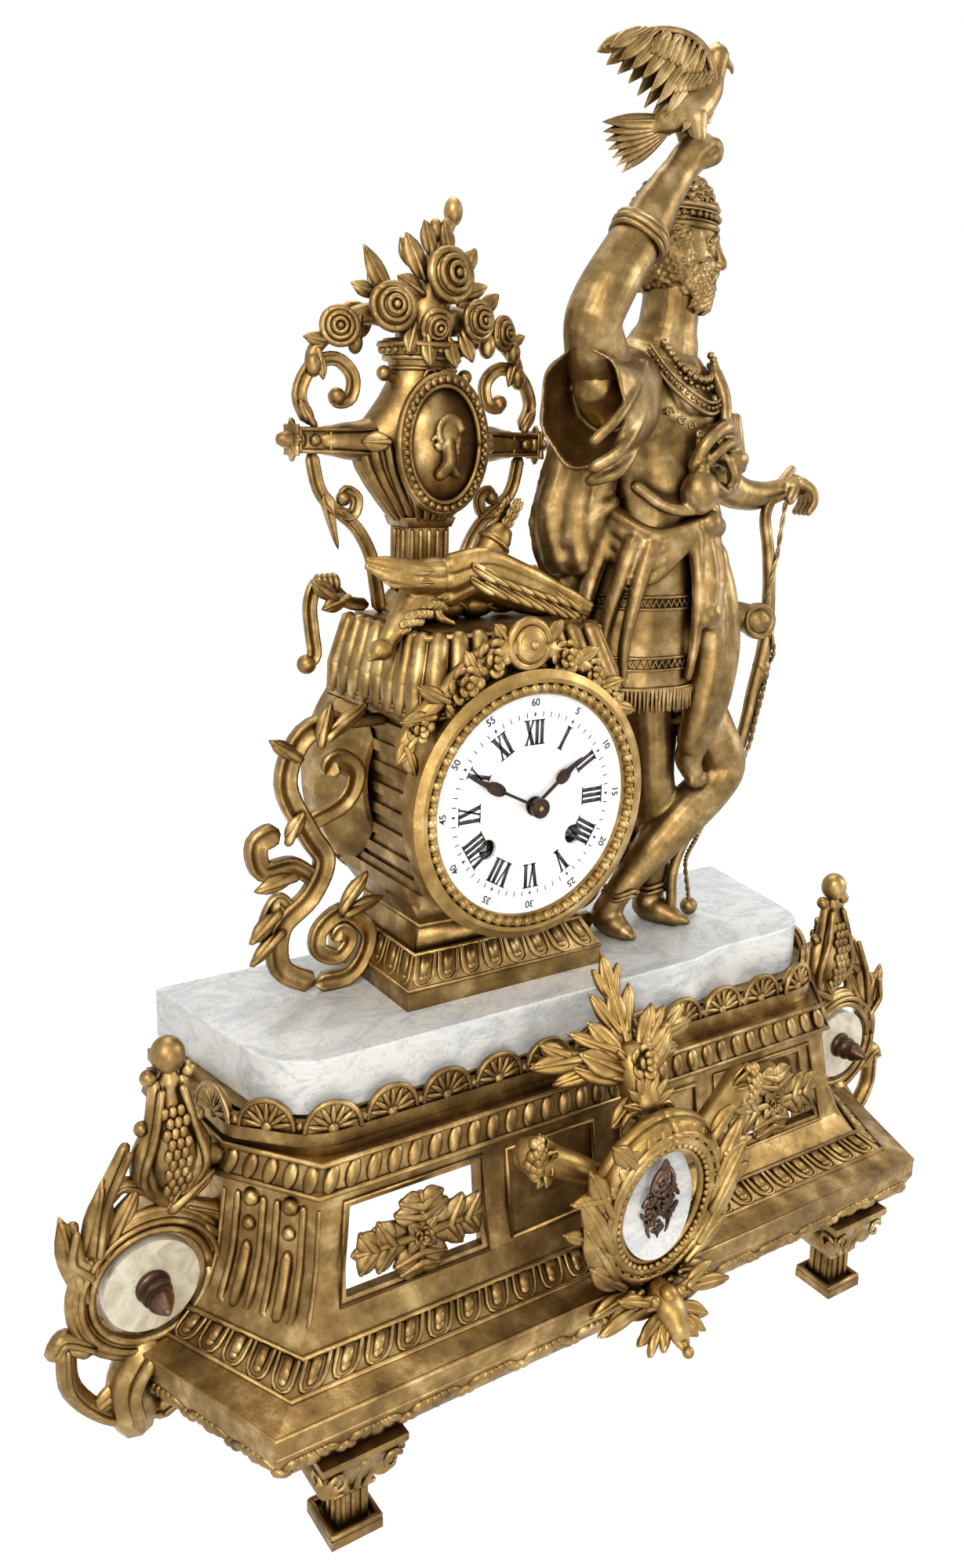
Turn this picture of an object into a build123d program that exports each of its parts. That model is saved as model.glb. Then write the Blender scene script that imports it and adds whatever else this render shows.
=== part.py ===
from build123d import *

import os
from math import atan2, cos, degrees, hypot, pi, sin, sqrt

# A gilt figural mantel clock: a pierced base on four feet, a marble slab, a round movement in a
# standing case with an urn on top, and an archer with a falcon. Millimetres, +Z up, front to -Y.
os.makedirs("parts", exist_ok=True)

# Reach of the whole clock ahead of and behind the datum plane that depths are measured from
FRONT_REACH = 122.0
BACK_REACH = 64.0
DATUM_Y = (FRONT_REACH - BACK_REACH) / 2

# Clearances shared by all pieces
RUNNING_CLEARANCE = 0.05
FREE_CLEARANCE = 0.3
OVERRUN = 5.0

# Base casting: plan of the nose line, and the wall of the casting
NOSE_X = 176.5
NOSE_Y = 91.7
END_X = 203.0
END_Y = 20.0
BASE_BACK = 57.0
BASE_BOTTOM = 46.0
BASE_TOP = 159.9
BASE_WALL = 4.5
RIM_WIDTH = 15.0
CORNER_RADIUS = 28.0
SHOULDER_RADIUS = 14.0
# Height and inset of each line of the skirt and of the concave body above it
SKIRT_INSET = 5.0
SKIRT_TOP = 58.0
SHELF_BOTTOM = 68.0
SHELF_TOP = 71.0
SHELF_INSET = 11.5
PANEL_FOOT = 78.0
PANEL_FOOT_INSET = 21.0
COVE_LOW = 88.0
COVE_LOW_INSET = 28.5
COVE_MIDDLE = 102.0
COVE_MIDDLE_INSET = 33.0
PANEL_TOP = 135.0
PANEL_TOP_INSET = 37.0
# Rounded band, throat and seat above the panels: end inset, front inset and height of each line
BAND_INSET = 34.5
BAND_TOP = 146.0
BAND_TOP_INSET = 37.5
THROAT_END_INSET = 40.0
THROAT_FRONT_INSET = 42.5
SEAT_LOW = 149.5
SEAT_TOP = 155.0
SEAT_END_INSET = 38.0
SEAT_FRONT_INSET = 44.0
BED_END_INSET = 43.5
BED_FRONT_INSET = 49.5
BACK_SPREAD = 6.0
# Trapezoid windows and their pierced leaf plaques
WINDOW_INNER_X = 69.0
WINDOW_OUTER_LOW_X = 133.0
WINDOW_OUTER_HIGH_X = 128.0
WINDOW_LOW = 91.0
WINDOW_HIGH = 126.0
PLAQUE_FACE = 62.0
PLAQUE_THICKNESS = 3.0
PLAQUE_LEAF_WIDTH = 17.0
PLAQUE_STUD_RADIUS = 2.6
PLAQUE_STUD_PROUD = 3.0
# Scalloped gallery rail in front of the slab
RAIL_END_INSET = 41.0
RAIL_FRONT_INSET = 47.0
RAIL_THICKNESS = 3.0
RAIL_HEIGHT = 4.0
RAIL_END_Y = 4.0
SCALLOP_COUNT = 15
SCALLOP_RADIUS = 10.6
SCALLOP_SINK = 1.0

# Marble slab
SLAB_TOP = 182.6
SLAB_FRONT = 40.5
SLAB_BACK = 57.6
SLAB_BACK_HALF = 166.0
SLAB_FRONT_HALF = 149.3
SLAB_STEP = 5.0
SLAB_STEP_START = 64.0
SLAB_STEP_END = 85.0
SLAB_EDGE = 0.8

# Feet: a square block, a fluted shaft, a neck and a spreading capital
FOOT_X = 139.5
FOOT_BACK_X = 176.0
FOOT_FRONT_Y = 73.75
FOOT_BACK_Y = 36.0
FOOT_BLOCK = 22.5
FOOT_BLOCK_HEIGHT = 4.0
FOOT_SHAFT = 13.6
FOOT_NECK_BOTTOM = 21.0
FOOT_NECK = 17.0
FOOT_NECK_TOP = 26.0
FOOT_CAPITAL = 37.0
FOOT_ABACUS = 3.0
VOLUTE_RADIUS = 6.0
VOLUTE_OFFSET = 11.5
VOLUTE_HEIGHT = 31.0
PAD_SIZE = 48.0
PAD_THICKNESS = 4.0
FOOT_SCREW_RADIUS = 2.0
FOOT_SCREW_DEPTH = 14.0
SCREW_HEAD_RADIUS = 4.0
SCREW_HEAD_HEIGHT = 3.0

# Case: plinth, waist, body, cap and drums, all about one centre line
CASE_X = -30.3
DIAL_Z = 271.5
PLINTH_HALF = 52.0
PLINTH_FRONT = 20.0
PLINTH_BACK = 57.0
PLINTH_FILLET_TOP = 193.0
PLINTH_TOP = 204.0
PLINTH_TOP_INSET = 7.5
PLINTH_WALL = 12.0
WAIST_INSET = 13.0
WAIST_MIDDLE = 215.0
LEDGE_BOTTOM = 228.0
LEDGE_TOP = 234.0
LEDGE_INSET = 5.5
CASE_HALF = 45.0
CASE_FRONT = 20.0
CASE_BACK = 56.0
CASE_WALL = 3.5
CASE_TOP = 309.0
PANEL_SINK = 1.5
PANEL_MARGIN = 8.0
REED_COUNT = 7
EAVE_OVERHANG = 7.3
EAVE_TOP = 313.0
CAP_SHOULDER = 322.0
CAP_SHOULDER_INSET = 2.5
CAP_TOP = 342.5
CAP_TOP_INSET = 9.0
CAP_PLATE_TOP = 345.5
CAP_PLATE_INSET = 6.5
CAP_WALL = 3.5
DRUM_RADIUS = 64.0
DRUM_NECK_RADIUS = 50.0
DRUM_START = 26.0
DRUM_FLARE_END = 46.0
DRUM_END = 60.0
DRUM_WALL = 2.5
DRUM_LIP_RADIUS = 48.0
DRUM_LIP = 2.5
DOOR_RADIUS = 50.0
DOOR_THICKNESS = 2.0
DOOR_HINGE_OFFSET = 53.5
HINGE_RADIUS = 1.6
HINGE_PIN_RADIUS = 0.8
HINGE_KNUCKLE = 10.0
HINGE_EAR = 5.0
DOOR_KNOB_RADIUS = 3.0

# Front drum with the beaded bezel, and the enamel dial behind its lip
BEZEL_RADIUS = 59.0
BEZEL_DRUM_RADIUS = 56.0
BEZEL_DRUM_WALL = 3.1
BEZEL_BACK = 20.0
BEZEL_RING_BACK = 30.0
BEZEL_FACE = 37.0
BEAD_RING_RADIUS = 51.4
BEAD_RADIUS = 2.1
BEAD_COUNT = 62
DIAL_OPENING = 48.4
DIAL_RADIUS = 50.4
DIAL_FACE = 34.0
DIAL_THICKNESS = 2.0
DIAL_CENTRE_HOLE = 3.3
WINDING_X = 22.3
WINDING_DROP = 16.5
WINDING_HOLE_RADIUS = 4.4
DIAL_FOOT_RADIUS = 1.5
DIAL_FOOT_CIRCLE = 34.0
RATING_HEIGHT = 51.4
RATING_RADIUS = 1.2
RATING_WHEEL_RADIUS = 3.5
RATING_WHEEL_WIDTH = 2.0

# Movement plates, depths measured back from the datum plane
FRONT_PLATE_FACE = -14.0
BACK_PLATE_FACE = 18.0
PLATE_THICKNESS = 2.0
PLATE_RADIUS = 44.0
PLATE_HALF_WIDTH = 40.5
PLATE_HALF_HEIGHT = 41.5
PILLAR_RADIUS = 3.0
PILLAR_X = 32.5
PILLAR_Z = 27.0
PILLAR_LOW_X = 8.0
PILLAR_LOW_Z = 37.0
PIVOT_RADIUS = 1.0
FINE_PIVOT_RADIUS = 0.5
ARBOR_RADIUS = 1.5

# Going train: module and teeth of each pair, and where each wheel stands from front to back
GREAT_TEETH = 60
GREAT_MODULE = 0.5
INTERMEDIATE_LEAVES = 10
INTERMEDIATE_TEETH = 60
INTERMEDIATE_MODULE = 0.47
CENTRE_LEAVES = 10
CENTRE_TEETH = 84
CENTRE_MODULE = 0.34
THIRD_LEAVES = 7
THIRD_TEETH = 70
THIRD_MODULE = 0.35
ESCAPE_LEAVES = 7
ESCAPE_TEETH = 48
ESCAPE_RADIUS = 9.0
ESCAPE_RISE = 21.5
PALLET_RISE = 33.5
WHEEL_WIDTH = 1.4
PINION_WIDTH = 4.0
BARREL_RADIUS = 13.6
BARREL_LENGTH = 15.0
BARREL_FACE = -9.0
WINDING_ARBOR_RADIUS = 2.6
WINDING_SQUARE = 3.4
WINDING_TIP = -30.6
WINDING_PIVOT_RADIUS = 1.8
INTERMEDIATE_FACE = 10.0
CENTRE_FACE = 14.2
THIRD_FACE = 5.0
ESCAPE_FACE = 0.0

# Motion work in front of the front plate, and the hands
CANNON_LEAVES = 12
MINUTE_WHEEL_TEETH = 36
MINUTE_LEAVES = 10
HOUR_TEETH = 40
MOTION_MODULE = 0.5
CANNON_FACE = -20.0
MINUTE_WHEEL_FACE = -19.0
HOUR_WHEEL_FACE = -22.8
CANNON_RADIUS = 2.0
HOUR_PIPE_RADIUS = 2.9
HOUR_HAND_FACE = -36.4
MINUTE_HAND_FACE = -38.4
HAND_THICKNESS = 0.8
HOUR_HAND_LENGTH = 30.5
MINUTE_HAND_LENGTH = 40.0
HOUR_HAND_ANGLE = 37.6
MINUTE_HAND_ANGLE = 153.3
HAND_STEM_WIDTH = 1.3
SPADE_WIDTH = 5.6
HAND_HUB_RADIUS = 4.3
HAND_NUT_HEIGHT = 2.4

# Pallets, crutch, pendulum, bell and hammer
PALLET_WIDTH = 2.0
PALLET_CLEARANCE = 1.0
PALLET_ARM = 2.4
CRUTCH_FACE = 22.0
CRUTCH_LENGTH = 34.0
CRUTCH_ROD = 1.6
PENDULUM_FACE = 26.5
PENDULUM_ROD = 2.0
PENDULUM_LENGTH = 97.0
BOB_RADIUS = 15.0
BOB_THICKNESS = 6.0
COCK_FACE = 30.8
COCK_THICKNESS = 3.0
COCK_HALF = 6.0
COCK_TOP_DROP = 12.0
BELL_RADIUS = 27.0
BELL_DEPTH = 13.0
BELL_WALL = 1.2
BELL_FACE = 36.5
BELL_BAR = 5.0
BELL_BAR_THICKNESS = 2.5
BELL_POST_X = 15.0
BELL_POST_DROP = 31.0
HAMMER_X = -26.0
HAMMER_DROP = 27.0
HAMMER_FACE = 41.0
HAMMER_HEAD_RADIUS = 3.5
HAMMER_HEAD_WIDTH = 7.0
HAMMER_GAP = 0.5
HAMMER_HEAD_ANGLE = 190.0

# Figure: where it stands on the slab and where its shoes are held
FIGURE_X = 66.0
FIGURE_Y = 4.0
FIGURE_HEIGHT = 365.0
SHOE_LEFT_OFFSET = -17.0
SHOE_RIGHT_OFFSET = 14.0

# Fixing rods through the slab under the case and the figure, with their nuts
ROD_RADIUS = 2.0
ROD_TAIL = 8.0
ROD_REACH = 9.0
NUT_RADIUS = 5.0
NUT_HEIGHT = 4.0

# Ring of sound holes in the rear door
SOUND_HOLE_COUNT = 8
SOUND_HOLE_RADIUS = 4.0

# Section of the bezel ring, and the form of its beads
BEZEL_ROLL = 3.6
BEZEL_LIP = 1.6
BEAD_TAPER = 25.0
BEAD_FOOT_SHARE = 0.92

# Teeth, leaves, spokes and hubs of the wheels, and the shoulders of their arbors
TOOTH_ROOT = 1.15
TOOTH_TIP = 0.85
TOOTH_SHARES = (-0.24, -0.08, 0.08, 0.24)
LEAF_SHARES = (-0.16, -0.05, 0.05, 0.16)
LEAF_LIMIT = 15
SPOKE_WIDTH = 1.6
RIM_DEPTH = 1.8
HUB_RADIUS = 3.2
MOTION_STUD_REACH = 6.0
SPRING_CORE_RADIUS = 4.0
PIVOT_SHOULDER_SHARE = 1.4
ESCAPE_TOOTH_SHARE = 0.2
ESCAPE_ROOT_SHARE = 0.9
PALLET_SPREAD_SHARE = 0.8

# Form of the bell, and the arm of the hammer
BELL_CROWN_SHARE = 0.4
BELL_SHOULDER_SHARE = 0.85
HAMMER_ARM = 2.0

# Spade hands, as shares of the length of each hand
SPADE_START_SHARE = 0.5
SPADE_SHARE = 0.6
SPADE_LENGTH_SHARE = 0.13
SPADE_TIP_SHARE = 0.9

# Side ornaments, with the onyx disc in each ring and the knob that holds it
SIDE_HEIGHT = 166.0
SIDE_DEPTH = 20.5
SIDE_THICKNESS = 8.0
RING_X = 196.8
RING_Z = 95.0
RING_RADIUS = 32.5
RING_HOLE = 22.5
STRAP_WIDTH = 11.0
STRAP_THICKNESS = 2.5
FINIAL_SHARE = 0.063
BALL_SHARE = 0.57
BALL_RADIUS = 6.4
DISC_RADIUS = 19.2
DISC_THICKNESS = 6.0
DISC_BOLT_RADIUS = 2.0
DISC_BOLT_CLEARANCE = 0.1
KNOB_RADIUS = 6.2
KNOB_COLLAR = 4.0
KNOB_LENGTH = 20.0
KNOB_WAIST_SHARE = 0.55

# Cartouche on the front of the base, leaning towards the front at its foot
CARTOUCHE_DEPTH = 95.0
CARTOUCHE_Z = 105.0
CARTOUCHE_TILT = 6.0
CARTOUCHE_HALF_WIDTH = 36.0
CARTOUCHE_HALF_HEIGHT = 41.0
CARTOUCHE_UNIT = 82.0
CARTOUCHE_RIM = 10.0
BOSS_HALF_WIDTH = 22.0
BOSS_HALF_HEIGHT = 20.0
POCKET_HALF_WIDTH = 20.0
POCKET_HALF_HEIGHT = 26.0
POCKET_DEPTH = 4.0
PLAQUE_DEPTH = 2.0
RELIEF_DEPTH = 1.6

# Scrolls at both sides of the case
SCROLL_HEIGHT = 126.4
SCROLL_DEPTH = 12.5
SCROLL_THICKNESS = 10.0
SCROLL_FOOT_IN = 56.7
SCROLL_FOOT_OUT = 75.2
SCROLL_FOOT_HEIGHT = 7.4
SCROLL_LUG_Z = 300.0
SCROLL_LUG_HEIGHT = 7.0
SCROLL_LUG_OUT = 61.7

# Urn above the cap with its stem, medallion, scrolls and bouquet
URN_X = -41.0
URN_Y = 46.0
URN_HEIGHT = 180.0
STEM_WIDTH = 24.0
STEM_DEPTH = 20.0
STEM_BASE_GROWTH = 5.0
STEM_BASE_HEIGHT = 5.0
STEM_TOP = 388.0
FLUTE_WIDTH = 1.6
FLUTE_COUNT = 5
MEDALLION_Z = 420.5
MEDALLION_FACE = 25.0
MEDALLION_THICKNESS = 5.0
MEDALLION_HALF_WIDTH = 23.0
MEDALLION_HALF_HEIGHT = 30.5
MEDALLION_RIM = 6.5
MEDALLION_SINK = 1.6
MEDALLION_BEAD = 1.5
MEDALLION_BEAD_COUNT = 40
PROFILE_DEPTH = 1.2
BAR_Z = 421.0
BAR_START = 28.0
BAR_END = 60.0
BAR_HEIGHT = 11.0
BAR_DEPTH = 9.0
ROSETTE_RADIUS = 8.5
ROSETTE_THICKNESS = 4.0
BUTTON_RADIUS = 3.0
BAR_REACH = 70.0
URN_SCROLL_DEPTH = 42.5
URN_SCROLL_THICKNESS = 7.0
BRACKET_DEPTH = 47.0
BRACKET_THICKNESS = 8.0

# Shoe soles, and the plates that the falcon's wing and tail are cut from
SOLE_DEPTH = 12.0
FALCON_DEPTH = 12.0
WING_THICKNESS = 3.0


def front(depth):
    """Upright plane facing the front, at a depth behind the datum plane."""
    return Plane(origin=(0, DATUM_Y + depth, 0), x_dir=(1, 0, 0), z_dir=(0, -1, 0))


def level(height):
    """Level plane at a height, with its origin on the datum plane."""
    return Plane(origin=(0, DATUM_Y, height), x_dir=(1, 0, 0), z_dir=(0, 0, 1))


def on_dial(depth, across=0.0, up=0.0):
    """Plane facing the front, centred on an arbor given from the dial's centre."""
    origin = (CASE_X + across, DATUM_Y + depth, DIAL_Z + up)
    return Plane(origin=origin, x_dir=(1, 0, 0), z_dir=(0, -1, 0))


def scaled(shares, unit, across=0.0, up=0.0):
    """Points given as shares of a size, moved to where the piece stands."""
    return [(across + unit * x, up + unit * z) for x, z in shares]


def mirrored(points):
    """The same points on the other side of the centre line, in the reverse order."""
    return [(-x, z) for x, z in reversed(points)]


def stationed(shares, origin, unit):
    """Rows of x, y, z and sizes given as shares of a unit, moved to an origin."""
    rows = []
    for x, y, z, *sizes in shares:
        place = (origin[0] + unit * x, DATUM_Y + origin[1] + unit * y, origin[2] + unit * z)
        rows.append(place + tuple(unit * size for size in sizes))
    return rows


def limb(stations, mode=Mode.ADD):
    """Round limb through stations of x, y, z and radius, with a ball at each station."""
    for start, end in zip(stations, stations[1:]):
        tail = Vector(*start[:3])
        tip = Vector(*end[:3])
        run = Plane(origin=tail, z_dir=tip - tail)
        with BuildSketch(run) as low:
            Circle(start[3])
        with BuildSketch(run.offset((tip - tail).length)) as high:
            Circle(end[3])
        loft([low.sketch, high.sketch], ruled=True, mode=mode)
    for x, y, z, radius in stations:
        with Locations((x, y, z)):
            Sphere(radius, mode=mode)


def ovals(rows, mode=Mode.ADD):
    """Body lofted through level ovals of centre x, y, z and two half widths."""
    sections = []
    for x, y, z, half_x, half_y in rows:
        with BuildSketch(Plane(origin=(x, y, z), x_dir=(1, 0, 0), z_dir=(0, 0, 1))) as section:
            Ellipse(half_x, half_y)
        sections.append(section.sketch)
    loft(sections, mode=mode)


def opposite(stations):
    """The same stations on the other side of the clock's middle plane."""
    return [(-x, *rest) for x, *rest in stations]


def casting(plane, strokes, depth, side=1, mode=Mode.ADD):
    """Openwork casting behind a plane: each stroke is a list of points, a width and an end width."""
    for points, width, end_width in strokes:
        path = [(side * x, z) for x, z in points]
        with BuildSketch(plane) as ribbon:
            with BuildLine() as run:
                Spline(*path)
            trace(run.line, width)
            with Locations(path[0]):
                Circle(width / 2)
            with Locations(path[-1]):
                Circle(end_width / 2)
        extrude(ribbon.sketch, amount=-depth, mode=mode)


# Base casting


def base_plan(end_inset, front_inset, back_line=BASE_BACK):
    """Plan of the base inside the nose line, as points from back left round to back right."""
    right = [
        (NOSE_X - end_inset, -(NOSE_Y - front_inset)),
        (END_X - end_inset, -END_Y),
        (END_X - end_inset + BACK_SPREAD, back_line),
    ]
    return mirrored(right) + right


def rounded_plan(end_inset, front_inset, back_line=BASE_BACK):
    """Plan of the base with its front corners and shoulders rounded."""
    points = base_plan(end_inset, front_inset, back_line)
    radii = [SHOULDER_RADIUS, CORNER_RADIUS, CORNER_RADIUS, SHOULDER_RADIUS]
    with BuildSketch() as plan:
        with BuildLine():
            FilletPolyline(*points, radius=radii)
            Line(points[-1], points[0])
        make_face()
    return plan.sketch


BODY_ROWS = [
    (BASE_BOTTOM, SKIRT_INSET),
    (SKIRT_TOP, 0.0),
    (SHELF_BOTTOM, 0.0),
    (SHELF_TOP, SHELF_INSET),
    (PANEL_FOOT, PANEL_FOOT_INSET),
    (COVE_LOW, COVE_LOW_INSET),
    (COVE_MIDDLE, COVE_MIDDLE_INSET),
    (PANEL_TOP, PANEL_TOP_INSET),
]
SEAT_ROWS = [
    (PANEL_TOP, BAND_INSET, BAND_INSET),
    (BAND_TOP, BAND_TOP_INSET, BAND_TOP_INSET),
    (BAND_TOP, THROAT_END_INSET, THROAT_FRONT_INSET),
    (SEAT_LOW, THROAT_END_INSET, THROAT_FRONT_INSET),
    (SEAT_LOW, SEAT_END_INSET, SEAT_FRONT_INSET),
    (SEAT_TOP, SEAT_END_INSET, SEAT_FRONT_INSET),
    (SEAT_TOP, BED_END_INSET, BED_FRONT_INSET),
    (BASE_TOP, BED_END_INSET, BED_FRONT_INSET),
]
FOOT_PLACES = [
    (-FOOT_X, -FOOT_FRONT_Y),
    (FOOT_X, -FOOT_FRONT_Y),
    (-FOOT_BACK_X, FOOT_BACK_Y),
    (FOOT_BACK_X, FOOT_BACK_Y),
]


def window_points(side):
    """Corners of a window, on the right where side is 1 and on the left where it is -1."""
    return [
        (side * WINDOW_INNER_X, WINDOW_LOW),
        (side * WINDOW_OUTER_LOW_X, WINDOW_LOW),
        (side * WINDOW_OUTER_HIGH_X, WINDOW_HIGH),
        (side * WINDOW_INNER_X, WINDOW_HIGH),
    ]


# Outer form of the base, before it is hollowed
with BuildPart() as base_outer:
    for (low, low_inset), (high, high_inset) in zip(BODY_ROWS, BODY_ROWS[1:]):
        with BuildSketch(level(low)):
            Polygon(*base_plan(low_inset, low_inset), align=None)
        with BuildSketch(level(high)):
            Polygon(*base_plan(high_inset, high_inset), align=None)
        loft(ruled=True)
    for lower, upper in zip(SEAT_ROWS[0::2], SEAT_ROWS[1::2]):
        for height, end_inset, front_inset in (lower, upper):
            with BuildSketch(level(height)):
                add(rounded_plan(end_inset, front_inset))
        loft(ruled=True)

with BuildPart() as base_casting:
    add(base_outer.part)
    # Hollow of the casting, open below and at the back
    for (low, low_inset), (high, high_inset) in zip(BODY_ROWS, BODY_ROWS[1:]):
        for height, inset in ((low, low_inset + BASE_WALL), (high, high_inset + BASE_WALL)):
            with BuildSketch(level(height)):
                Polygon(*base_plan(inset, inset, BASE_BACK + OVERRUN), align=None)
        loft(ruled=True, mode=Mode.SUBTRACT)
    well_points = base_plan(
        BED_END_INSET + RIM_WIDTH, BED_FRONT_INSET + RIM_WIDTH, BASE_BACK - RIM_WIDTH
    )
    with BuildSketch(level(PANEL_TOP)):
        Polygon(*well_points, align=None)
    extrude(amount=BASE_TOP - PANEL_TOP, mode=Mode.SUBTRACT)
    for side in (-1, 1):
        with BuildSketch(front(-NOSE_Y)):
            Polygon(*window_points(side), align=None)
        extrude(amount=-(NOSE_Y - END_Y), mode=Mode.SUBTRACT)
    # Pads that the feet are screwed to
    with BuildSketch(level(BASE_BOTTOM)):
        for x, y in FOOT_PLACES:
            with Locations((x, y)):
                Rectangle(PAD_SIZE, PAD_SIZE)
        Polygon(*base_plan(SKIRT_INSET, SKIRT_INSET), align=None, mode=Mode.INTERSECT)
        for x, y in FOOT_PLACES:
            with Locations((x, y)):
                Circle(FOOT_SCREW_RADIUS + FREE_CLEARANCE, mode=Mode.SUBTRACT)
    extrude(amount=PAD_THICKNESS)
base_casting.part.label = "base_casting"
export_step(base_casting.part, "parts/base_casting.step")

# Pierced leaf plaques in the windows
WINDOW_MIDDLE_X = (WINDOW_INNER_X + (WINDOW_OUTER_LOW_X + WINDOW_OUTER_HIGH_X) / 2) / 2
WINDOW_MIDDLE_Z = (WINDOW_LOW + WINDOW_HIGH) / 2
WINDOW_HALF_WIDTH = WINDOW_MIDDLE_X - WINDOW_INNER_X
WINDOW_HALF_HEIGHT = (WINDOW_HIGH - WINDOW_LOW) / 2
with BuildPart() as window_plaques:
    for side in (-1, 1):
        with BuildSketch(front(-PLAQUE_FACE)):
            with Locations((side * WINDOW_MIDDLE_X, WINDOW_MIDDLE_Z)):
                Ellipse(WINDOW_HALF_WIDTH, PLAQUE_LEAF_WIDTH / 2)
                Ellipse(PLAQUE_LEAF_WIDTH / 2, WINDOW_HALF_HEIGHT)
                Circle(PLAQUE_LEAF_WIDTH / 2 + PLAQUE_STUD_PROUD)
        extrude(amount=-PLAQUE_THICKNESS)
        with BuildSketch(front(-PLAQUE_FACE)):
            with Locations((side * WINDOW_MIDDLE_X, WINDOW_MIDDLE_Z)):
                Circle(PLAQUE_STUD_RADIUS)
        extrude(amount=PLAQUE_STUD_PROUD)
window_plaques.part.label = "window_plaques"
export_step(window_plaques.part, "parts/window_plaques.step")

# Scalloped gallery rail: a low band with a shell standing at each pitch
rail_points = base_plan(RAIL_END_INSET, RAIL_FRONT_INSET, RAIL_END_Y)
with BuildLine(level(SEAT_TOP)) as rail_line:
    FilletPolyline(*rail_points, radius=[SHOULDER_RADIUS, CORNER_RADIUS, CORNER_RADIUS, SHOULDER_RADIUS])
rail_wire = rail_line.wire()
with BuildPart() as gallery_rail:
    with BuildSketch(rail_wire.location_at(0, x_dir=(0, 0, 1))):
        with Locations((RAIL_HEIGHT / 2, 0)):
            Rectangle(RAIL_HEIGHT, RAIL_THICKNESS)
    sweep(path=rail_wire)
    for i in range(SCALLOP_COUNT):
        share = (i + 0.5) / SCALLOP_COUNT
        spot = rail_wire.position_at(share)
        along = rail_wire.tangent_at(share)
        shell_plane = Plane(origin=spot, x_dir=along, z_dir=along.cross(Vector(0, 0, 1)))
        with BuildSketch(shell_plane):
            with Locations((0, SCALLOP_SINK)):
                Circle(SCALLOP_RADIUS)
            with Locations((0, -SCALLOP_RADIUS)):
                Rectangle(SCALLOP_RADIUS * 2, SCALLOP_RADIUS * 2, mode=Mode.SUBTRACT)
        extrude(amount=RAIL_THICKNESS / 2, both=True)
gallery_rail.part.label = "gallery_rail"
export_step(gallery_rail.part, "parts/gallery_rail.step")

# Marble slab, its front stepped back at the right
slab_points = [
    (-SLAB_BACK_HALF, SLAB_BACK),
    (-SLAB_FRONT_HALF, -SLAB_FRONT),
    (SLAB_STEP_START, -SLAB_FRONT),
    (SLAB_STEP_END, -SLAB_FRONT + SLAB_STEP),
    (SLAB_FRONT_HALF, -SLAB_FRONT + SLAB_STEP),
    (SLAB_BACK_HALF, SLAB_BACK),
]
ROD_PLACES = [
    (CASE_X - PLINTH_HALF + PLINTH_WALL / 2, (PLINTH_BACK - PLINTH_FRONT) / 2),
    (CASE_X + PLINTH_HALF - PLINTH_WALL / 2, (PLINTH_BACK - PLINTH_FRONT) / 2),
    (FIGURE_X + SHOE_LEFT_OFFSET, FIGURE_Y),
    (FIGURE_X + SHOE_RIGHT_OFFSET, FIGURE_Y),
]
with BuildPart() as marble_slab:
    with BuildSketch(level(BASE_TOP)):
        with BuildLine():
            FilletPolyline(*slab_points, radius=[CORNER_RADIUS, SLAB_STEP, SLAB_STEP, CORNER_RADIUS])
            Line(slab_points[-1], slab_points[0])
        make_face()
        with Locations(*ROD_PLACES):
            Circle(ROD_RADIUS + FREE_CLEARANCE, mode=Mode.SUBTRACT)
    extrude(amount=SLAB_TOP - BASE_TOP)
    rims = marble_slab.faces().sort_by(Axis.Z)[-1].outer_wire().edges()
    chamfer(rims, length=SLAB_EDGE)
marble_slab.part.label = "marble_slab"
export_step(marble_slab.part, "parts/marble_slab.step")


def square_loft(low, low_size, high, high_size):
    """Frustum of a square plan between two heights."""
    sections = []
    for height, size in ((low, low_size), (high, high_size)):
        with BuildSketch(Plane.XY.offset(height)) as section:
            Rectangle(size, size)
        sections.append(section.sketch)
    loft(sections, ruled=True)


# Feet: block, fluted shaft, neck and a capital with two volutes on each side
with BuildPart() as one_foot:
    square_loft(0, FOOT_BLOCK, FOOT_BLOCK_HEIGHT, FOOT_BLOCK)
    square_loft(FOOT_BLOCK_HEIGHT, FOOT_SHAFT, FOOT_NECK_BOTTOM, FOOT_SHAFT)
    square_loft(FOOT_NECK_BOTTOM, FOOT_NECK, FOOT_NECK_TOP, FOOT_NECK)
    square_loft(FOOT_NECK_TOP, FOOT_NECK, BASE_BOTTOM - FOOT_ABACUS, FOOT_CAPITAL)
    square_loft(BASE_BOTTOM - FOOT_ABACUS, FOOT_CAPITAL, BASE_BOTTOM, FOOT_CAPITAL)
    with BuildSketch(Plane.XZ):
        with Locations((-VOLUTE_OFFSET, VOLUTE_HEIGHT), (VOLUTE_OFFSET, VOLUTE_HEIGHT)):
            Circle(VOLUTE_RADIUS)
    extrude(amount=FOOT_NECK / 2 + VOLUTE_RADIUS / 2, both=True)
    with BuildSketch(Plane.XY.offset(BASE_BOTTOM)):
        Circle(FOOT_SCREW_RADIUS)
    extrude(amount=-FOOT_SCREW_DEPTH, mode=Mode.SUBTRACT)
foot_shape = one_foot.part
with BuildPart(level(0)) as feet:
    with Locations(*[(x, y, 0) for x, y in FOOT_PLACES]):
        add(foot_shape)
feet.part.label = "feet"
export_step(feet.part, "parts/feet.step")

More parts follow.
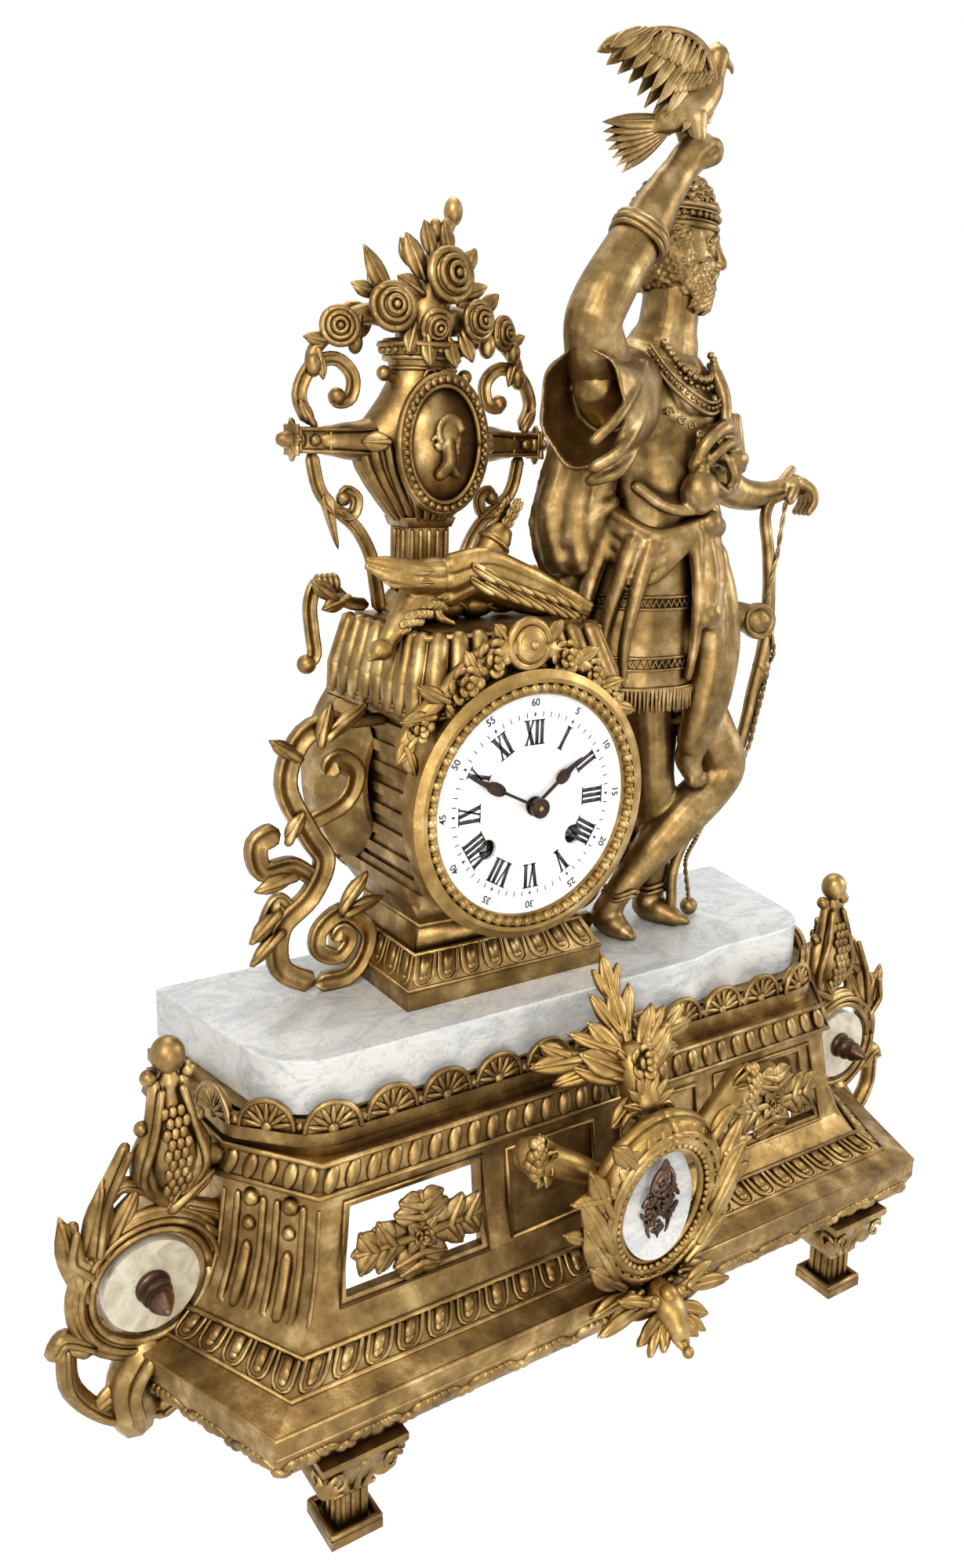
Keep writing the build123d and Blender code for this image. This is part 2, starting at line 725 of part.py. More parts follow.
# Screws that hold the feet, their heads on the pads inside the base
with BuildPart() as foot_screws:
    with BuildSketch(level(BASE_BOTTOM - FOOT_SCREW_DEPTH)):
        with Locations(*FOOT_PLACES):
            Circle(FOOT_SCREW_RADIUS)
    extrude(amount=FOOT_SCREW_DEPTH + PAD_THICKNESS)
    with BuildSketch(level(BASE_BOTTOM + PAD_THICKNESS)):
        with Locations(*FOOT_PLACES):
            Circle(SCREW_HEAD_RADIUS)
    extrude(amount=SCREW_HEAD_HEIGHT)
foot_screws.part.label = "foot_screws"
export_step(foot_screws.part, "parts/foot_screws.step")

# Rods through the slab, each with its nut below, that hold the case and the figure
with BuildPart() as fixing_rods:
    with BuildSketch(level(BASE_TOP - ROD_TAIL)):
        with Locations(*ROD_PLACES):
            Circle(ROD_RADIUS)
    extrude(amount=SLAB_TOP - BASE_TOP + ROD_TAIL + ROD_REACH)
    with BuildSketch(level(BASE_TOP)):
        with Locations(*ROD_PLACES):
            RegularPolygon(NUT_RADIUS, 6)
    extrude(amount=-NUT_HEIGHT)
fixing_rods.part.label = "fixing_rods"
export_step(fixing_rods.part, "parts/fixing_rods.step")

# Case


def case_block(low, low_inset, high, high_inset, mode=Mode.ADD):
    """Frustum about the case's centre line; an inset is measured in from the plinth's edge."""
    sections = []
    for height, inset in ((low, low_inset), (high, high_inset)):
        with BuildSketch(level(height)) as section:
            with Locations((CASE_X, (PLINTH_BACK - PLINTH_FRONT) / 2)):
                Rectangle(2 * (PLINTH_HALF - inset), PLINTH_FRONT + PLINTH_BACK - 2 * inset)
        sections.append(section.sketch)
    loft(sections, ruled=True, mode=mode)


with BuildPart() as case_plinth:
    case_block(SLAB_TOP, 0.0, PLINTH_FILLET_TOP, 0.0)
    case_block(PLINTH_FILLET_TOP, 0.0, PLINTH_TOP, PLINTH_TOP_INSET)
    case_block(SLAB_TOP, PLINTH_WALL, PLINTH_TOP, PLINTH_WALL + OVERRUN, mode=Mode.SUBTRACT)
    with BuildSketch(level(SLAB_TOP)):
        with Locations(*ROD_PLACES[:2]):
            Circle(ROD_RADIUS)
    extrude(amount=ROD_REACH, mode=Mode.SUBTRACT)
case_plinth.part.label = "case_plinth"
export_step(case_plinth.part, "parts/case_plinth.step")

body_middle_y = (CASE_BACK - CASE_FRONT) / 2
body_depth = CASE_FRONT + CASE_BACK
waist_opening = 2 * (PLINTH_HALF - WAIST_INSET - CASE_WALL)


def body_block(low, high, half, depth, mode=Mode.ADD):
    """Upright block about the middle of the case body."""
    with BuildSketch(level(low)) as block:
        with Locations((CASE_X, body_middle_y)):
            Rectangle(2 * half, depth)
    extrude(block.sketch, amount=high - low, mode=mode)


with BuildPart() as case_body:
    case_block(PLINTH_TOP, PLINTH_TOP_INSET + CASE_WALL / 2, WAIST_MIDDLE, WAIST_INSET)
    case_block(WAIST_MIDDLE, WAIST_INSET, LEDGE_BOTTOM, LEDGE_INSET)
    body_block(LEDGE_BOTTOM, LEDGE_TOP, CASE_HALF + PANEL_SINK, body_depth)
    body_block(LEDGE_TOP, CASE_TOP, CASE_HALF, body_depth)
    # Hollow for the movement, and the narrower well that the pendulum hangs in
    inner_depth = body_depth - 2 * CASE_WALL
    body_block(LEDGE_BOTTOM, CASE_TOP, CASE_HALF - CASE_WALL, inner_depth, mode=Mode.SUBTRACT)
    body_block(PLINTH_TOP, LEDGE_BOTTOM, waist_opening / 2, inner_depth - 4 * CASE_WALL, mode=Mode.SUBTRACT)
    # Sunk side panels that hold the reeds
    for side in (-1, 1):
        panel_origin = (CASE_X + side * CASE_HALF, DATUM_Y + body_middle_y, (LEDGE_TOP + CASE_TOP) / 2)
        panel_width = body_depth - 2 * PANEL_MARGIN
        panel_height = CASE_TOP - LEDGE_TOP - PANEL_MARGIN
        with BuildSketch(Plane(origin=panel_origin, x_dir=(0, 1, 0), z_dir=(side, 0, 0))):
            Rectangle(panel_width, panel_height)
        extrude(amount=-PANEL_SINK, mode=Mode.SUBTRACT)
        reed_pitch = panel_height / REED_COUNT
        with BuildSketch(Plane(origin=panel_origin, x_dir=(0, 1, 0), z_dir=(side, 0, 0))):
            with GridLocations(0, reed_pitch, 1, REED_COUNT):
                Rectangle(panel_width, reed_pitch / 2)
        extrude(amount=-PANEL_SINK)
    # Round openings for the movement, front and back
    for face_plane in (front(-CASE_FRONT), front(CASE_BACK - CASE_WALL)):
        with BuildSketch(face_plane):
            with Locations((CASE_X, DIAL_Z)):
                Circle(DIAL_RADIUS)
                Rectangle(2 * (CASE_HALF - CASE_WALL), 2 * DIAL_RADIUS, mode=Mode.INTERSECT)
        extrude(amount=-CASE_WALL, mode=Mode.SUBTRACT)
case_body.part.label = "case_body"
export_step(case_body.part, "parts/case_body.step")


def cap_block(low, low_out, high, high_out, mode=Mode.ADD, back_wall=0.0):
    """Frustum of the cap with an upright back; each offset is measured out from the case body."""
    sections = []
    for height, out in ((low, low_out), (high, high_out)):
        with BuildSketch(level(height)) as section:
            with Locations((CASE_X, CASE_BACK - back_wall)):
                depth = body_depth + min(out, 0.0) - back_wall
                Rectangle(2 * (CASE_HALF + out), depth, align=(Align.CENTER, Align.MAX))
        sections.append(section.sketch)
    loft(sections, ruled=True, mode=mode)


with BuildPart() as case_cap:
    cap_block(CASE_TOP, EAVE_OVERHANG, EAVE_TOP, EAVE_OVERHANG)
    cap_block(EAVE_TOP, EAVE_OVERHANG - CAP_SHOULDER_INSET, CAP_SHOULDER, CAP_SHOULDER_INSET)
    cap_block(CAP_SHOULDER, CAP_SHOULDER_INSET, CAP_TOP, -CAP_TOP_INSET)
    cap_block(CAP_TOP, -CAP_PLATE_INSET, CAP_PLATE_TOP, -CAP_PLATE_INSET)
    cap_block(CASE_TOP, -CASE_WALL, CAP_SHOULDER, -CASE_WALL, Mode.SUBTRACT, CASE_WALL)
    cap_block(
        CAP_SHOULDER, -CASE_WALL, CAP_TOP - CAP_WALL, -CAP_TOP_INSET - CAP_WALL, Mode.SUBTRACT, CASE_WALL
    )
    with BuildSketch(on_dial(-CASE_FRONT - OVERRUN, up=RATING_HEIGHT)):
        Circle(RATING_RADIUS + FREE_CLEARANCE)
    extrude(amount=-3 * OVERRUN, mode=Mode.SUBTRACT)
case_cap.part.label = "case_cap"
export_step(case_cap.part, "parts/case_cap.step")


def turned(points, mode=Mode.ADD):
    """Solid turned about the dial's axis from points of radius and depth behind the datum."""
    half_plane = Plane(origin=(CASE_X, DATUM_Y, DIAL_Z), x_dir=(1, 0, 0), z_dir=(0, 0, 1))
    with BuildSketch(half_plane) as half_section:
        Polygon(*points, align=None)
    revolve(half_section.sketch, axis=Axis((CASE_X, DATUM_Y, DIAL_Z), (0, 1, 0)), mode=mode)


with BuildPart() as rear_drum:
    turned(
        [
            (DRUM_NECK_RADIUS, DRUM_START),
            (DRUM_RADIUS, DRUM_FLARE_END),
            (DRUM_RADIUS, DRUM_END),
            (DRUM_LIP_RADIUS, DRUM_END),
            (DRUM_LIP_RADIUS, DRUM_END - DRUM_LIP),
            (DRUM_RADIUS - DRUM_WALL, DRUM_END - DRUM_LIP),
            (DRUM_RADIUS - DRUM_WALL, DRUM_FLARE_END),
            (DRUM_NECK_RADIUS - DRUM_WALL, DRUM_START),
        ]
    )
    # The case body and its cap stand inside the drum
    body_block(CAP_SHOULDER - 2 * DRUM_RADIUS - OVERRUN, EAVE_TOP, CASE_HALF, body_depth, mode=Mode.SUBTRACT)
    with BuildSketch(level(EAVE_TOP - OVERRUN)):
        with Locations((CASE_X, body_middle_y)):
            Rectangle(2 * (CASE_HALF + EAVE_OVERHANG), body_depth)
    extrude(amount=DRUM_RADIUS, mode=Mode.SUBTRACT)
    with BuildSketch(level(DIAL_Z - DRUM_RADIUS - OVERRUN)):
        with Locations((CASE_X, body_middle_y)):
            Rectangle(2 * PLINTH_HALF, body_depth + 2 * FREE_CLEARANCE)
    extrude(amount=LEDGE_TOP - DIAL_Z + DRUM_RADIUS + OVERRUN, mode=Mode.SUBTRACT)
    # Ears and pin of the door's hinge
    for side in (-1, 1):
        ear_middle = DIAL_Z + side * (HINGE_KNUCKLE + HINGE_EAR + FREE_CLEARANCE) / 2
        with BuildSketch(level(ear_middle - HINGE_EAR / 2 + FREE_CLEARANCE)):
            with Locations((CASE_X - DOOR_HINGE_OFFSET, DRUM_END + DOOR_THICKNESS)):
                Circle(HINGE_RADIUS)
                Rectangle(2 * HINGE_RADIUS, DOOR_THICKNESS, align=(Align.CENTER, Align.MAX))
        extrude(amount=HINGE_EAR - 2 * FREE_CLEARANCE)
    with BuildSketch(level(DIAL_Z - HINGE_KNUCKLE)):
        with Locations((CASE_X - DOOR_HINGE_OFFSET, DRUM_END + DOOR_THICKNESS)):
            Circle(HINGE_PIN_RADIUS)
    extrude(amount=2 * HINGE_KNUCKLE)
rear_drum.part.label = "rear_drum"
export_step(rear_drum.part, "parts/rear_drum.step")

# Round back door with sound holes, a knob and its hinge knuckle
with BuildPart() as rear_door:
    with BuildSketch(front(DRUM_END + FREE_CLEARANCE)):
        with Locations((CASE_X, DIAL_Z)):
            Circle(DOOR_RADIUS)
            with PolarLocations(DOOR_RADIUS / 2, SOUND_HOLE_COUNT):
                Circle(SOUND_HOLE_RADIUS, mode=Mode.SUBTRACT)
        with Locations((CASE_X - DOOR_HINGE_OFFSET, DIAL_Z)):
            Rectangle(DOOR_RADIUS / 2, HINGE_KNUCKLE, align=(Align.MIN, Align.CENTER))
    extrude(amount=-(DOOR_THICKNESS - FREE_CLEARANCE))
    with BuildSketch(level(DIAL_Z - HINGE_KNUCKLE / 2)):
        with Locations((CASE_X - DOOR_HINGE_OFFSET, DRUM_END + DOOR_THICKNESS)):
            Circle(HINGE_RADIUS)
    extrude(amount=HINGE_KNUCKLE)
    with BuildSketch(level(DIAL_Z - HINGE_KNUCKLE / 2)):
        with Locations((CASE_X - DOOR_HINGE_OFFSET, DRUM_END + DOOR_THICKNESS)):
            Circle(HINGE_PIN_RADIUS + RUNNING_CLEARANCE)
    extrude(amount=HINGE_KNUCKLE, mode=Mode.SUBTRACT)
    with BuildSketch(front(DRUM_END + DOOR_THICKNESS)):
        with Locations((CASE_X + DOOR_RADIUS - 2 * DOOR_KNOB_RADIUS, DIAL_Z)):
            Circle(DOOR_KNOB_RADIUS)
    extrude(amount=-(BACK_REACH - DRUM_END - DOOR_THICKNESS))
rear_door.part.label = "rear_door"
export_step(rear_door.part, "parts/rear_door.step")

# Front drum with its rolled ring, the bead seat and the lip in front of the dial
with BuildPart() as bezel_ring:
    turned(
        [
            (BEZEL_DRUM_RADIUS - BEZEL_DRUM_WALL, -BEZEL_BACK),
            (BEZEL_DRUM_RADIUS, -BEZEL_BACK),
            (BEZEL_DRUM_RADIUS, -BEZEL_RING_BACK),
            (BEZEL_RADIUS, -BEZEL_RING_BACK - BEZEL_ROLL / 2),
            (BEZEL_RADIUS, -BEZEL_FACE + BEZEL_ROLL / 2),
            (BEZEL_RADIUS - BEZEL_ROLL, -BEZEL_FACE),
            (BEAD_RING_RADIUS + BEAD_RADIUS, -BEZEL_FACE),
            (BEAD_RING_RADIUS + BEAD_RADIUS, -DIAL_FACE - BEZEL_LIP),
            (DIAL_OPENING, -DIAL_FACE - BEZEL_LIP),
            (DIAL_OPENING, -DIAL_FACE),
            (BEZEL_DRUM_RADIUS - BEZEL_DRUM_WALL, -DIAL_FACE),
        ]
    )
    for i in range(BEAD_COUNT):
        turn = pi / 2 + 2 * pi * i / BEAD_COUNT
        bead_x = CASE_X + BEAD_RING_RADIUS * cos(turn)
        bead_z = DIAL_Z + BEAD_RING_RADIUS * sin(turn)
        if i > 0:
            with BuildSketch(front(-DIAL_FACE - BEZEL_LIP)):
                with Locations((bead_x, bead_z)):
                    Circle(BEAD_RADIUS * BEAD_FOOT_SHARE)
            extrude(amount=BEAD_RADIUS, taper=BEAD_TAPER)
    with BuildSketch(on_dial(-BEZEL_FACE, up=RATING_HEIGHT)):
        Circle(BEAD_RADIUS * BEAD_FOOT_SHARE)
    extrude(amount=-(BEZEL_FACE - DIAL_FACE + OVERRUN), mode=Mode.SUBTRACT)
bezel_ring.part.label = "bezel_ring"
export_step(bezel_ring.part, "parts/bezel_ring.step")

# Enamel dial with its three feet
with BuildPart() as dial:
    with BuildSketch(on_dial(-DIAL_FACE)):
        Circle(DIAL_RADIUS)
        Circle(DIAL_CENTRE_HOLE, mode=Mode.SUBTRACT)
        with Locations((-WINDING_X, -WINDING_DROP), (WINDING_X, -WINDING_DROP)):
            Circle(WINDING_HOLE_RADIUS, mode=Mode.SUBTRACT)
        with Locations((0, RATING_HEIGHT)):
            Circle(BEAD_RADIUS * BEAD_FOOT_SHARE, mode=Mode.SUBTRACT)
    extrude(amount=-DIAL_THICKNESS)
    with BuildSketch(on_dial(-DIAL_FACE + DIAL_THICKNESS)):
        with PolarLocations(DIAL_FOOT_CIRCLE, 3, start_angle=90):
            Circle(DIAL_FOOT_RADIUS)
    extrude(amount=-(FRONT_PLATE_FACE + DIAL_FACE - DIAL_THICKNESS))
dial.part.label = "dial"
export_step(dial.part, "parts/dial.step")

# Movement: where each arbor stands, across and up from the dial's centre


def pitch(teeth, module):
    """Pitch radius of a wheel or pinion."""
    return teeth * module / 2


def meet(first, first_reach, second, second_reach):
    """Place of an arbor at set distances from two others, on the left of the line between them."""
    across, up = second[0] - first[0], second[1] - first[1]
    apart = hypot(across, up)
    along = (first_reach**2 - second_reach**2 + apart**2) / (2 * apart)
    aside = sqrt(first_reach**2 - along**2)
    x = first[0] + (along * across - aside * up) / apart
    z = first[1] + (along * up + aside * across) / apart
    return (x, z)


CENTRE = (0.0, 0.0)
GOING = (WINDING_X, -WINDING_DROP)
STRIKE = (-WINDING_X, -WINDING_DROP)
ESCAPE = (0.0, ESCAPE_RISE)
PALLET = (0.0, PALLET_RISE)
great_reach = pitch(GREAT_TEETH + INTERMEDIATE_LEAVES, GREAT_MODULE)
intermediate_reach = pitch(INTERMEDIATE_TEETH + CENTRE_LEAVES, INTERMEDIATE_MODULE)
centre_reach = pitch(CENTRE_TEETH + THIRD_LEAVES, CENTRE_MODULE)
third_reach = pitch(THIRD_TEETH + ESCAPE_LEAVES, THIRD_MODULE)
motion_reach = pitch(CANNON_LEAVES + MINUTE_WHEEL_TEETH, MOTION_MODULE)
hour_module = 2 * motion_reach / (MINUTE_LEAVES + HOUR_TEETH)
INTERMEDIATE = meet(CENTRE, intermediate_reach, GOING, great_reach)
THIRD = meet(CENTRE, centre_reach, ESCAPE, third_reach)
MOTION = (0.0, -motion_reach)


def heading(start, end):
    """Angle of the line from one arbor to another, in degrees."""
    return degrees(atan2(end[1] - start[1], end[0] - start[0]))


def toothed(place, face, width, teeth, module, aim, gap=False, mode=Mode.ADD):
    """Toothed disc with a tooth, or a gap, that points at the angle aim."""
    radius = pitch(teeth, module)
    root, tip = radius - TOOTH_ROOT * module, radius + TOOTH_TIP * module
    step = 360 / teeth
    offset = aim + (step / 2 if gap else 0)
    shares = LEAF_SHARES if teeth < LEAF_LIMIT else TOOTH_SHARES
    points = []
    for i in range(teeth):
        for share, reach in zip(shares, (root, tip, tip, root)):
            turn = (offset + step * (i + share)) * pi / 180
            points.append((reach * cos(turn), reach * sin(turn)))
    with BuildSketch(on_dial(face, *place)) as disc:
        Polygon(*points, align=None)
    extrude(disc.sketch, amount=-width, mode=mode)


def rod(place, start, end, radius, mode=Mode.ADD):
    """Round bar along the depth axis between two depths."""
    with BuildSketch(on_dial(start, *place)) as section:
        Circle(radius)
    extrude(section.sketch, amount=-(end - start), mode=mode)


def crossings(place, face, width, outer, inner, count=4):
    """Windows between the spokes of a wheel."""
    with BuildSketch(on_dial(face, *place)) as windows:
        Circle(outer)
        Circle(inner, mode=Mode.SUBTRACT)
        with PolarLocations(0, count):
            Rectangle(outer, SPOKE_WIDTH, align=(Align.MIN, Align.CENTER), mode=Mode.SUBTRACT)
    extrude(windows.sketch, amount=-width, mode=Mode.SUBTRACT)


PLATE_BACK = BACK_PLATE_FACE + PLATE_THICKNESS
PLATE_INSIDE = FRONT_PLATE_FACE + PLATE_THICKNESS
PILLARS = [
    (-PILLAR_X, PILLAR_Z),
    (PILLAR_X, PILLAR_Z),
    (-PILLAR_LOW_X, -PILLAR_LOW_Z),
    (PILLAR_LOW_X, -PILLAR_LOW_Z),
]


def movement_plate(face, holes):
    """Round plate with flattened sides and its pivot holes, each given as a place and a radius."""
    with BuildSketch(on_dial(face)) as plate:
        Circle(PLATE_RADIUS)
        Rectangle(2 * PLATE_HALF_WIDTH, 2 * PLATE_HALF_HEIGHT, mode=Mode.INTERSECT)
        for place, radius in holes:
            with Locations(place):
                Circle(radius + RUNNING_CLEARANCE, mode=Mode.SUBTRACT)
    extrude(plate.sketch, amount=-PLATE_THICKNESS)


with BuildPart() as front_plate:
    train_holes = [(place, PIVOT_RADIUS) for place in (INTERMEDIATE, PALLET)]
    train_holes += [(place, FINE_PIVOT_RADIUS) for place in (THIRD, ESCAPE)]
    winding_holes = [(place, WINDING_ARBOR_RADIUS) for place in (GOING, STRIKE)]
    movement_plate(FRONT_PLATE_FACE, train_holes + winding_holes + [(CENTRE, ARBOR_RADIUS)])
    rod(MOTION, MINUTE_WHEEL_FACE - MOTION_STUD_REACH, FRONT_PLATE_FACE, ARBOR_RADIUS)
front_plate.part.label = "front_plate"
export_step(front_plate.part, "parts/front_plate.step")

with BuildPart() as back_plate:
    back_holes = train_holes + [(CENTRE, PIVOT_RADIUS), ((HAMMER_X, -HAMMER_DROP), PIVOT_RADIUS)]
    back_holes += [(place, WINDING_PIVOT_RADIUS) for place in (GOING, STRIKE)]
    movement_plate(BACK_PLATE_FACE, back_holes)
    # Cock that the pendulum hangs from
    cock_top = PALLET_RISE + COCK_TOP_DROP
    with BuildSketch(on_dial(PLATE_BACK)) as cock_arm:
        with Locations((0, PLATE_HALF_HEIGHT - COCK_THICKNESS / 2)):
            Rectangle(2 * COCK_HALF, COCK_THICKNESS)
    extrude(cock_arm.sketch, amount=-(COCK_FACE + COCK_THICKNESS - PLATE_BACK))
    with BuildSketch(on_dial(COCK_FACE)) as cock_cheek:
        with Locations((0, PALLET_RISE - COCK_HALF)):
            Rectangle(2 * COCK_HALF, cock_top - PALLET_RISE + COCK_HALF, align=(Align.CENTER, Align.MIN))
        with Locations(PALLET):
            Circle(PIVOT_RADIUS + RUNNING_CLEARANCE, mode=Mode.SUBTRACT)
    extrude(cock_cheek.sketch, amount=-COCK_THICKNESS)
    # Standard that carries the bell
    bell_foot = (BELL_POST_X, -BELL_POST_DROP)
    bar_face = BELL_FACE - BELL_BAR_THICKNESS
    rod(bell_foot, PLATE_BACK, BELL_FACE, BELL_BAR / 2)
    with BuildSketch(on_dial(bar_face)) as bell_bar:
        with BuildLine():
            Line(bell_foot, CENTRE)
        trace(line_width=BELL_BAR)
        Circle(BELL_BAR / 2)
    extrude(bell_bar.sketch, amount=-BELL_BAR_THICKNESS)
back_plate.part.label = "back_plate"
export_step(back_plate.part, "parts/back_plate.step")

with BuildPart() as plate_pillars:
    for pillar in PILLARS:
        rod(pillar, PLATE_INSIDE, BACK_PLATE_FACE, PILLAR_RADIUS)
plate_pillars.part.label = "plate_pillars"
export_step(plate_pillars.part, "parts/plate_pillars.step")


def barrel(place, aim):
    """Spring barrel with its great wheel, bored for the winding arbor."""
    toothed(place, BARREL_FACE - WHEEL_WIDTH, WHEEL_WIDTH, GREAT_TEETH, GREAT_MODULE, aim)
    rod(place, BARREL_FACE, BARREL_FACE + BARREL_LENGTH, BARREL_RADIUS)
    hollow_end = BARREL_FACE + BARREL_LENGTH - WHEEL_WIDTH
    rod(place, BARREL_FACE, hollow_end, BARREL_RADIUS - WHEEL_WIDTH, mode=Mode.SUBTRACT)
    bore_radius = WINDING_ARBOR_RADIUS + RUNNING_CLEARANCE
    rod(place, BARREL_FACE - WHEEL_WIDTH, hollow_end + WHEEL_WIDTH, bore_radius, mode=Mode.SUBTRACT)


def winding_arbor(place):
    """Arbor through a barrel, with the square for the key at its front."""
    with BuildSketch(on_dial(WINDING_TIP, *place)) as square:
        Rectangle(WINDING_SQUARE, WINDING_SQUARE)
    extrude(square.sketch, amount=-(FRONT_PLATE_FACE - WINDING_TIP))
    rod(place, FRONT_PLATE_FACE - PLATE_THICKNESS, BACK_PLATE_FACE - FREE_CLEARANCE, WINDING_ARBOR_RADIUS)
    rod(place, BACK_PLATE_FACE - WHEEL_WIDTH, PLATE_BACK, WINDING_PIVOT_RADIUS)
    # Core that the mainspring hooks on to
    rod(place, BARREL_FACE + FREE_CLEARANCE, BARREL_FACE + BARREL_LENGTH / 2, SPRING_CORE_RADIUS)


with BuildPart() as going_barrel:
    barrel(GOING, heading(GOING, INTERMEDIATE))
going_barrel.part.label = "going_barrel"
export_step(going_barrel.part, "parts/going_barrel.step")

with BuildPart() as strike_barrel:
    barrel(STRIKE, heading(STRIKE, CENTRE))
strike_barrel.part.label = "strike_barrel"
export_step(strike_barrel.part, "parts/strike_barrel.step")

with BuildPart() as winding_arbor_going:
    winding_arbor(GOING)
winding_arbor_going.part.label = "winding_arbor_going"
export_step(winding_arbor_going.part, "parts/winding_arbor_going.step")

with BuildPart() as winding_arbor_strike:
    winding_arbor(STRIKE)
winding_arbor_strike.part.label = "winding_arbor_strike"
export_step(winding_arbor_strike.part, "parts/winding_arbor_strike.step")


def train_arbor(place, pivot_radius):
    """Arbor between the plates with a thinner pivot at each end."""
    rod(place, FRONT_PLATE_FACE, PLATE_BACK, pivot_radius)
    shoulder_radius = pivot_radius * PIVOT_SHOULDER_SHARE
    rod(place, PLATE_INSIDE + FREE_CLEARANCE, BACK_PLATE_FACE - FREE_CLEARANCE, shoulder_radius)


with BuildPart() as intermediate_wheel:
    train_arbor(INTERMEDIATE, PIVOT_RADIUS)
    wheel_aim = heading(INTERMEDIATE, CENTRE)
    pinion_face = BARREL_FACE - WHEEL_WIDTH - (PINION_WIDTH - WHEEL_WIDTH) / 2 + FREE_CLEARANCE
    toothed(
        INTERMEDIATE, pinion_face, PINION_WIDTH - 2 * FREE_CLEARANCE,
        INTERMEDIATE_LEAVES, GREAT_MODULE, heading(INTERMEDIATE, GOING), gap=True,
    )
    toothed(
        INTERMEDIATE, INTERMEDIATE_FACE, WHEEL_WIDTH,
        INTERMEDIATE_TEETH, INTERMEDIATE_MODULE, wheel_aim,
    )
    wheel_radius = pitch(INTERMEDIATE_TEETH, INTERMEDIATE_MODULE)
    crossings(INTERMEDIATE, INTERMEDIATE_FACE, WHEEL_WIDTH, wheel_radius - RIM_DEPTH, HUB_RADIUS)
intermediate_wheel.part.label = "intermediate_wheel"
export_step(intermediate_wheel.part, "parts/intermediate_wheel.step")

# Centre arbor with its wheel, pinion and the cannon pinion and pipe that carry the minute hand
with BuildPart() as centre_arbor:
    rod(CENTRE, CANNON_FACE, BACK_PLATE_FACE - FREE_CLEARANCE, ARBOR_RADIUS)
    rod(CENTRE, BACK_PLATE_FACE - WHEEL_WIDTH, PLATE_BACK, PIVOT_RADIUS)
    centre_pinion_face = INTERMEDIATE_FACE - (PINION_WIDTH - WHEEL_WIDTH) / 2
    toothed(
        CENTRE, centre_pinion_face, PINION_WIDTH,
        CENTRE_LEAVES, INTERMEDIATE_MODULE, heading(CENTRE, INTERMEDIATE), gap=True,
    )
    toothed(CENTRE, CENTRE_FACE, WHEEL_WIDTH, CENTRE_TEETH, CENTRE_MODULE, heading(CENTRE, THIRD))
    centre_wheel_radius = pitch(CENTRE_TEETH, CENTRE_MODULE)
    crossings(CENTRE, CENTRE_FACE, WHEEL_WIDTH, centre_wheel_radius - RIM_DEPTH, HUB_RADIUS)
    toothed(
        CENTRE, CANNON_FACE, PINION_WIDTH,
        CANNON_LEAVES, MOTION_MODULE, heading(CENTRE, MOTION), gap=True,
    )
    rod(CENTRE, MINUTE_HAND_FACE + HAND_THICKNESS, CANNON_FACE, CANNON_RADIUS)
    rod(CENTRE, MINUTE_HAND_FACE - HAND_NUT_HEIGHT, MINUTE_HAND_FACE + HAND_THICKNESS, PIVOT_RADIUS)
centre_arbor.part.label = "centre_arbor"
export_step(centre_arbor.part, "parts/centre_arbor.step")

with BuildPart() as third_wheel:
    train_arbor(THIRD, FINE_PIVOT_RADIUS)
    third_pinion_face = CENTRE_FACE - (PINION_WIDTH - WHEEL_WIDTH) / 2
    toothed(
        THIRD, third_pinion_face, PINION_WIDTH - 2 * FREE_CLEARANCE,
        THIRD_LEAVES, CENTRE_MODULE, heading(THIRD, CENTRE), gap=True,
    )
    toothed(THIRD, THIRD_FACE, WHEEL_WIDTH, THIRD_TEETH, THIRD_MODULE, heading(THIRD, ESCAPE))
    crossings(THIRD, THIRD_FACE, WHEEL_WIDTH, pitch(THIRD_TEETH, THIRD_MODULE) - RIM_DEPTH, HUB_RADIUS)
third_wheel.part.label = "third_wheel"
export_step(third_wheel.part, "parts/third_wheel.step")

with BuildPart() as escape_wheel:
    train_arbor(ESCAPE, FINE_PIVOT_RADIUS)
    toothed(
        ESCAPE, THIRD_FACE - (PINION_WIDTH - WHEEL_WIDTH) / 2, PINION_WIDTH,
        ESCAPE_LEAVES, THIRD_MODULE, heading(ESCAPE, THIRD), gap=True,
    )
    escape_points = []
    for i in range(ESCAPE_TEETH):
        for share, reach in ((0.0, ESCAPE_RADIUS), (ESCAPE_TOOTH_SHARE, ESCAPE_RADIUS * ESCAPE_ROOT_SHARE)):
            turn = 2 * pi * (i + share) / ESCAPE_TEETH
            escape_points.append((reach * cos(turn), reach * sin(turn)))
    with BuildSketch(on_dial(ESCAPE_FACE, *ESCAPE)):
        Polygon(*escape_points, align=None)
    extrude(amount=-WHEEL_WIDTH)
    crossings(ESCAPE, ESCAPE_FACE, WHEEL_WIDTH, ESCAPE_RADIUS * ESCAPE_ROOT_SHARE - RIM_DEPTH, HUB_RADIUS)
escape_wheel.part.label = "escape_wheel"
export_step(escape_wheel.part, "parts/escape_wheel.step")

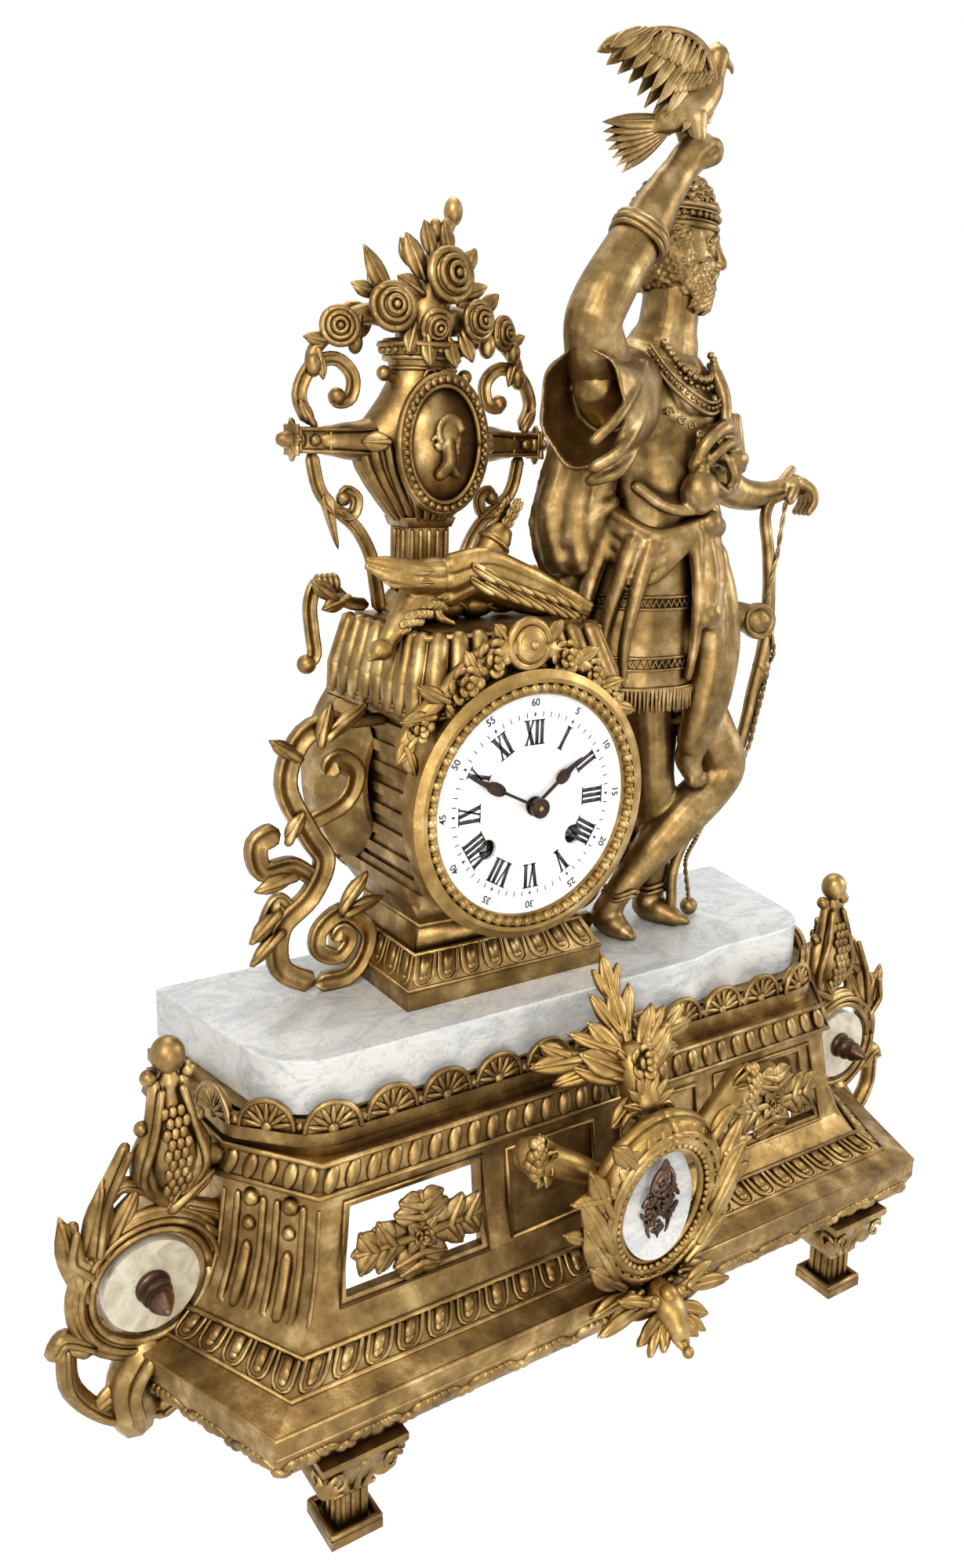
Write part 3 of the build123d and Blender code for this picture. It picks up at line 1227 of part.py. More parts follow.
# Anchor with its two pallets, on the arbor that also carries the crutch
with BuildPart() as pallet_crutch:
    rod(PALLET, FRONT_PLATE_FACE, CRUTCH_FACE + CRUTCH_ROD, PIVOT_RADIUS)
    pallet_reach = ESCAPE_RADIUS + PALLET_CLEARANCE
    with BuildSketch(on_dial(ESCAPE_FACE - FREE_CLEARANCE, *PALLET)):
        Circle(PALLET_ARM)
        for side in (-1, 1):
            pallet_x = side * pallet_reach * PALLET_SPREAD_SHARE
            pallet_z = ESCAPE_RISE - PALLET_RISE + pallet_reach * sqrt(1 - PALLET_SPREAD_SHARE**2)
            with BuildLine():
                Polyline(
                    (0, PALLET_ARM), (0, -PALLET_ARM / 4), (pallet_x, pallet_z),
                    (pallet_x + side * PALLET_ARM, pallet_z + PALLET_ARM / 2), (0, PALLET_ARM),
                )
            make_face()
    extrude(amount=-PALLET_WIDTH)
    with BuildSketch(on_dial(CRUTCH_FACE, *PALLET)):
        Circle(PALLET_ARM)
        Rectangle(CRUTCH_ROD, CRUTCH_LENGTH, align=(Align.CENTER, Align.MAX))
    extrude(amount=-CRUTCH_ROD)
    # Fork of the crutch, one prong on each side of the pendulum rod
    prong_x = PENDULUM_ROD / 2 + FREE_CLEARANCE + CRUTCH_ROD / 2
    with BuildSketch(on_dial(CRUTCH_FACE, *PALLET)):
        with Locations((0, -CRUTCH_LENGTH)):
            Rectangle(2 * prong_x + CRUTCH_ROD, CRUTCH_ROD)
    extrude(amount=-CRUTCH_ROD)
    with BuildSketch(on_dial(CRUTCH_FACE, *PALLET)):
        with Locations((-prong_x, -CRUTCH_LENGTH), (prong_x, -CRUTCH_LENGTH)):
            Rectangle(CRUTCH_ROD, CRUTCH_ROD)
    extrude(amount=-(PENDULUM_FACE + PENDULUM_ROD - CRUTCH_FACE))
pallet_crutch.part.label = "pallet_crutch"
export_step(pallet_crutch.part, "parts/pallet_crutch.step")

# Pendulum: hanging pin, rod and bob
with BuildPart() as pendulum:
    rod(PALLET, PENDULUM_FACE + PENDULUM_ROD / 2, COCK_FACE + COCK_THICKNESS, PIVOT_RADIUS)
    with BuildSketch(on_dial(PENDULUM_FACE, *PALLET)):
        Circle(PALLET_ARM)
        Rectangle(PENDULUM_ROD, PENDULUM_LENGTH, align=(Align.CENTER, Align.MAX))
    extrude(amount=-PENDULUM_ROD)
    bob_face = PENDULUM_FACE + PENDULUM_ROD / 2 - BOB_THICKNESS / 2
    with BuildSketch(on_dial(bob_face, 0.0, PALLET_RISE - PENDULUM_LENGTH)):
        Circle(BOB_RADIUS)
    extrude(amount=-BOB_THICKNESS)
pendulum.part.label = "pendulum"
export_step(pendulum.part, "parts/pendulum.step")

# Bell, its mouth to the back, with the screw that holds it to its standard
with BuildPart() as bell:
    turned(
        [
            (0, BELL_FACE),
            (BELL_RADIUS * BELL_CROWN_SHARE, BELL_FACE),
            (BELL_RADIUS * BELL_SHOULDER_SHARE, BELL_FACE + BELL_DEPTH * BELL_CROWN_SHARE),
            (BELL_RADIUS, BELL_FACE + BELL_DEPTH),
            (BELL_RADIUS - BELL_WALL, BELL_FACE + BELL_DEPTH),
            (BELL_RADIUS * BELL_SHOULDER_SHARE - BELL_WALL, BELL_FACE + BELL_DEPTH * BELL_CROWN_SHARE + BELL_WALL),
            (BELL_RADIUS * BELL_CROWN_SHARE - BELL_WALL, BELL_FACE + BELL_WALL),
            (0, BELL_FACE + BELL_WALL),
        ]
    )
    rod(CENTRE, BELL_FACE, BELL_FACE + BELL_BAR, BELL_BAR / 2)
bell.part.label = "bell"
export_step(bell.part, "parts/bell.step")

# Hammer on its arbor, its head just clear of the bell's rim
hammer_place = (HAMMER_X, -HAMMER_DROP)
head_reach = BELL_RADIUS + HAMMER_GAP + HAMMER_HEAD_RADIUS
head_turn = HAMMER_HEAD_ANGLE * pi / 180
hammer_head = (head_reach * cos(head_turn), head_reach * sin(head_turn))
with BuildPart() as hammer:
    rod(hammer_place, BACK_PLATE_FACE - PLATE_THICKNESS, HAMMER_FACE + HAMMER_ARM, PIVOT_RADIUS)
    with BuildSketch(on_dial(HAMMER_FACE)):
        with BuildLine():
            Line(hammer_place, hammer_head)
        trace(line_width=HAMMER_ARM)
        with Locations(hammer_place):
            Circle(HAMMER_ARM)
    extrude(amount=-HAMMER_ARM)
    rod(
        hammer_head, HAMMER_FACE + HAMMER_ARM / 2 - HAMMER_HEAD_WIDTH / 2,
        HAMMER_FACE + HAMMER_ARM / 2 + HAMMER_HEAD_WIDTH / 2, HAMMER_HEAD_RADIUS,
    )
hammer.part.label = "hammer"
export_step(hammer.part, "parts/hammer.step")

# Motion work
with BuildPart() as minute_wheel:
    toothed(
        MOTION, MINUTE_WHEEL_FACE, WHEEL_WIDTH,
        MINUTE_WHEEL_TEETH, MOTION_MODULE, heading(MOTION, CENTRE),
    )
    minute_pinion_end = MINUTE_WHEEL_FACE + FREE_CLEARANCE
    minute_pinion_start = HOUR_WHEEL_FACE - FREE_CLEARANCE
    toothed(
        MOTION, minute_pinion_start, minute_pinion_end - minute_pinion_start,
        MINUTE_LEAVES, hour_module, heading(MOTION, CENTRE), gap=True,
    )
    bore_end = MINUTE_WHEEL_FACE + WHEEL_WIDTH
    rod(MOTION, minute_pinion_start, bore_end, ARBOR_RADIUS + RUNNING_CLEARANCE, mode=Mode.SUBTRACT)
minute_wheel.part.label = "minute_wheel"
export_step(minute_wheel.part, "parts/minute_wheel.step")

with BuildPart() as hour_wheel:
    toothed(CENTRE, HOUR_WHEEL_FACE, WHEEL_WIDTH, HOUR_TEETH, hour_module, heading(CENTRE, MOTION))
    rod(CENTRE, HOUR_HAND_FACE, HOUR_WHEEL_FACE + WHEEL_WIDTH, HOUR_PIPE_RADIUS)
    pipe_bore = CANNON_RADIUS + RUNNING_CLEARANCE
    rod(CENTRE, HOUR_HAND_FACE, HOUR_WHEEL_FACE + WHEEL_WIDTH, pipe_bore, mode=Mode.SUBTRACT)
hour_wheel.part.label = "hour_wheel"
export_step(hour_wheel.part, "parts/hour_wheel.step")


def spade_hand(face, length, angle, hub_radius, bore_radius):
    """Spade hand pointing at an angle measured from the dial's right, with its hub and bore."""
    with BuildSketch() as outline:
        Circle(hub_radius)
        Rectangle(length * SPADE_START_SHARE, HAND_STEM_WIDTH, align=(Align.MIN, Align.CENTER))
        with Locations((length * SPADE_SHARE, 0)):
            Ellipse(length * SPADE_LENGTH_SHARE, SPADE_WIDTH / 2)
        Polygon(
            (length * SPADE_SHARE, SPADE_WIDTH / 3), (length * SPADE_SHARE, -SPADE_WIDTH / 3),
            (length * SPADE_TIP_SHARE, -HAND_STEM_WIDTH / 2), (length, 0),
            (length * SPADE_TIP_SHARE, HAND_STEM_WIDTH / 2),
            align=None,
        )
        Circle(bore_radius, mode=Mode.SUBTRACT)
    with BuildSketch(on_dial(face)) as hand:
        add(outline.sketch, rotation=angle)
    extrude(hand.sketch, amount=-HAND_THICKNESS)


with BuildPart() as hour_hand:
    spade_hand(HOUR_HAND_FACE, HOUR_HAND_LENGTH, HOUR_HAND_ANGLE, HAND_HUB_RADIUS, HOUR_PIPE_RADIUS)
hour_hand.part.label = "hour_hand"
export_step(hour_hand.part, "parts/hour_hand.step")

with BuildPart() as minute_hand:
    spade_hand(MINUTE_HAND_FACE, MINUTE_HAND_LENGTH, MINUTE_HAND_ANGLE, HAND_HUB_RADIUS / 2, PIVOT_RADIUS)
minute_hand.part.label = "minute_hand"
export_step(minute_hand.part, "parts/minute_hand.step")

with BuildPart() as hand_nut:
    rod(CENTRE, MINUTE_HAND_FACE - HAND_NUT_HEIGHT, MINUTE_HAND_FACE, HAND_HUB_RADIUS)
    rod(CENTRE, MINUTE_HAND_FACE - HAND_NUT_HEIGHT, MINUTE_HAND_FACE, PIVOT_RADIUS, mode=Mode.SUBTRACT)
hand_nut.part.label = "hand_nut"
export_step(hand_nut.part, "parts/hand_nut.step")

# Rating arbor in the bezel at twelve o'clock, with the small wheel above the pendulum's cock
with BuildPart() as rating_arbor:
    rod((0, RATING_HEIGHT), -BEZEL_FACE, COCK_FACE, RATING_RADIUS)
    rod((0, RATING_HEIGHT), COCK_FACE - RATING_WHEEL_WIDTH, COCK_FACE, RATING_WHEEL_RADIUS)
rating_arbor.part.label = "rating_arbor"
export_step(rating_arbor.part, "parts/rating_arbor.step")

# Side ornaments: ring, vase finial, leaves and scrolls, standing in one upright plane
SIDE_STROKE_SHARES = [
    ([(-0.06, 0.20), (-0.12, 0.28), (-0.185, 0.278)], 0.042, 0.055),
    ([(-0.10, 0.17), (-0.18, 0.12), (-0.215, 0.04)], 0.04, 0.06),
    ([(-0.02, 0.23), (0.05, 0.27), (0.09, 0.25)], 0.036, 0.045),
    ([(0.14, -0.12), (0.20, -0.08), (0.225, -0.10)], 0.05, 0.05),
    ([(-0.02, -0.36), (0.10, -0.33), (0.19, -0.22), (0.20, -0.10)], 0.05, 0.05),
    ([(-0.02, -0.36), (-0.12, -0.30), (-0.14, -0.15)], 0.06, 0.06),
    ([(0.05, -0.34), (0.06, -0.25), (0.02, -0.18)], 0.12, 0.10),
    ([(0.12, 0.13), (0.10, 0.24), (0.045, 0.36)], 0.07, 0.03),
    ([(0.14, 0.08), (0.18, 0.13), (0.17, 0.2)], 0.07, 0.03),
]
# Vase finial and its stem: half width and height of each line
SIDE_FINIAL_SHARES = [
    (0.04, 0.17), (0.04, 0.255), (0.025, 0.275), (0.075, 0.31), (0.105, 0.36),
    (0.085, 0.43), (0.045, 0.48), (0.032, 0.545),
]


def ring_plane(side, depth):
    """Plane facing the front with its origin on the middle of a side ring."""
    origin = (side * RING_X, DATUM_Y + depth, RING_Z)
    return Plane(origin=origin, x_dir=(1, 0, 0), z_dir=(0, -1, 0))


def side_ornament(side):
    """Side ornament, on the right where side is 1 and on the left where it is -1."""
    unit = SIDE_HEIGHT
    plane = ring_plane(side, -SIDE_DEPTH)
    with BuildSketch(plane) as finial:
        half = [(unit * x, unit * z) for x, z in SIDE_FINIAL_SHARES]
        with Locations((-side * unit * FINIAL_SHARE, 0)):
            Polygon(*(half + mirrored(half)), align=None)
    extrude(finial.sketch, amount=-SIDE_THICKNESS)
    ball_x = side * (RING_X - unit * FINIAL_SHARE)
    with Locations((ball_x, DATUM_Y - SIDE_DEPTH + SIDE_THICKNESS / 2, RING_Z + unit * BALL_SHARE)):
        Sphere(BALL_RADIUS)
    strokes = []
    for shares, width, end_width in SIDE_STROKE_SHARES:
        strokes.append((scaled(shares, unit), unit * width, unit * end_width))
    casting(plane, strokes, SIDE_THICKNESS, side)
    with BuildSketch(plane) as ring:
        Circle(RING_RADIUS)
    extrude(ring.sketch, amount=-SIDE_THICKNESS)
    with BuildSketch(plane) as hole:
        Circle(RING_HOLE)
    extrude(hole.sketch, amount=-SIDE_THICKNESS, mode=Mode.SUBTRACT)
    with BuildSketch(ring_plane(side, -SIDE_DEPTH + SIDE_THICKNESS - STRAP_THICKNESS)) as strap:
        Rectangle(STRAP_WIDTH, 2 * RING_RADIUS - STRAP_WIDTH)
        Circle(DISC_BOLT_RADIUS, mode=Mode.SUBTRACT)
    extrude(strap.sketch, amount=-STRAP_THICKNESS)
    add(base_outer.part, mode=Mode.SUBTRACT)


with BuildPart() as side_ornament_left:
    side_ornament(-1)
side_ornament_left.part.label = "side_ornament_left"
export_step(side_ornament_left.part, "parts/side_ornament_left.step")

with BuildPart() as side_ornament_right:
    side_ornament(1)
side_ornament_right.part.label = "side_ornament_right"
export_step(side_ornament_right.part, "parts/side_ornament_right.step")

# Onyx discs lie on the straps behind the rings, each held by the bolt of its knob
DISC_BACK = -SIDE_DEPTH + SIDE_THICKNESS - STRAP_THICKNESS
DISC_FACE = DISC_BACK - DISC_THICKNESS
with BuildPart() as onyx_discs:
    for side in (-1, 1):
        with BuildSketch(ring_plane(side, DISC_BACK)) as disc:
            Circle(DISC_RADIUS)
            Circle(DISC_BOLT_RADIUS + DISC_BOLT_CLEARANCE, mode=Mode.SUBTRACT)
        extrude(disc.sketch, amount=DISC_THICKNESS)
onyx_discs.part.label = "onyx_discs"
export_step(onyx_discs.part, "parts/onyx_discs.step")

with BuildPart() as disc_knobs:
    for side in (-1, 1):
        knob_plane = Plane(
            origin=(side * RING_X, DATUM_Y + DISC_FACE, RING_Z), x_dir=(1, 0, 0), z_dir=(0, 0, 1)
        )
        with BuildSketch(knob_plane) as knob:
            Polygon(
                (0, DISC_THICKNESS + STRAP_THICKNESS),
                (DISC_BOLT_RADIUS, DISC_THICKNESS + STRAP_THICKNESS),
                (DISC_BOLT_RADIUS, 0),
                (KNOB_RADIUS, 0),
                (KNOB_RADIUS, -KNOB_COLLAR),
                (KNOB_RADIUS * KNOB_WAIST_SHARE, -KNOB_COLLAR),
                (KNOB_RADIUS * KNOB_WAIST_SHARE, -2 * KNOB_COLLAR),
                (KNOB_RADIUS - DISC_BOLT_RADIUS / 2, -2 * KNOB_COLLAR),
                (0, -KNOB_LENGTH),
                align=None,
            )
        axis_start = (side * RING_X, DATUM_Y + DISC_FACE, RING_Z)
        revolve(knob.sketch, axis=Axis(axis_start, (0, 1, 0)))
disc_knobs.part.label = "disc_knobs"
export_step(disc_knobs.part, "parts/disc_knobs.step")

# Flower cone on the right of the cartouche, from the frame to its mouth
ARM_SHARES = [
    (0.3171, 0.1098, 0.2073, 0.0793),
    (0.5366, 0.1463, 0.3293, 0.1098),
    (0.7073, 0.1768, 0.4146, 0.1524),
    (0.7561, 0.1829, 0.439, 0.1341),
]
# Hub of the leaf crest
CREST_HUB_SHARES = [
    (0.0, 0.1829, 0.5, 0.122),
    (0.0, 0.3171, 0.7073, 0.122),
]
# Side leaf of the crest
CREST_LEAF_SHARES = [
    (0.0488, 0.2561, 0.5732, 0.1098),
    (0.2927, 0.3537, 0.7195, 0.0976),
    (0.4878, 0.4146, 0.7683, 0.0671),
    (0.5732, 0.4268, 0.7561, 0.0427),
]
# Top leaf of the crest
CREST_TOP_SHARES = [
    (0.0, 0.3171, 0.7073, 0.1341),
    (0.0, 0.4268, 0.8902, 0.1159),
    (0.0, 0.5244, 1.061, 0.0793),
    (0.0, 0.5732, 1.1463, 0.0427),
]
# Leaf pendant from the frame down to its tip
PENDANT_SHARES = [
    (0.0, -0.0488, -0.5183, 0.1134),
    (0.0, -0.122, -0.5488, 0.1402),
    (0.0, -0.2073, -0.6341, 0.1037),
    (0.0, -0.2927, -0.7073, 0.0366),
]
# Side leaf of the pendant
PENDANT_LEAF_SHARES = [
    (0.0244, -0.1098, -0.5244, 0.0976),
    (0.2195, -0.0976, -0.5122, 0.0854),
    (0.3659, -0.1098, -0.5366, 0.061),
    (0.4268, -0.122, -0.5488, 0.0427),
]
# Scrollwork on the cartouche plaque, right half, in its own plane
RELIEF_SHARES = [
    ([(0.0, -0.24), (0.06, -0.17), (0.1, -0.08), (0.05, 0.0), (0.0, 0.02)], 0.03, 0.04),
    ([(0.0, 0.02), (0.07, 0.06), (0.1, 0.14), (0.04, 0.18), (0.0, 0.25)], 0.03, 0.04),
    ([(0.0, -0.12), (0.13, -0.14), (0.17, -0.04)], 0.025, 0.035),
]
CARTOUCHE_CENTRE = (0.0, -CARTOUCHE_DEPTH, CARTOUCHE_Z)


def cartouche_plane(depth):
    """Leaning plane of the cartouche, at a depth behind its face."""
    face = Plane(origin=(0, DATUM_Y - CARTOUCHE_DEPTH, CARTOUCHE_Z), x_dir=(1, 0, 0), z_dir=(0, -1, 0))
    return face.rotated((-CARTOUCHE_TILT, 0, 0)).offset(-depth)


with BuildPart() as cartouche_frame:
    with BuildSketch(cartouche_plane(0)) as frame_face:
        Ellipse(CARTOUCHE_HALF_HEIGHT, CARTOUCHE_HALF_WIDTH, rotation=90)
    extrude(frame_face.sketch, amount=-CARTOUCHE_RIM)
    with BuildSketch(cartouche_plane(0)) as frame_boss:
        Ellipse(BOSS_HALF_WIDTH, BOSS_HALF_HEIGHT)
    extrude(frame_boss.sketch, amount=-CARTOUCHE_DEPTH / 2)
    flower_cone = stationed(ARM_SHARES, CARTOUCHE_CENTRE, CARTOUCHE_UNIT)
    limb(flower_cone)
    limb(opposite(flower_cone))
    with BuildSketch(cartouche_plane(0)) as pocket:
        Ellipse(POCKET_HALF_HEIGHT, POCKET_HALF_WIDTH, rotation=90)
    extrude(pocket.sketch, amount=-POCKET_DEPTH, mode=Mode.SUBTRACT)
    add(base_outer.part, mode=Mode.SUBTRACT)
cartouche_frame.part.label = "cartouche_frame"
export_step(cartouche_frame.part, "parts/cartouche_frame.step")

with BuildPart() as cartouche_plaque:
    with BuildSketch(cartouche_plane(POCKET_DEPTH)) as plaque_face:
        Ellipse(POCKET_HALF_HEIGHT, POCKET_HALF_WIDTH, rotation=90)
    extrude(plaque_face.sketch, amount=PLAQUE_DEPTH)
cartouche_plaque.part.label = "cartouche_plaque"
export_step(cartouche_plaque.part, "parts/cartouche_plaque.step")

with BuildPart() as cartouche_ornament:
    relief = []
    for shares, width, end_width in RELIEF_SHARES:
        points = scaled(shares, CARTOUCHE_UNIT)
        relief.append((points, CARTOUCHE_UNIT * width, CARTOUCHE_UNIT * end_width))
    relief_plane = cartouche_plane(POCKET_DEPTH - PLAQUE_DEPTH - RELIEF_DEPTH)
    casting(relief_plane, relief, RELIEF_DEPTH)
    casting(relief_plane, relief, RELIEF_DEPTH, -1)
cartouche_ornament.part.label = "cartouche_ornament"
export_step(cartouche_ornament.part, "parts/cartouche_ornament.step")

with BuildPart() as cartouche_crest:
    limb(stationed(CREST_HUB_SHARES, CARTOUCHE_CENTRE, CARTOUCHE_UNIT))
    limb(stationed(CREST_TOP_SHARES, CARTOUCHE_CENTRE, CARTOUCHE_UNIT))
    crest_leaf = stationed(CREST_LEAF_SHARES, CARTOUCHE_CENTRE, CARTOUCHE_UNIT)
    limb(crest_leaf)
    limb(opposite(crest_leaf))
    add(cartouche_frame.part, mode=Mode.SUBTRACT)
    add(base_outer.part, mode=Mode.SUBTRACT)
    add(marble_slab.part, mode=Mode.SUBTRACT)
    add(gallery_rail.part, mode=Mode.SUBTRACT)
cartouche_crest.part.label = "cartouche_crest"
export_step(cartouche_crest.part, "parts/cartouche_crest.step")

with BuildPart() as cartouche_pendant:
    limb(stationed(PENDANT_SHARES, CARTOUCHE_CENTRE, CARTOUCHE_UNIT))
    pendant_leaf = stationed(PENDANT_LEAF_SHARES, CARTOUCHE_CENTRE, CARTOUCHE_UNIT)
    limb(pendant_leaf)
    limb(opposite(pendant_leaf))
    add(cartouche_frame.part, mode=Mode.SUBTRACT)
    add(cartouche_plaque.part, mode=Mode.SUBTRACT)
    add(base_outer.part, mode=Mode.SUBTRACT)
cartouche_pendant.part.label = "cartouche_pendant"
export_step(cartouche_pendant.part, "parts/cartouche_pendant.step")

# Scrolls at both sides of the case: points as shares of the height from the case centre
CASE_SCROLL_SHARES = [
    (
        [
            (-0.49, 0.97), (-0.645, 0.93), (-0.715, 0.77), (-0.63, 0.58), (-0.575, 0.48),
            (-0.63, 0.36), (-0.74, 0.265), (-0.74, 0.12), (-0.615, 0.035),
        ],
        0.055, 0.055,
    ),
    (
        [
            (-0.615, 0.035), (-0.47, 0.045), (-0.405, 0.175), (-0.495, 0.28), (-0.59, 0.235),
            (-0.565, 0.15),
        ],
        0.05, 0.075,
    ),
    ([(-0.645, 0.62), (-0.5, 0.68), (-0.46, 0.78), (-0.53, 0.83), (-0.57, 0.78)], 0.045, 0.07),
    ([(-0.6, 0.41), (-0.695, 0.48), (-0.8, 0.48), (-0.82, 0.575), (-0.74, 0.61)], 0.045, 0.07),
    ([(-0.7, 0.32), (-0.75, 0.37), (-0.8, 0.28), (-0.785, 0.2)], 0.04, 0.03),
]


def case_scroll(side):
    """Scroll standing beside the case, on the left where side is 1 and on the right where it is -1."""
    plane = on_dial(SCROLL_DEPTH, up=SLAB_TOP - DIAL_Z)
    strokes = []
    for shares, width, end_width in CASE_SCROLL_SHARES:
        points = scaled(shares, SCROLL_HEIGHT)
        strokes.append((points, SCROLL_HEIGHT * width, SCROLL_HEIGHT * end_width))
    casting(plane, strokes, SCROLL_THICKNESS, side)
    with BuildSketch(plane) as blocks:
        with Locations((-side * (SCROLL_FOOT_IN + SCROLL_FOOT_OUT) / 2, SCROLL_FOOT_HEIGHT / 2)):
            Rectangle(SCROLL_FOOT_OUT - SCROLL_FOOT_IN, SCROLL_FOOT_HEIGHT)
        with Locations((-side * (CASE_HALF + SCROLL_LUG_OUT) / 2, SCROLL_LUG_Z - SLAB_TOP)):
            Rectangle(SCROLL_LUG_OUT - CASE_HALF, SCROLL_LUG_HEIGHT)
    extrude(blocks.sketch, amount=-SCROLL_THICKNESS)
    add(case_body.part, mode=Mode.SUBTRACT)
    add(case_plinth.part, mode=Mode.SUBTRACT)
    add(case_cap.part, mode=Mode.SUBTRACT)
    add(marble_slab.part, mode=Mode.SUBTRACT)


with BuildPart() as case_scroll_left:
    case_scroll(1)
case_scroll_left.part.label = "case_scroll_left"
export_step(case_scroll_left.part, "parts/case_scroll_left.step")

with BuildPart() as case_scroll_right:
    case_scroll(-1)
case_scroll_right.part.label = "case_scroll_right"
export_step(case_scroll_right.part, "parts/case_scroll_right.step")

# Garland over the bezel, as shares of the bezel radius
GARLAND_SHARES = [
    (-1.0119, -0.4576, 0.5508, 0.0847),
    (-0.8424, -0.4576, 0.7373, 0.1102),
    (-0.6051, -0.4746, 0.9407, 0.1271),
    (-0.3678, -0.4746, 1.0932, 0.1356),
    (-0.1136, -0.5085, 1.178, 0.178),
    (0.1746, -0.4746, 1.1102, 0.1441),
    (0.4288, -0.4746, 0.9915, 0.1271),
    (0.6492, -0.4576, 0.8051, 0.1102),
    (0.8695, -0.4576, 0.5678, 0.0847),
]
with BuildPart() as bezel_garland:
    limb(stationed(GARLAND_SHARES, (CASE_X, 0, DIAL_Z), BEZEL_RADIUS))
    add(bezel_ring.part, mode=Mode.SUBTRACT)
    add(case_body.part, mode=Mode.SUBTRACT)
    add(case_cap.part, mode=Mode.SUBTRACT)
bezel_garland.part.label = "bezel_garland"
export_step(bezel_garland.part, "parts/bezel_garland.step")

# Fluted stem of the urn
URN_PLACE = (URN_X, URN_Y, CAP_PLATE_TOP)
with BuildPart() as urn_stem:
    with BuildSketch(level(CAP_PLATE_TOP)) as stem_base:
        with Locations((URN_X, URN_Y)):
            Rectangle(STEM_WIDTH + STEM_BASE_GROWTH, STEM_DEPTH)
    extrude(stem_base.sketch, amount=STEM_BASE_HEIGHT)
    with BuildSketch(level(CAP_PLATE_TOP)) as stem_shaft:
        with Locations((URN_X, URN_Y)):
            Rectangle(STEM_WIDTH, STEM_DEPTH)
    extrude(stem_shaft.sketch, amount=STEM_TOP - CAP_PLATE_TOP)
    with BuildSketch(level(CAP_PLATE_TOP + 2 * STEM_BASE_HEIGHT)) as flutes:
        with Locations((URN_X, URN_Y - STEM_DEPTH / 2)):
            with GridLocations(STEM_WIDTH / FLUTE_COUNT, 0, FLUTE_COUNT, 1):
                Circle(FLUTE_WIDTH)
    extrude(flutes.sketch, amount=STEM_TOP - CAP_PLATE_TOP - 3 * STEM_BASE_HEIGHT, mode=Mode.SUBTRACT)
urn_stem.part.label = "urn_stem"
export_step(urn_stem.part, "parts/urn_stem.step")

# Urn as level ovals, from the stem to the lip
URN_BODY_SHARES = [
    (0.0, 0.0, 0.2361, 0.0778, 0.0667),
    (0.0, 0.0, 0.2806, 0.1056, 0.0778),
    (0.0, 0.0, 0.3583, 0.1667, 0.0944),
    (0.0, 0.0, 0.4194, 0.1889, 0.0972),
    (0.0, 0.0, 0.4861, 0.15, 0.0917),
    (0.0, 0.0, 0.5583, 0.0944, 0.0722),
    (0.0, 0.0, 0.6028, 0.0833, 0.0694),
    (0.0, 0.0, 0.6472, 0.1056, 0.0833),
]
# Tapering link from the urn to the arm bar
URN_LINK_SHARES = [
    (0.0, 0.0, 0.4194, 0.0611),
    (0.25, 0.0, 0.4194, 0.0333),
]
with BuildPart() as urn_body:
    ovals(stationed(URN_BODY_SHARES, URN_PLACE, URN_HEIGHT))
    link = stationed(URN_LINK_SHARES, (0, URN_Y, CAP_PLATE_TOP), URN_HEIGHT)
    limb([(URN_X + x, *rest) for x, *rest in link])
    limb([(URN_X - x, *rest) for x, *rest in link])
    add(urn_stem.part, mode=Mode.SUBTRACT)
urn_body.part.label = "urn_body"
export_step(urn_body.part, "parts/urn_body.step")

# Oval medallion with a beaded border and a plain classical profile
PROFILE_SHARES = [
    (-0.05, -0.36), (0.1, -0.3), (0.12, -0.16), (0.2, -0.02), (0.18, 0.16), (0.06, 0.27), (-0.08, 0.24),
    (-0.13, 0.12), (-0.18, 0.0), (-0.14, -0.03), (-0.15, -0.1), (-0.06, -0.14), (-0.03, -0.24),
]
with BuildPart() as urn_medallion:
    medallion_plane = Plane(
        origin=(URN_X, DATUM_Y + MEDALLION_FACE, MEDALLION_Z), x_dir=(1, 0, 0), z_dir=(0, -1, 0)
    )
    with BuildSketch(medallion_plane) as medallion_face:
        Ellipse(MEDALLION_HALF_HEIGHT, MEDALLION_HALF_WIDTH, rotation=90)
    extrude(medallion_face.sketch, amount=-MEDALLION_THICKNESS)
    with BuildSketch(medallion_plane) as medallion_field:
        Ellipse(
            MEDALLION_HALF_HEIGHT - MEDALLION_RIM, MEDALLION_HALF_WIDTH - MEDALLION_RIM, rotation=90
        )
    extrude(medallion_field.sketch, amount=-MEDALLION_SINK, mode=Mode.SUBTRACT)
    with BuildSketch(medallion_plane.offset(-MEDALLION_SINK)) as profile:
        Polygon(*scaled(PROFILE_SHARES, 2 * MEDALLION_HALF_WIDTH), align=None)
    extrude(profile.sketch, amount=PROFILE_DEPTH)
    for i in range(MEDALLION_BEAD_COUNT):
        turn = 2 * pi * i / MEDALLION_BEAD_COUNT
        bead_x = URN_X + (MEDALLION_HALF_WIDTH - MEDALLION_RIM / 2) * cos(turn)
        bead_z = MEDALLION_Z + (MEDALLION_HALF_HEIGHT - MEDALLION_RIM / 2) * sin(turn)
        with Locations((bead_x, DATUM_Y + MEDALLION_FACE, bead_z)):
            Sphere(MEDALLION_BEAD)
    add(urn_body.part, mode=Mode.SUBTRACT)
urn_medallion.part.label = "urn_medallion"
export_step(urn_medallion.part, "parts/urn_medallion.step")

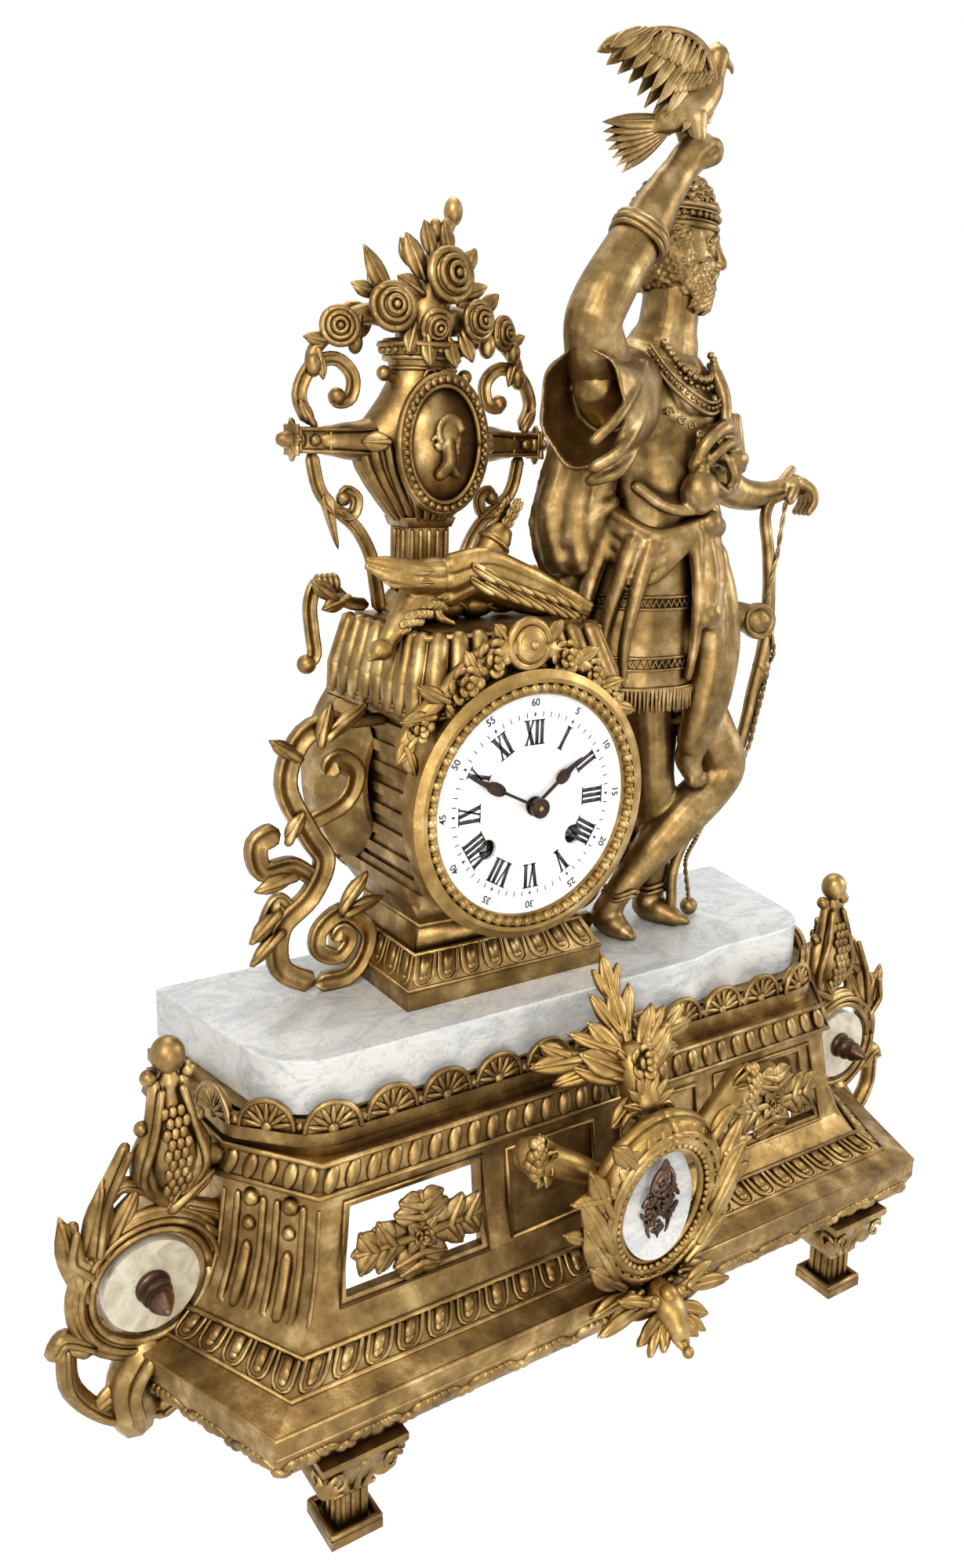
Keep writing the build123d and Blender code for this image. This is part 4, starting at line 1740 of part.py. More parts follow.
# Scrolls of the urn on the right: points across and up, width, and end width
URN_SCROLL_SHARES = [
    ([(0.3, 0.4556), (0.3278, 0.5222), (0.2944, 0.5889), (0.2333, 0.6083), (0.1889, 0.5722), (0.1944, 0.5167), (0.2278, 0.5111)], 0.0306, 0.0444),
    ([(0.3, 0.3889), (0.2778, 0.3056), (0.2333, 0.2556), (0.1889, 0.2444), (0.1778, 0.2833), (0.2056, 0.3)], 0.0306, 0.0389),
    ([(0.2611, 0.2889), (0.2389, 0.2111), (0.2278, 0.1778)], 0.0333, 0.0167),
    ([(0.2333, 0.2556), (0.1778, 0.2111), (0.1389, 0.1444), (0.1222, 0.0667), (0.1111, 0.0)], 0.0306, 0.0389),
]
# Scroll bracket over the side of the cap: points across and up from the case centre
BRACKET_SHARES = [
    ([(0.1889, 0.0167), (0.25, 0.0278), (0.3, 0.0722), (0.3333, 0.0722), (0.35, 0.0222), (0.3444, -0.0444), (0.3389, -0.1), (0.3611, -0.1167)], 0.0361, 0.0444),
]


def scaled_strokes(rows, unit):
    """Strokes of a casting turned from shares into lengths."""
    strokes = []
    for shares, width, end_width in rows:
        strokes.append((scaled(shares, unit), unit * width, unit * end_width))
    return strokes


with BuildPart() as urn_scrolls:
    for side in (-1, 1):
        urn_plane = Plane(
            origin=(URN_X, DATUM_Y + URN_SCROLL_DEPTH, CAP_PLATE_TOP), x_dir=(1, 0, 0), z_dir=(0, -1, 0)
        )
        casting(urn_plane, scaled_strokes(URN_SCROLL_SHARES, URN_HEIGHT), URN_SCROLL_THICKNESS, side)
        with Locations((URN_X + side * (BAR_START + BAR_END) / 2, DATUM_Y + URN_Y, BAR_Z)):
            Box(BAR_END - BAR_START, BAR_DEPTH, BAR_HEIGHT)
        bar_end = Plane(
            origin=(URN_X + side * BAR_END, DATUM_Y + URN_Y, BAR_Z), x_dir=(0, side, 0), z_dir=(side, 0, 0)
        )
        with BuildSketch(bar_end) as rosette:
            Circle(ROSETTE_RADIUS)
        extrude(rosette.sketch, amount=ROSETTE_THICKNESS)
        with BuildSketch(bar_end) as button:
            Circle(BUTTON_RADIUS)
        extrude(button.sketch, amount=BAR_REACH - BAR_END)
        cap_plane = on_dial(BRACKET_DEPTH, up=CAP_PLATE_TOP - DIAL_Z)
        casting(cap_plane, scaled_strokes(BRACKET_SHARES, URN_HEIGHT), BRACKET_THICKNESS, side)
    add(urn_body.part, mode=Mode.SUBTRACT)
    add(urn_stem.part, mode=Mode.SUBTRACT)
    add(case_cap.part, mode=Mode.SUBTRACT)
urn_scrolls.part.label = "urn_scrolls"
export_step(urn_scrolls.part, "parts/urn_scrolls.step")

# Bouquet: masses of flowers above the lip
BOUQUET_SHARES = [
    (0.0, 0.0, 0.6806, 0.0833),
    (0.0389, -0.0333, 0.7861, 0.0667),
    (0.0389, 0.0, 0.875, 0.0417),
    (0.0722, 0.0, 0.9583, 0.025),
]
# Flowers and garland to the left scroll
BOUQUET_LEFT_SHARES = [
    (0.0, 0.0, 0.6917, 0.0667),
    (-0.0944, -0.0111, 0.725, 0.0528),
    (-0.1833, -0.0056, 0.7083, 0.0444),
    (-0.25, 0.0, 0.6639, 0.0333),
    (-0.2833, 0.0, 0.6333, 0.0222),
]
# Flowers and garland to the right scroll
BOUQUET_RIGHT_SHARES = [
    (0.0, 0.0, 0.6917, 0.0667),
    (0.1056, -0.0111, 0.725, 0.0528),
    (0.1833, -0.0056, 0.7028, 0.0444),
    (0.2444, 0.0, 0.6639, 0.0333),
    (0.2722, 0.0, 0.6333, 0.0222),
]
# Leaning buds and leaves
BOUQUET_BUD_SHARES = [
    (-0.0611, 0.0, 0.7361, 0.0389),
    (-0.1278, 0.0, 0.825, 0.0222),
    (-0.15, 0.0, 0.8472, 0.0111),
]
with BuildPart() as bouquet:
    for spray in (BOUQUET_SHARES, BOUQUET_LEFT_SHARES, BOUQUET_RIGHT_SHARES, BOUQUET_BUD_SHARES):
        limb(stationed(spray, URN_PLACE, URN_HEIGHT))
    add(urn_body.part, mode=Mode.SUBTRACT)
    add(urn_scrolls.part, mode=Mode.SUBTRACT)
bouquet.part.label = "bouquet"
export_step(bouquet.part, "parts/bouquet.step")

# Mound under the dead bird, as level ovals
TROPHY_MOUND_SHARES = [
    (-0.0611, -0.1889, -0.0083, 0.1333, 0.05),
    (-0.0611, -0.1889, 0.0361, 0.1222, 0.05),
    (-0.0722, -0.1889, 0.0861, 0.0667, 0.0333),
]
# Dead bird from its head to its tail
TROPHY_BIRD_SHARES = [
    (-0.2556, -0.2889, -0.0306, 0.025),
    (-0.2056, -0.2667, 0.025, 0.0306),
    (-0.1278, -0.2333, 0.0861, 0.05),
    (-0.0056, -0.2056, 0.1028, 0.0528),
    (0.1056, -0.1944, 0.0639, 0.0389),
    (0.2389, -0.1944, 0.0139, 0.0222),
    (0.3278, -0.2, -0.0028, 0.0167),
]
# Outstretched wing
TROPHY_WING_SHARES = [
    (-0.0833, -0.2111, 0.1194, 0.0333),
    (-0.1944, -0.2056, 0.1139, 0.025),
    (-0.3056, -0.2, 0.1306, 0.0139),
]
# Quiver with its arrows
TROPHY_QUIVER_SHARES = [
    (0.0056, -0.1778, 0.0361, 0.0361),
    (0.0722, -0.1778, 0.125, 0.0361),
    (0.1333, -0.1778, 0.2361, 0.0444),
]
with BuildPart() as trophy:
    ovals(stationed(TROPHY_MOUND_SHARES, URN_PLACE, URN_HEIGHT))
    for spray in (TROPHY_BIRD_SHARES, TROPHY_WING_SHARES, TROPHY_QUIVER_SHARES):
        limb(stationed(spray, URN_PLACE, URN_HEIGHT))
    add(case_cap.part, mode=Mode.SUBTRACT)
    add(urn_stem.part, mode=Mode.SUBTRACT)
    add(urn_body.part, mode=Mode.SUBTRACT)
    add(urn_medallion.part, mode=Mode.SUBTRACT)
    add(bezel_garland.part, mode=Mode.SUBTRACT)
trophy.part.label = "trophy"
export_step(trophy.part, "parts/trophy.step")

# Standing leg and its shoe
STANDING_LEG_SHARES = [
    (0.0, 0.0164, 0.371, 0.0411),
    (0.0164, 0.0082, 0.2175, 0.0342),
    (0.0301, 0.0137, 0.1353, 0.0268),
    (0.0356, 0.0164, 0.0614, 0.0219),
    (0.0329, 0.0247, 0.023, 0.0247),
]
# Shoe of the standing leg
STANDING_SHOE_SHARES = [
    (0.0329, 0.0247, 0.023, 0.0247),
    (0.0384, 0.0, 0.0203, 0.0225),
    (0.0507, -0.0233, 0.0093, 0.0137),
    (0.0559, -0.0337, 0.0052, 0.0082),
]
# Crossing leg, from the hip out to the knee and back across to the ankle
CROSSING_LEG_SHARES = [
    (0.0164, 0.011, 0.371, 0.0411),
    (0.0712, -0.011, 0.3079, 0.0397),
    (0.1151, -0.0219, 0.234, 0.0356),
    (0.0521, -0.0192, 0.1655, 0.0315),
    (-0.0055, -0.011, 0.1079, 0.026),
    (-0.0493, 0.0, 0.0614, 0.0205),
    (-0.0521, 0.011, 0.023, 0.0247),
]
# Shoe of the crossing leg
CROSSING_SHOE_SHARES = [
    (-0.0521, 0.011, 0.023, 0.0247),
    (-0.0493, -0.0055, 0.0189, 0.0219),
    (-0.0455, -0.0192, 0.0093, 0.0137),
    (-0.0441, -0.0271, 0.0052, 0.0082),
]
# Tunic and chest as level ovals, from the hem to the foot of the neck
TORSO_SHARES = [
    (-0.0274, 0.0082, 0.3326, 0.0932, 0.074),
    (-0.0247, 0.0082, 0.3764, 0.0904, 0.0712),
    (-0.0137, 0.011, 0.4449, 0.0849, 0.0658),
    (-0.0027, 0.0137, 0.5189, 0.0767, 0.0603),
    (0.0027, 0.0164, 0.5956, 0.0712, 0.0548),
    (0.0, 0.0164, 0.6504, 0.0849, 0.0603),
    (-0.0082, 0.0164, 0.697, 0.1014, 0.063),
    (-0.0164, 0.0164, 0.7326, 0.1014, 0.0521),
    (0.0, 0.0137, 0.7627, 0.0603, 0.0411),
    (0.0192, 0.011, 0.7819, 0.0329, 0.0315),
]
# Panel of the gown between the legs
LOWER_GOWN_SHARES = [
    (0.0, 0.0329, 0.371, 0.0493),
    (0.0164, 0.0384, 0.2668, 0.0356),
    (0.0329, 0.0411, 0.1984, 0.0247),
]
# Cloak hanging behind, as level ovals
CLOAK_SHARES = [
    (0.0384, 0.0493, 0.2175, 0.0548, 0.0192),
    (0.0274, 0.0493, 0.3216, 0.0767, 0.0247),
    (-0.011, 0.0548, 0.4449, 0.1041, 0.0274),
    (-0.0493, 0.063, 0.5545, 0.1178, 0.0274),
    (-0.0384, 0.0548, 0.6504, 0.1151, 0.0247),
    (-0.0274, 0.0384, 0.7326, 0.0932, 0.0247),
]
# Hunting horn at the right hip
HORN_SHARES = [
    (0.0877, 0.0329, 0.4641, 0.0164),
    (0.137, 0.0219, 0.4312, 0.0192),
    (0.1671, 0.0055, 0.4203, 0.0233),
]
# Animal mask and pouch at the waist
MASK_SHARES = [
    (0.0548, -0.0356, 0.6614, 0.0301),
    (0.0493, -0.0438, 0.6175, 0.0356),
    (0.0329, -0.0438, 0.5737, 0.0219),
]
# Hanging sleeve of the raised arm
SLEEVE_SHARES = [
    (-0.0767, 0.011, 0.7216, 0.0548),
    (-0.1315, -0.0164, 0.7381, 0.0521),
    (-0.1452, -0.0219, 0.697, 0.0384),
]
FIGURE_PLACE = (FIGURE_X, FIGURE_Y, SLAB_TOP)
with BuildPart() as figure_body:
    ovals(stationed(TORSO_SHARES, FIGURE_PLACE, FIGURE_HEIGHT))
    ovals(stationed(CLOAK_SHARES, FIGURE_PLACE, FIGURE_HEIGHT))
    limbs = (
        STANDING_LEG_SHARES, STANDING_SHOE_SHARES, CROSSING_LEG_SHARES, CROSSING_SHOE_SHARES,
        HORN_SHARES, LOWER_GOWN_SHARES, MASK_SHARES, SLEEVE_SHARES,
    )
    for shares in limbs:
        limb(stationed(shares, FIGURE_PLACE, FIGURE_HEIGHT))
    with BuildSketch(level(SLAB_TOP)) as under_sole:
        with Locations((FIGURE_X, FIGURE_Y)):
            Rectangle(FIGURE_HEIGHT / 2, FIGURE_HEIGHT / 2)
    extrude(under_sole.sketch, amount=-SOLE_DEPTH, mode=Mode.SUBTRACT)
    with BuildSketch(level(SLAB_TOP)) as sole_holes:
        for offset_x in (SHOE_LEFT_OFFSET, SHOE_RIGHT_OFFSET):
            with Locations((FIGURE_X + offset_x, FIGURE_Y)):
                Circle(ROD_RADIUS)
    extrude(sole_holes.sketch, amount=ROD_REACH, mode=Mode.SUBTRACT)
    for neighbour in (case_body, case_cap, case_plinth, rear_drum, bezel_ring):
        add(neighbour.part, mode=Mode.SUBTRACT)
    add(case_scroll_right.part, mode=Mode.SUBTRACT)
figure_body.part.label = "figure_body"
export_step(figure_body.part, "parts/figure_body.step")

# Neck
NECK_SHARES = [
    (0.0192, 0.011, 0.771, 0.0301),
    (0.0329, 0.0041, 0.8367, 0.0288),
]
# Head and crown as level ovals
HEAD_SHARES = [
    (0.0438, -0.0041, 0.823, 0.0192, 0.0178),
    (0.0438, -0.0027, 0.8395, 0.0301, 0.0274),
    (0.0411, 0.0, 0.8751, 0.037, 0.0342),
    (0.0384, 0.0027, 0.9107, 0.0384, 0.0356),
    (0.0356, 0.0055, 0.9353, 0.0384, 0.0362),
    (0.0342, 0.0068, 0.9545, 0.04, 0.0384),
    (0.0329, 0.0082, 0.9792, 0.0329, 0.0312),
    (0.0315, 0.0082, 0.9984, 0.0192, 0.0178),
]
# Nose
NOSE_SHARES = [
    (0.0712, -0.0233, 0.8997, 0.006),
    (0.0781, -0.0288, 0.8751, 0.0082),
]
with BuildPart() as figure_head:
    limb(stationed(NECK_SHARES, FIGURE_PLACE, FIGURE_HEIGHT))
    ovals(stationed(HEAD_SHARES, FIGURE_PLACE, FIGURE_HEIGHT))
    limb(stationed(NOSE_SHARES, FIGURE_PLACE, FIGURE_HEIGHT))
    add(figure_body.part, mode=Mode.SUBTRACT)
figure_head.part.label = "figure_head"
export_step(figure_head.part, "parts/figure_head.step")

# Raised arm from the shoulder to the wrist
RAISED_ARM_SHARES = [
    (-0.0986, 0.0, 0.7326, 0.0438),
    (-0.1644, -0.0493, 0.8011, 0.0356),
    (-0.1096, -0.0493, 0.8833, 0.0315),
    (-0.0493, -0.0479, 0.971, 0.0233),
    (-0.0164, -0.0479, 0.9984, 0.0233),
]
# Lowered arm from the shoulder to the knuckles
BOW_ARM_SHARES = [
    (0.0712, 0.0192, 0.7162, 0.0384),
    (0.1068, 0.0219, 0.6559, 0.0342),
    (0.1288, 0.0219, 0.6066, 0.0301),
    (0.1918, 0.0082, 0.5929, 0.0247),
    (0.2329, 0.0055, 0.6093, 0.0219),
    (0.2548, 0.0027, 0.5956, 0.0137),
]
with BuildPart() as raised_arm:
    limb(stationed(RAISED_ARM_SHARES, FIGURE_PLACE, FIGURE_HEIGHT))
    add(figure_body.part, mode=Mode.SUBTRACT)
    add(figure_head.part, mode=Mode.SUBTRACT)
raised_arm.part.label = "raised_arm"
export_step(raised_arm.part, "parts/raised_arm.step")

with BuildPart() as bow_arm:
    limb(stationed(BOW_ARM_SHARES, FIGURE_PLACE, FIGURE_HEIGHT))
    add(figure_body.part, mode=Mode.SUBTRACT)
bow_arm.part.label = "bow_arm"
export_step(bow_arm.part, "parts/bow_arm.step")

# Falcon from its tail through its body to its head
FALCON_BODY_SHARES = [
    (-0.1096, -0.0482, 1.0011, 0.0068),
    (-0.0575, -0.0482, 1.0203, 0.0192),
    (-0.0219, -0.0482, 1.0422, 0.026),
    (0.0027, -0.0482, 1.0805, 0.0178),
    (0.0027, -0.0482, 1.1079, 0.0137),
]
# Falcon beak and legs
FALCON_BEAK_SHARES = [
    (0.0027, -0.0482, 1.1079, 0.0123),
    (0.0219, -0.0507, 1.0942, 0.0041),
]
# Falcon legs
FALCON_LEG_SHARES = [
    (-0.0301, -0.0482, 1.034, 0.0137),
    (-0.0247, -0.0482, 1.0066, 0.0096),
]
# Raised wing of the falcon, across and up
WING_SHARES = [
    (-0.011, 1.0422),
    (0.0, 1.0805),
    (-0.0164, 1.1107),
    (-0.0575, 1.1216),
    (-0.1123, 1.1107),
    (-0.1616, 1.0888),
    (-0.1315, 1.0778),
    (-0.0986, 1.0668),
    (-0.0767, 1.034),
    (-0.0493, 1.0148),
]
# Tail of the falcon
TAIL_SHARES = [
    (-0.0575, 1.0367),
    (-0.1096, 1.0285),
    (-0.1644, 0.9929),
    (-0.1425, 0.9792),
    (-0.1151, 0.9737),
    (-0.0712, 1.0038),
]
with BuildPart() as falcon:
    for shares in (FALCON_BODY_SHARES, FALCON_BEAK_SHARES, FALCON_LEG_SHARES):
        limb(stationed(shares, FIGURE_PLACE, FIGURE_HEIGHT))
    for outline in (WING_SHARES, TAIL_SHARES):
        with BuildSketch(front(-FALCON_DEPTH)) as blade:
            Polygon(*scaled(outline, FIGURE_HEIGHT, FIGURE_X, SLAB_TOP), align=None)
        extrude(blade.sketch, amount=WING_THICKNESS)
    add(raised_arm.part, mode=Mode.SUBTRACT)
    add(figure_head.part, mode=Mode.SUBTRACT)
falcon.part.label = "falcon"
export_step(falcon.part, "parts/falcon.step")

# Bow, from the fist down to the instep
BOW_SHARES = [
    (0.189, 0.0, 0.5847, 0.0077),
    (0.1945, -0.011, 0.486, 0.0088),
    (0.1945, -0.011, 0.3901, 0.0104),
    (0.1781, -0.011, 0.3216, 0.0099),
    (0.1562, -0.011, 0.2422, 0.0088),
    (0.1041, -0.011, 0.1655, 0.0082),
    (0.063, -0.0082, 0.1162, 0.0077),
    (0.0479, -0.0082, 0.0696, 0.0071),
    (0.0466, -0.011, 0.0408, 0.0071),
]
# Twisted bowstring, from the fist down to its ball on the slab
STRING_SHARES = [
    (0.2219, -0.0055, 0.5874, 0.003),
    (0.1808, -0.0225, 0.4449, 0.003),
    (0.2, -0.023, 0.3819, 0.003),
    (0.1863, -0.023, 0.3299, 0.003),
    (0.1644, -0.0225, 0.2449, 0.003),
    (0.1123, -0.0219, 0.1682, 0.003),
    (0.0795, -0.0192, 0.1244, 0.003),
    (0.0767, -0.0027, 0.0805, 0.003),
    (0.0904, 0.0027, 0.034, 0.003),
    (0.0951, 0.0049, 0.0126, 0.0132),
]
with BuildPart() as bow:
    limb(stationed(BOW_SHARES, FIGURE_PLACE, FIGURE_HEIGHT))
    add(bow_arm.part, mode=Mode.SUBTRACT)
    add(figure_body.part, mode=Mode.SUBTRACT)
bow.part.label = "bow"
export_step(bow.part, "parts/bow.step")

with BuildPart() as bowstring:
    limb(stationed(STRING_SHARES, FIGURE_PLACE, FIGURE_HEIGHT))
    add(bow.part, mode=Mode.SUBTRACT)
    add(bow_arm.part, mode=Mode.SUBTRACT)
    add(figure_body.part, mode=Mode.SUBTRACT)
    add(marble_slab.part, mode=Mode.SUBTRACT)
bowstring.part.label = "bowstring"
export_step(bowstring.part, "parts/bowstring.step")
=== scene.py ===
"""Figural mantel clock: gilt bronze, white marble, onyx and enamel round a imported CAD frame."""
from math import atan2, cos, pi, radians, sin, sqrt, tan, tau

import bmesh
import bpy
import numpy as np
from mathutils import Matrix, Vector


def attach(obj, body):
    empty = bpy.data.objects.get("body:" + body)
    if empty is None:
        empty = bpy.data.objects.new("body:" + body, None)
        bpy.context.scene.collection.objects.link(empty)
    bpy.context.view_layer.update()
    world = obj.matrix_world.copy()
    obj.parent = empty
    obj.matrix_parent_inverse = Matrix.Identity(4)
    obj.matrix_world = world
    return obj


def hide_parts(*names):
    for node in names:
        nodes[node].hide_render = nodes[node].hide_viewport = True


bl_info = {
    "name": "Figural mantel clock",
    "version": (1, 0, 0),
    "blender": (4, 5, 0),
    "location": "View3D > Sidebar > Clock",
    "description": "Builds the looks of a gilt figural mantel clock round its packed frame",
    "category": "Object",
}

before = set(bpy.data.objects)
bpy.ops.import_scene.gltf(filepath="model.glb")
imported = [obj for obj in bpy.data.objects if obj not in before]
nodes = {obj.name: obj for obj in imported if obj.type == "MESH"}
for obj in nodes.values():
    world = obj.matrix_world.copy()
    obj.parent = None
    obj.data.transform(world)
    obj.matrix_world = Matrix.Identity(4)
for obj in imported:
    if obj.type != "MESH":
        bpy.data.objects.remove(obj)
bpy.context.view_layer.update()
MM = 0.001
# the datum plane that depths are counted from lies this many millimetres behind the middle
DATUM_Y = 29.0
FIXED = "clock_frame"
FRONT, BACK, UP = Vector((0, -1, 0)), Vector((0, 1, 0)), Vector((0, 0, 1))
# dark brown of real dirt in the hollows of the gilding, also used as painted shade in recesses that ambient
# occlusion finds
DIRT_AND_SHADE = "#3a2813"
INK = 0.06 * MM
# sensor width in millimetres; size, focal length and optical middle of the photo in pixels
SENSOR, IMAGE_WIDTH, IMAGE_HEIGHT = 36.0, 1229, 2000
FOCAL, MIDDLE_X, MIDDLE_Y = 1601.96, 635.15, 911.33
# middles of case, dial, urn, end discs, vases, plaque and falcon, in millimetres
CASE_X, DIAL_Z = -30.3, 271.5
URN_X, URN_Y, ARM_Z, STEM_FOOT_Z = -41.0, 46.0, 421, 345.5
DISC_X, DISC_Z, VASE_X, END_Y = 196.8, 95, 186.3, -16.5
PLAQUE_Y, PLAQUE_Z, PLAQUE_LEAN = -95.0, 105.0, radians(6.0)
FALCON_Y = -13.6


def at(x, y, z):
    """Point in metres from millimetres measured from the datum plane of the clock."""
    return Vector((x * MM, (y + DATUM_Y) * MM, z * MM))


def datum(point):
    """Millimetres from the datum plane of a point in metres."""
    return point.x / MM, point.y / MM - DATUM_Y, point.z / MM


def basis(x_axis, y_axis, z_axis):
    """Rotation that has these three axes."""
    return Matrix((x_axis, y_axis, z_axis)).transposed().to_4x4()


def turned_to(direction):
    """Rotation that turns the z axis to a direction."""
    return direction.to_track_quat("Z", "Y").to_matrix().to_4x4()


def placed(spot, turn, *size):
    """Matrix that stretches a unit shape, turns it and moves it to a spot."""
    return Matrix.Translation(spot) @ turn @ Matrix.Diagonal((*size, 1))


def ring(centre, side, other, radius, steps, wave=0.0, lobes=0, phase=0.0):
    """Closed line round a centre in the plane of two directions, with a ripple of so many lobes."""
    angles = [tau * i / steps for i in range(steps + 1)]
    reach = [(radius + wave * sin(lobes * a + phase)) * MM for a in angles]
    return [centre + (side * cos(a) + other * sin(a)) * r for a, r in zip(angles, reach)]


def oval(x, y, z, wide, tall, steps):
    """Closed upright oval line facing the front."""
    return [at(x + wide * cos(a), y, z + tall * sin(a))
            for a in (tau * k / steps for k in range(steps + 1))]


def coil(turn, shrink, count, start=0.0):
    """Across and up shares of the points of a coil that winds inward."""
    return [((1 - shrink * i) * cos(start + turn * i), (1 - shrink * i) * sin(start + turn * i))
            for i in range(count)]


def scattered(k):
    """Evenly scattered share from -1 to 1 of the number k, by the golden section."""
    return ((k * 0.618034) % 1 - 0.5) * 2


def mirrored(side):
    """Function that puts a point on one side of the middle plane."""
    return lambda point: (side * point[0], *point[1:])


def linked(name, data):
    """New object that shows a datablock in the scene."""
    piece = bpy.data.objects.new(name, data)
    bpy.context.scene.collection.objects.link(piece)
    return piece


def linear(code):
    """Linear colour with alpha from an sRGB hex code."""
    channels = [int(code[i:i + 2], 16) / 255 for i in (1, 3, 5)]
    return [c / 12.92 if c <= 0.04045 else ((c + 0.055) / 1.055) ** 2.4 for c in channels] + [1.0]


def add_node(tree, kind, values=None, **settings):
    """Adds a node; values maps its sockets to constants or to the sockets that feed them."""
    node = tree.nodes.new(kind)
    for key, value in settings.items():
        setattr(node, key, value)
    for socket, value in (values or {}).items():
        if isinstance(value, bpy.types.NodeSocket):
            tree.links.new(value, node.inputs[socket])
        else:
            node.inputs[socket].default_value = value
    return node


def start_material(name):
    """Empty node material, returned with its tree."""
    material = bpy.data.materials.new(name)
    material.use_nodes = True
    material.node_tree.nodes.clear()
    return material, material.node_tree


def ramp(tree, factor, stops):
    """Colour of a ramp with stops of position and hex code."""
    node = add_node(tree, "ShaderNodeValToRGB", {"Fac": factor})
    elements = node.color_ramp.elements
    while len(elements) < len(stops):
        elements.new(0.5)
    for element, (position, code) in zip(elements, stops):
        element.position = position
        element.color = linear(code)
    return node.outputs["Color"]


def noise(tree, place, patch, **values):
    """Factor of a noise whose patches are so many millimetres wide."""
    values = {"Vector": place, "Scale": 1 / (patch * MM), **values}
    return add_node(tree, "ShaderNodeTexNoise", values).outputs["Fac"]


def bump(tree, height, strength, depth):
    """Normal of a bump so many millimetres deep."""
    values = {"Height": height, "Strength": strength, "Distance": depth * MM}
    return add_node(tree, "ShaderNodeBump", values).outputs["Normal"]


def surfaced(material, tree, values):
    """The material, with a principled shader as its surface."""
    shader = add_node(tree, "ShaderNodeBsdfPrincipled", values)
    add_node(tree, "ShaderNodeOutputMaterial", {"Surface": shader.outputs[0]})
    return material


def gilt_material(name, dark, middle, bright, roughness, grain):
    """Fire-gilt bronze, cast, chased and aged: worn bright on its edges and dark brown in hollows up to 6 mm
    wide, partly real dirt and partly painted shade found by an ambient occlusion node.
    It is mottled in 14 mm patches and has a fine casting grain."""
    material, tree = start_material(name)
    place = add_node(tree, "ShaderNodeTexCoord").outputs["Object"]
    patches = noise(tree, place, 14, Detail=6.0, Roughness=0.62)
    colour = ramp(tree, patches, [(0.3, dark), (0.52, middle), (0.72, bright)])
    # painted shade: an ambient occlusion node finds hollows up to 6 mm wide, and the colour there is mixed
    # towards dark brown that stands for real dirt and painted shade together
    hollow = add_node(tree, "ShaderNodeAmbientOcclusion", {"Distance": 6 * MM}, samples=6)
    dirt_and_shade = add_node(
        tree, "ShaderNodeMapRange", {"Value": hollow.outputs["AO"], "From Min": 0.12, "From Max": 0.7}
    )
    tint = add_node(
        tree, "ShaderNodeMix", {0: dirt_and_shade.outputs["Result"], 6: linear(DIRT_AND_SHADE), 7: colour}, data_type="RGBA"
    )
    worn = {"Value": patches, "To Min": roughness + 0.08, "To Max": roughness - 0.06}
    sheen = add_node(tree, "ShaderNodeMapRange", worn)
    return surfaced(material, tree, {
        "Base Color": tint.outputs[2], "Metallic": 1.0, "Roughness": sheen.outputs["Result"],
        "Normal": bump(tree, noise(tree, place, grain, Detail=4.0), 0.35, 0.25),
    })


def marble_material():
    """Polished white marble: cool white with soft blue-grey veins 30 to 55 mm apart."""
    material, tree = start_material("polished_white_marble")
    place = add_node(tree, "ShaderNodeTexCoord").outputs["Object"]
    bedding = {"Vector": place, "Rotation": (0.4, 0.7, 0.5), "Scale": (1.0, 1.6, 2.2)}
    turned = add_node(tree, "ShaderNodeMapping", bedding).outputs[0]
    cloud = ramp(
        tree, noise(tree, turned, 55, Detail=5.0, Roughness=0.6, Distortion=0.8),
        [(0.3, "#cccdcb"), (0.44, "#d5d5d2"), (0.5, "#bfc4c6"), (0.56, "#d8d7d4"), (0.7, "#dddcd8")],
    )
    veins = ramp(
        tree, noise(tree, turned, 30, Detail=8.0, Roughness=0.7, Distortion=1.6),
        [(0.485, "#ffffff"), (0.5, "#b4bcc3"), (0.515, "#ffffff")],
    )
    mixed = add_node(
        tree, "ShaderNodeMix", {0: 0.7, 6: cloud, 7: veins}, data_type="RGBA", blend_type="MULTIPLY"
    )
    return surfaced(material, tree, {"Base Color": mixed.outputs[2], "Roughness": 0.22, "IOR": 1.49})


def onyx_material():
    """Green onyx, polished: cream with pale green clouding in patches about 11 mm wide."""
    material, tree = start_material("polished_green_onyx")
    place = add_node(tree, "ShaderNodeTexCoord").outputs["Object"]
    stops = [(0.3, "#aaa18a"), (0.48, "#c9c1aa"), (0.62, "#d8d0bd"), (0.75, "#b8b09a")]
    colour = ramp(tree, noise(tree, place, 11, Detail=5.0, Distortion=1.2), stops)
    return surfaced(material, tree, {"Base Color": colour, "Roughness": 0.18, "IOR": 1.49})


def plain_material(name, code, code_two, metallic, roughness, patch):
    """One finish with a slight drift of tone over patches of the given size in millimetres."""
    material, tree = start_material(name)
    drift = noise(tree, add_node(tree, "ShaderNodeTexCoord").outputs["Object"], patch, Detail=4.0)
    return surfaced(material, tree, {
        "Base Color": ramp(tree, drift, [(0.35, code), (0.65, code_two)]),
        "Metallic": metallic, "Roughness": roughness, "Normal": bump(tree, drift, 0.08, 0.1),
    })


finishes = {}


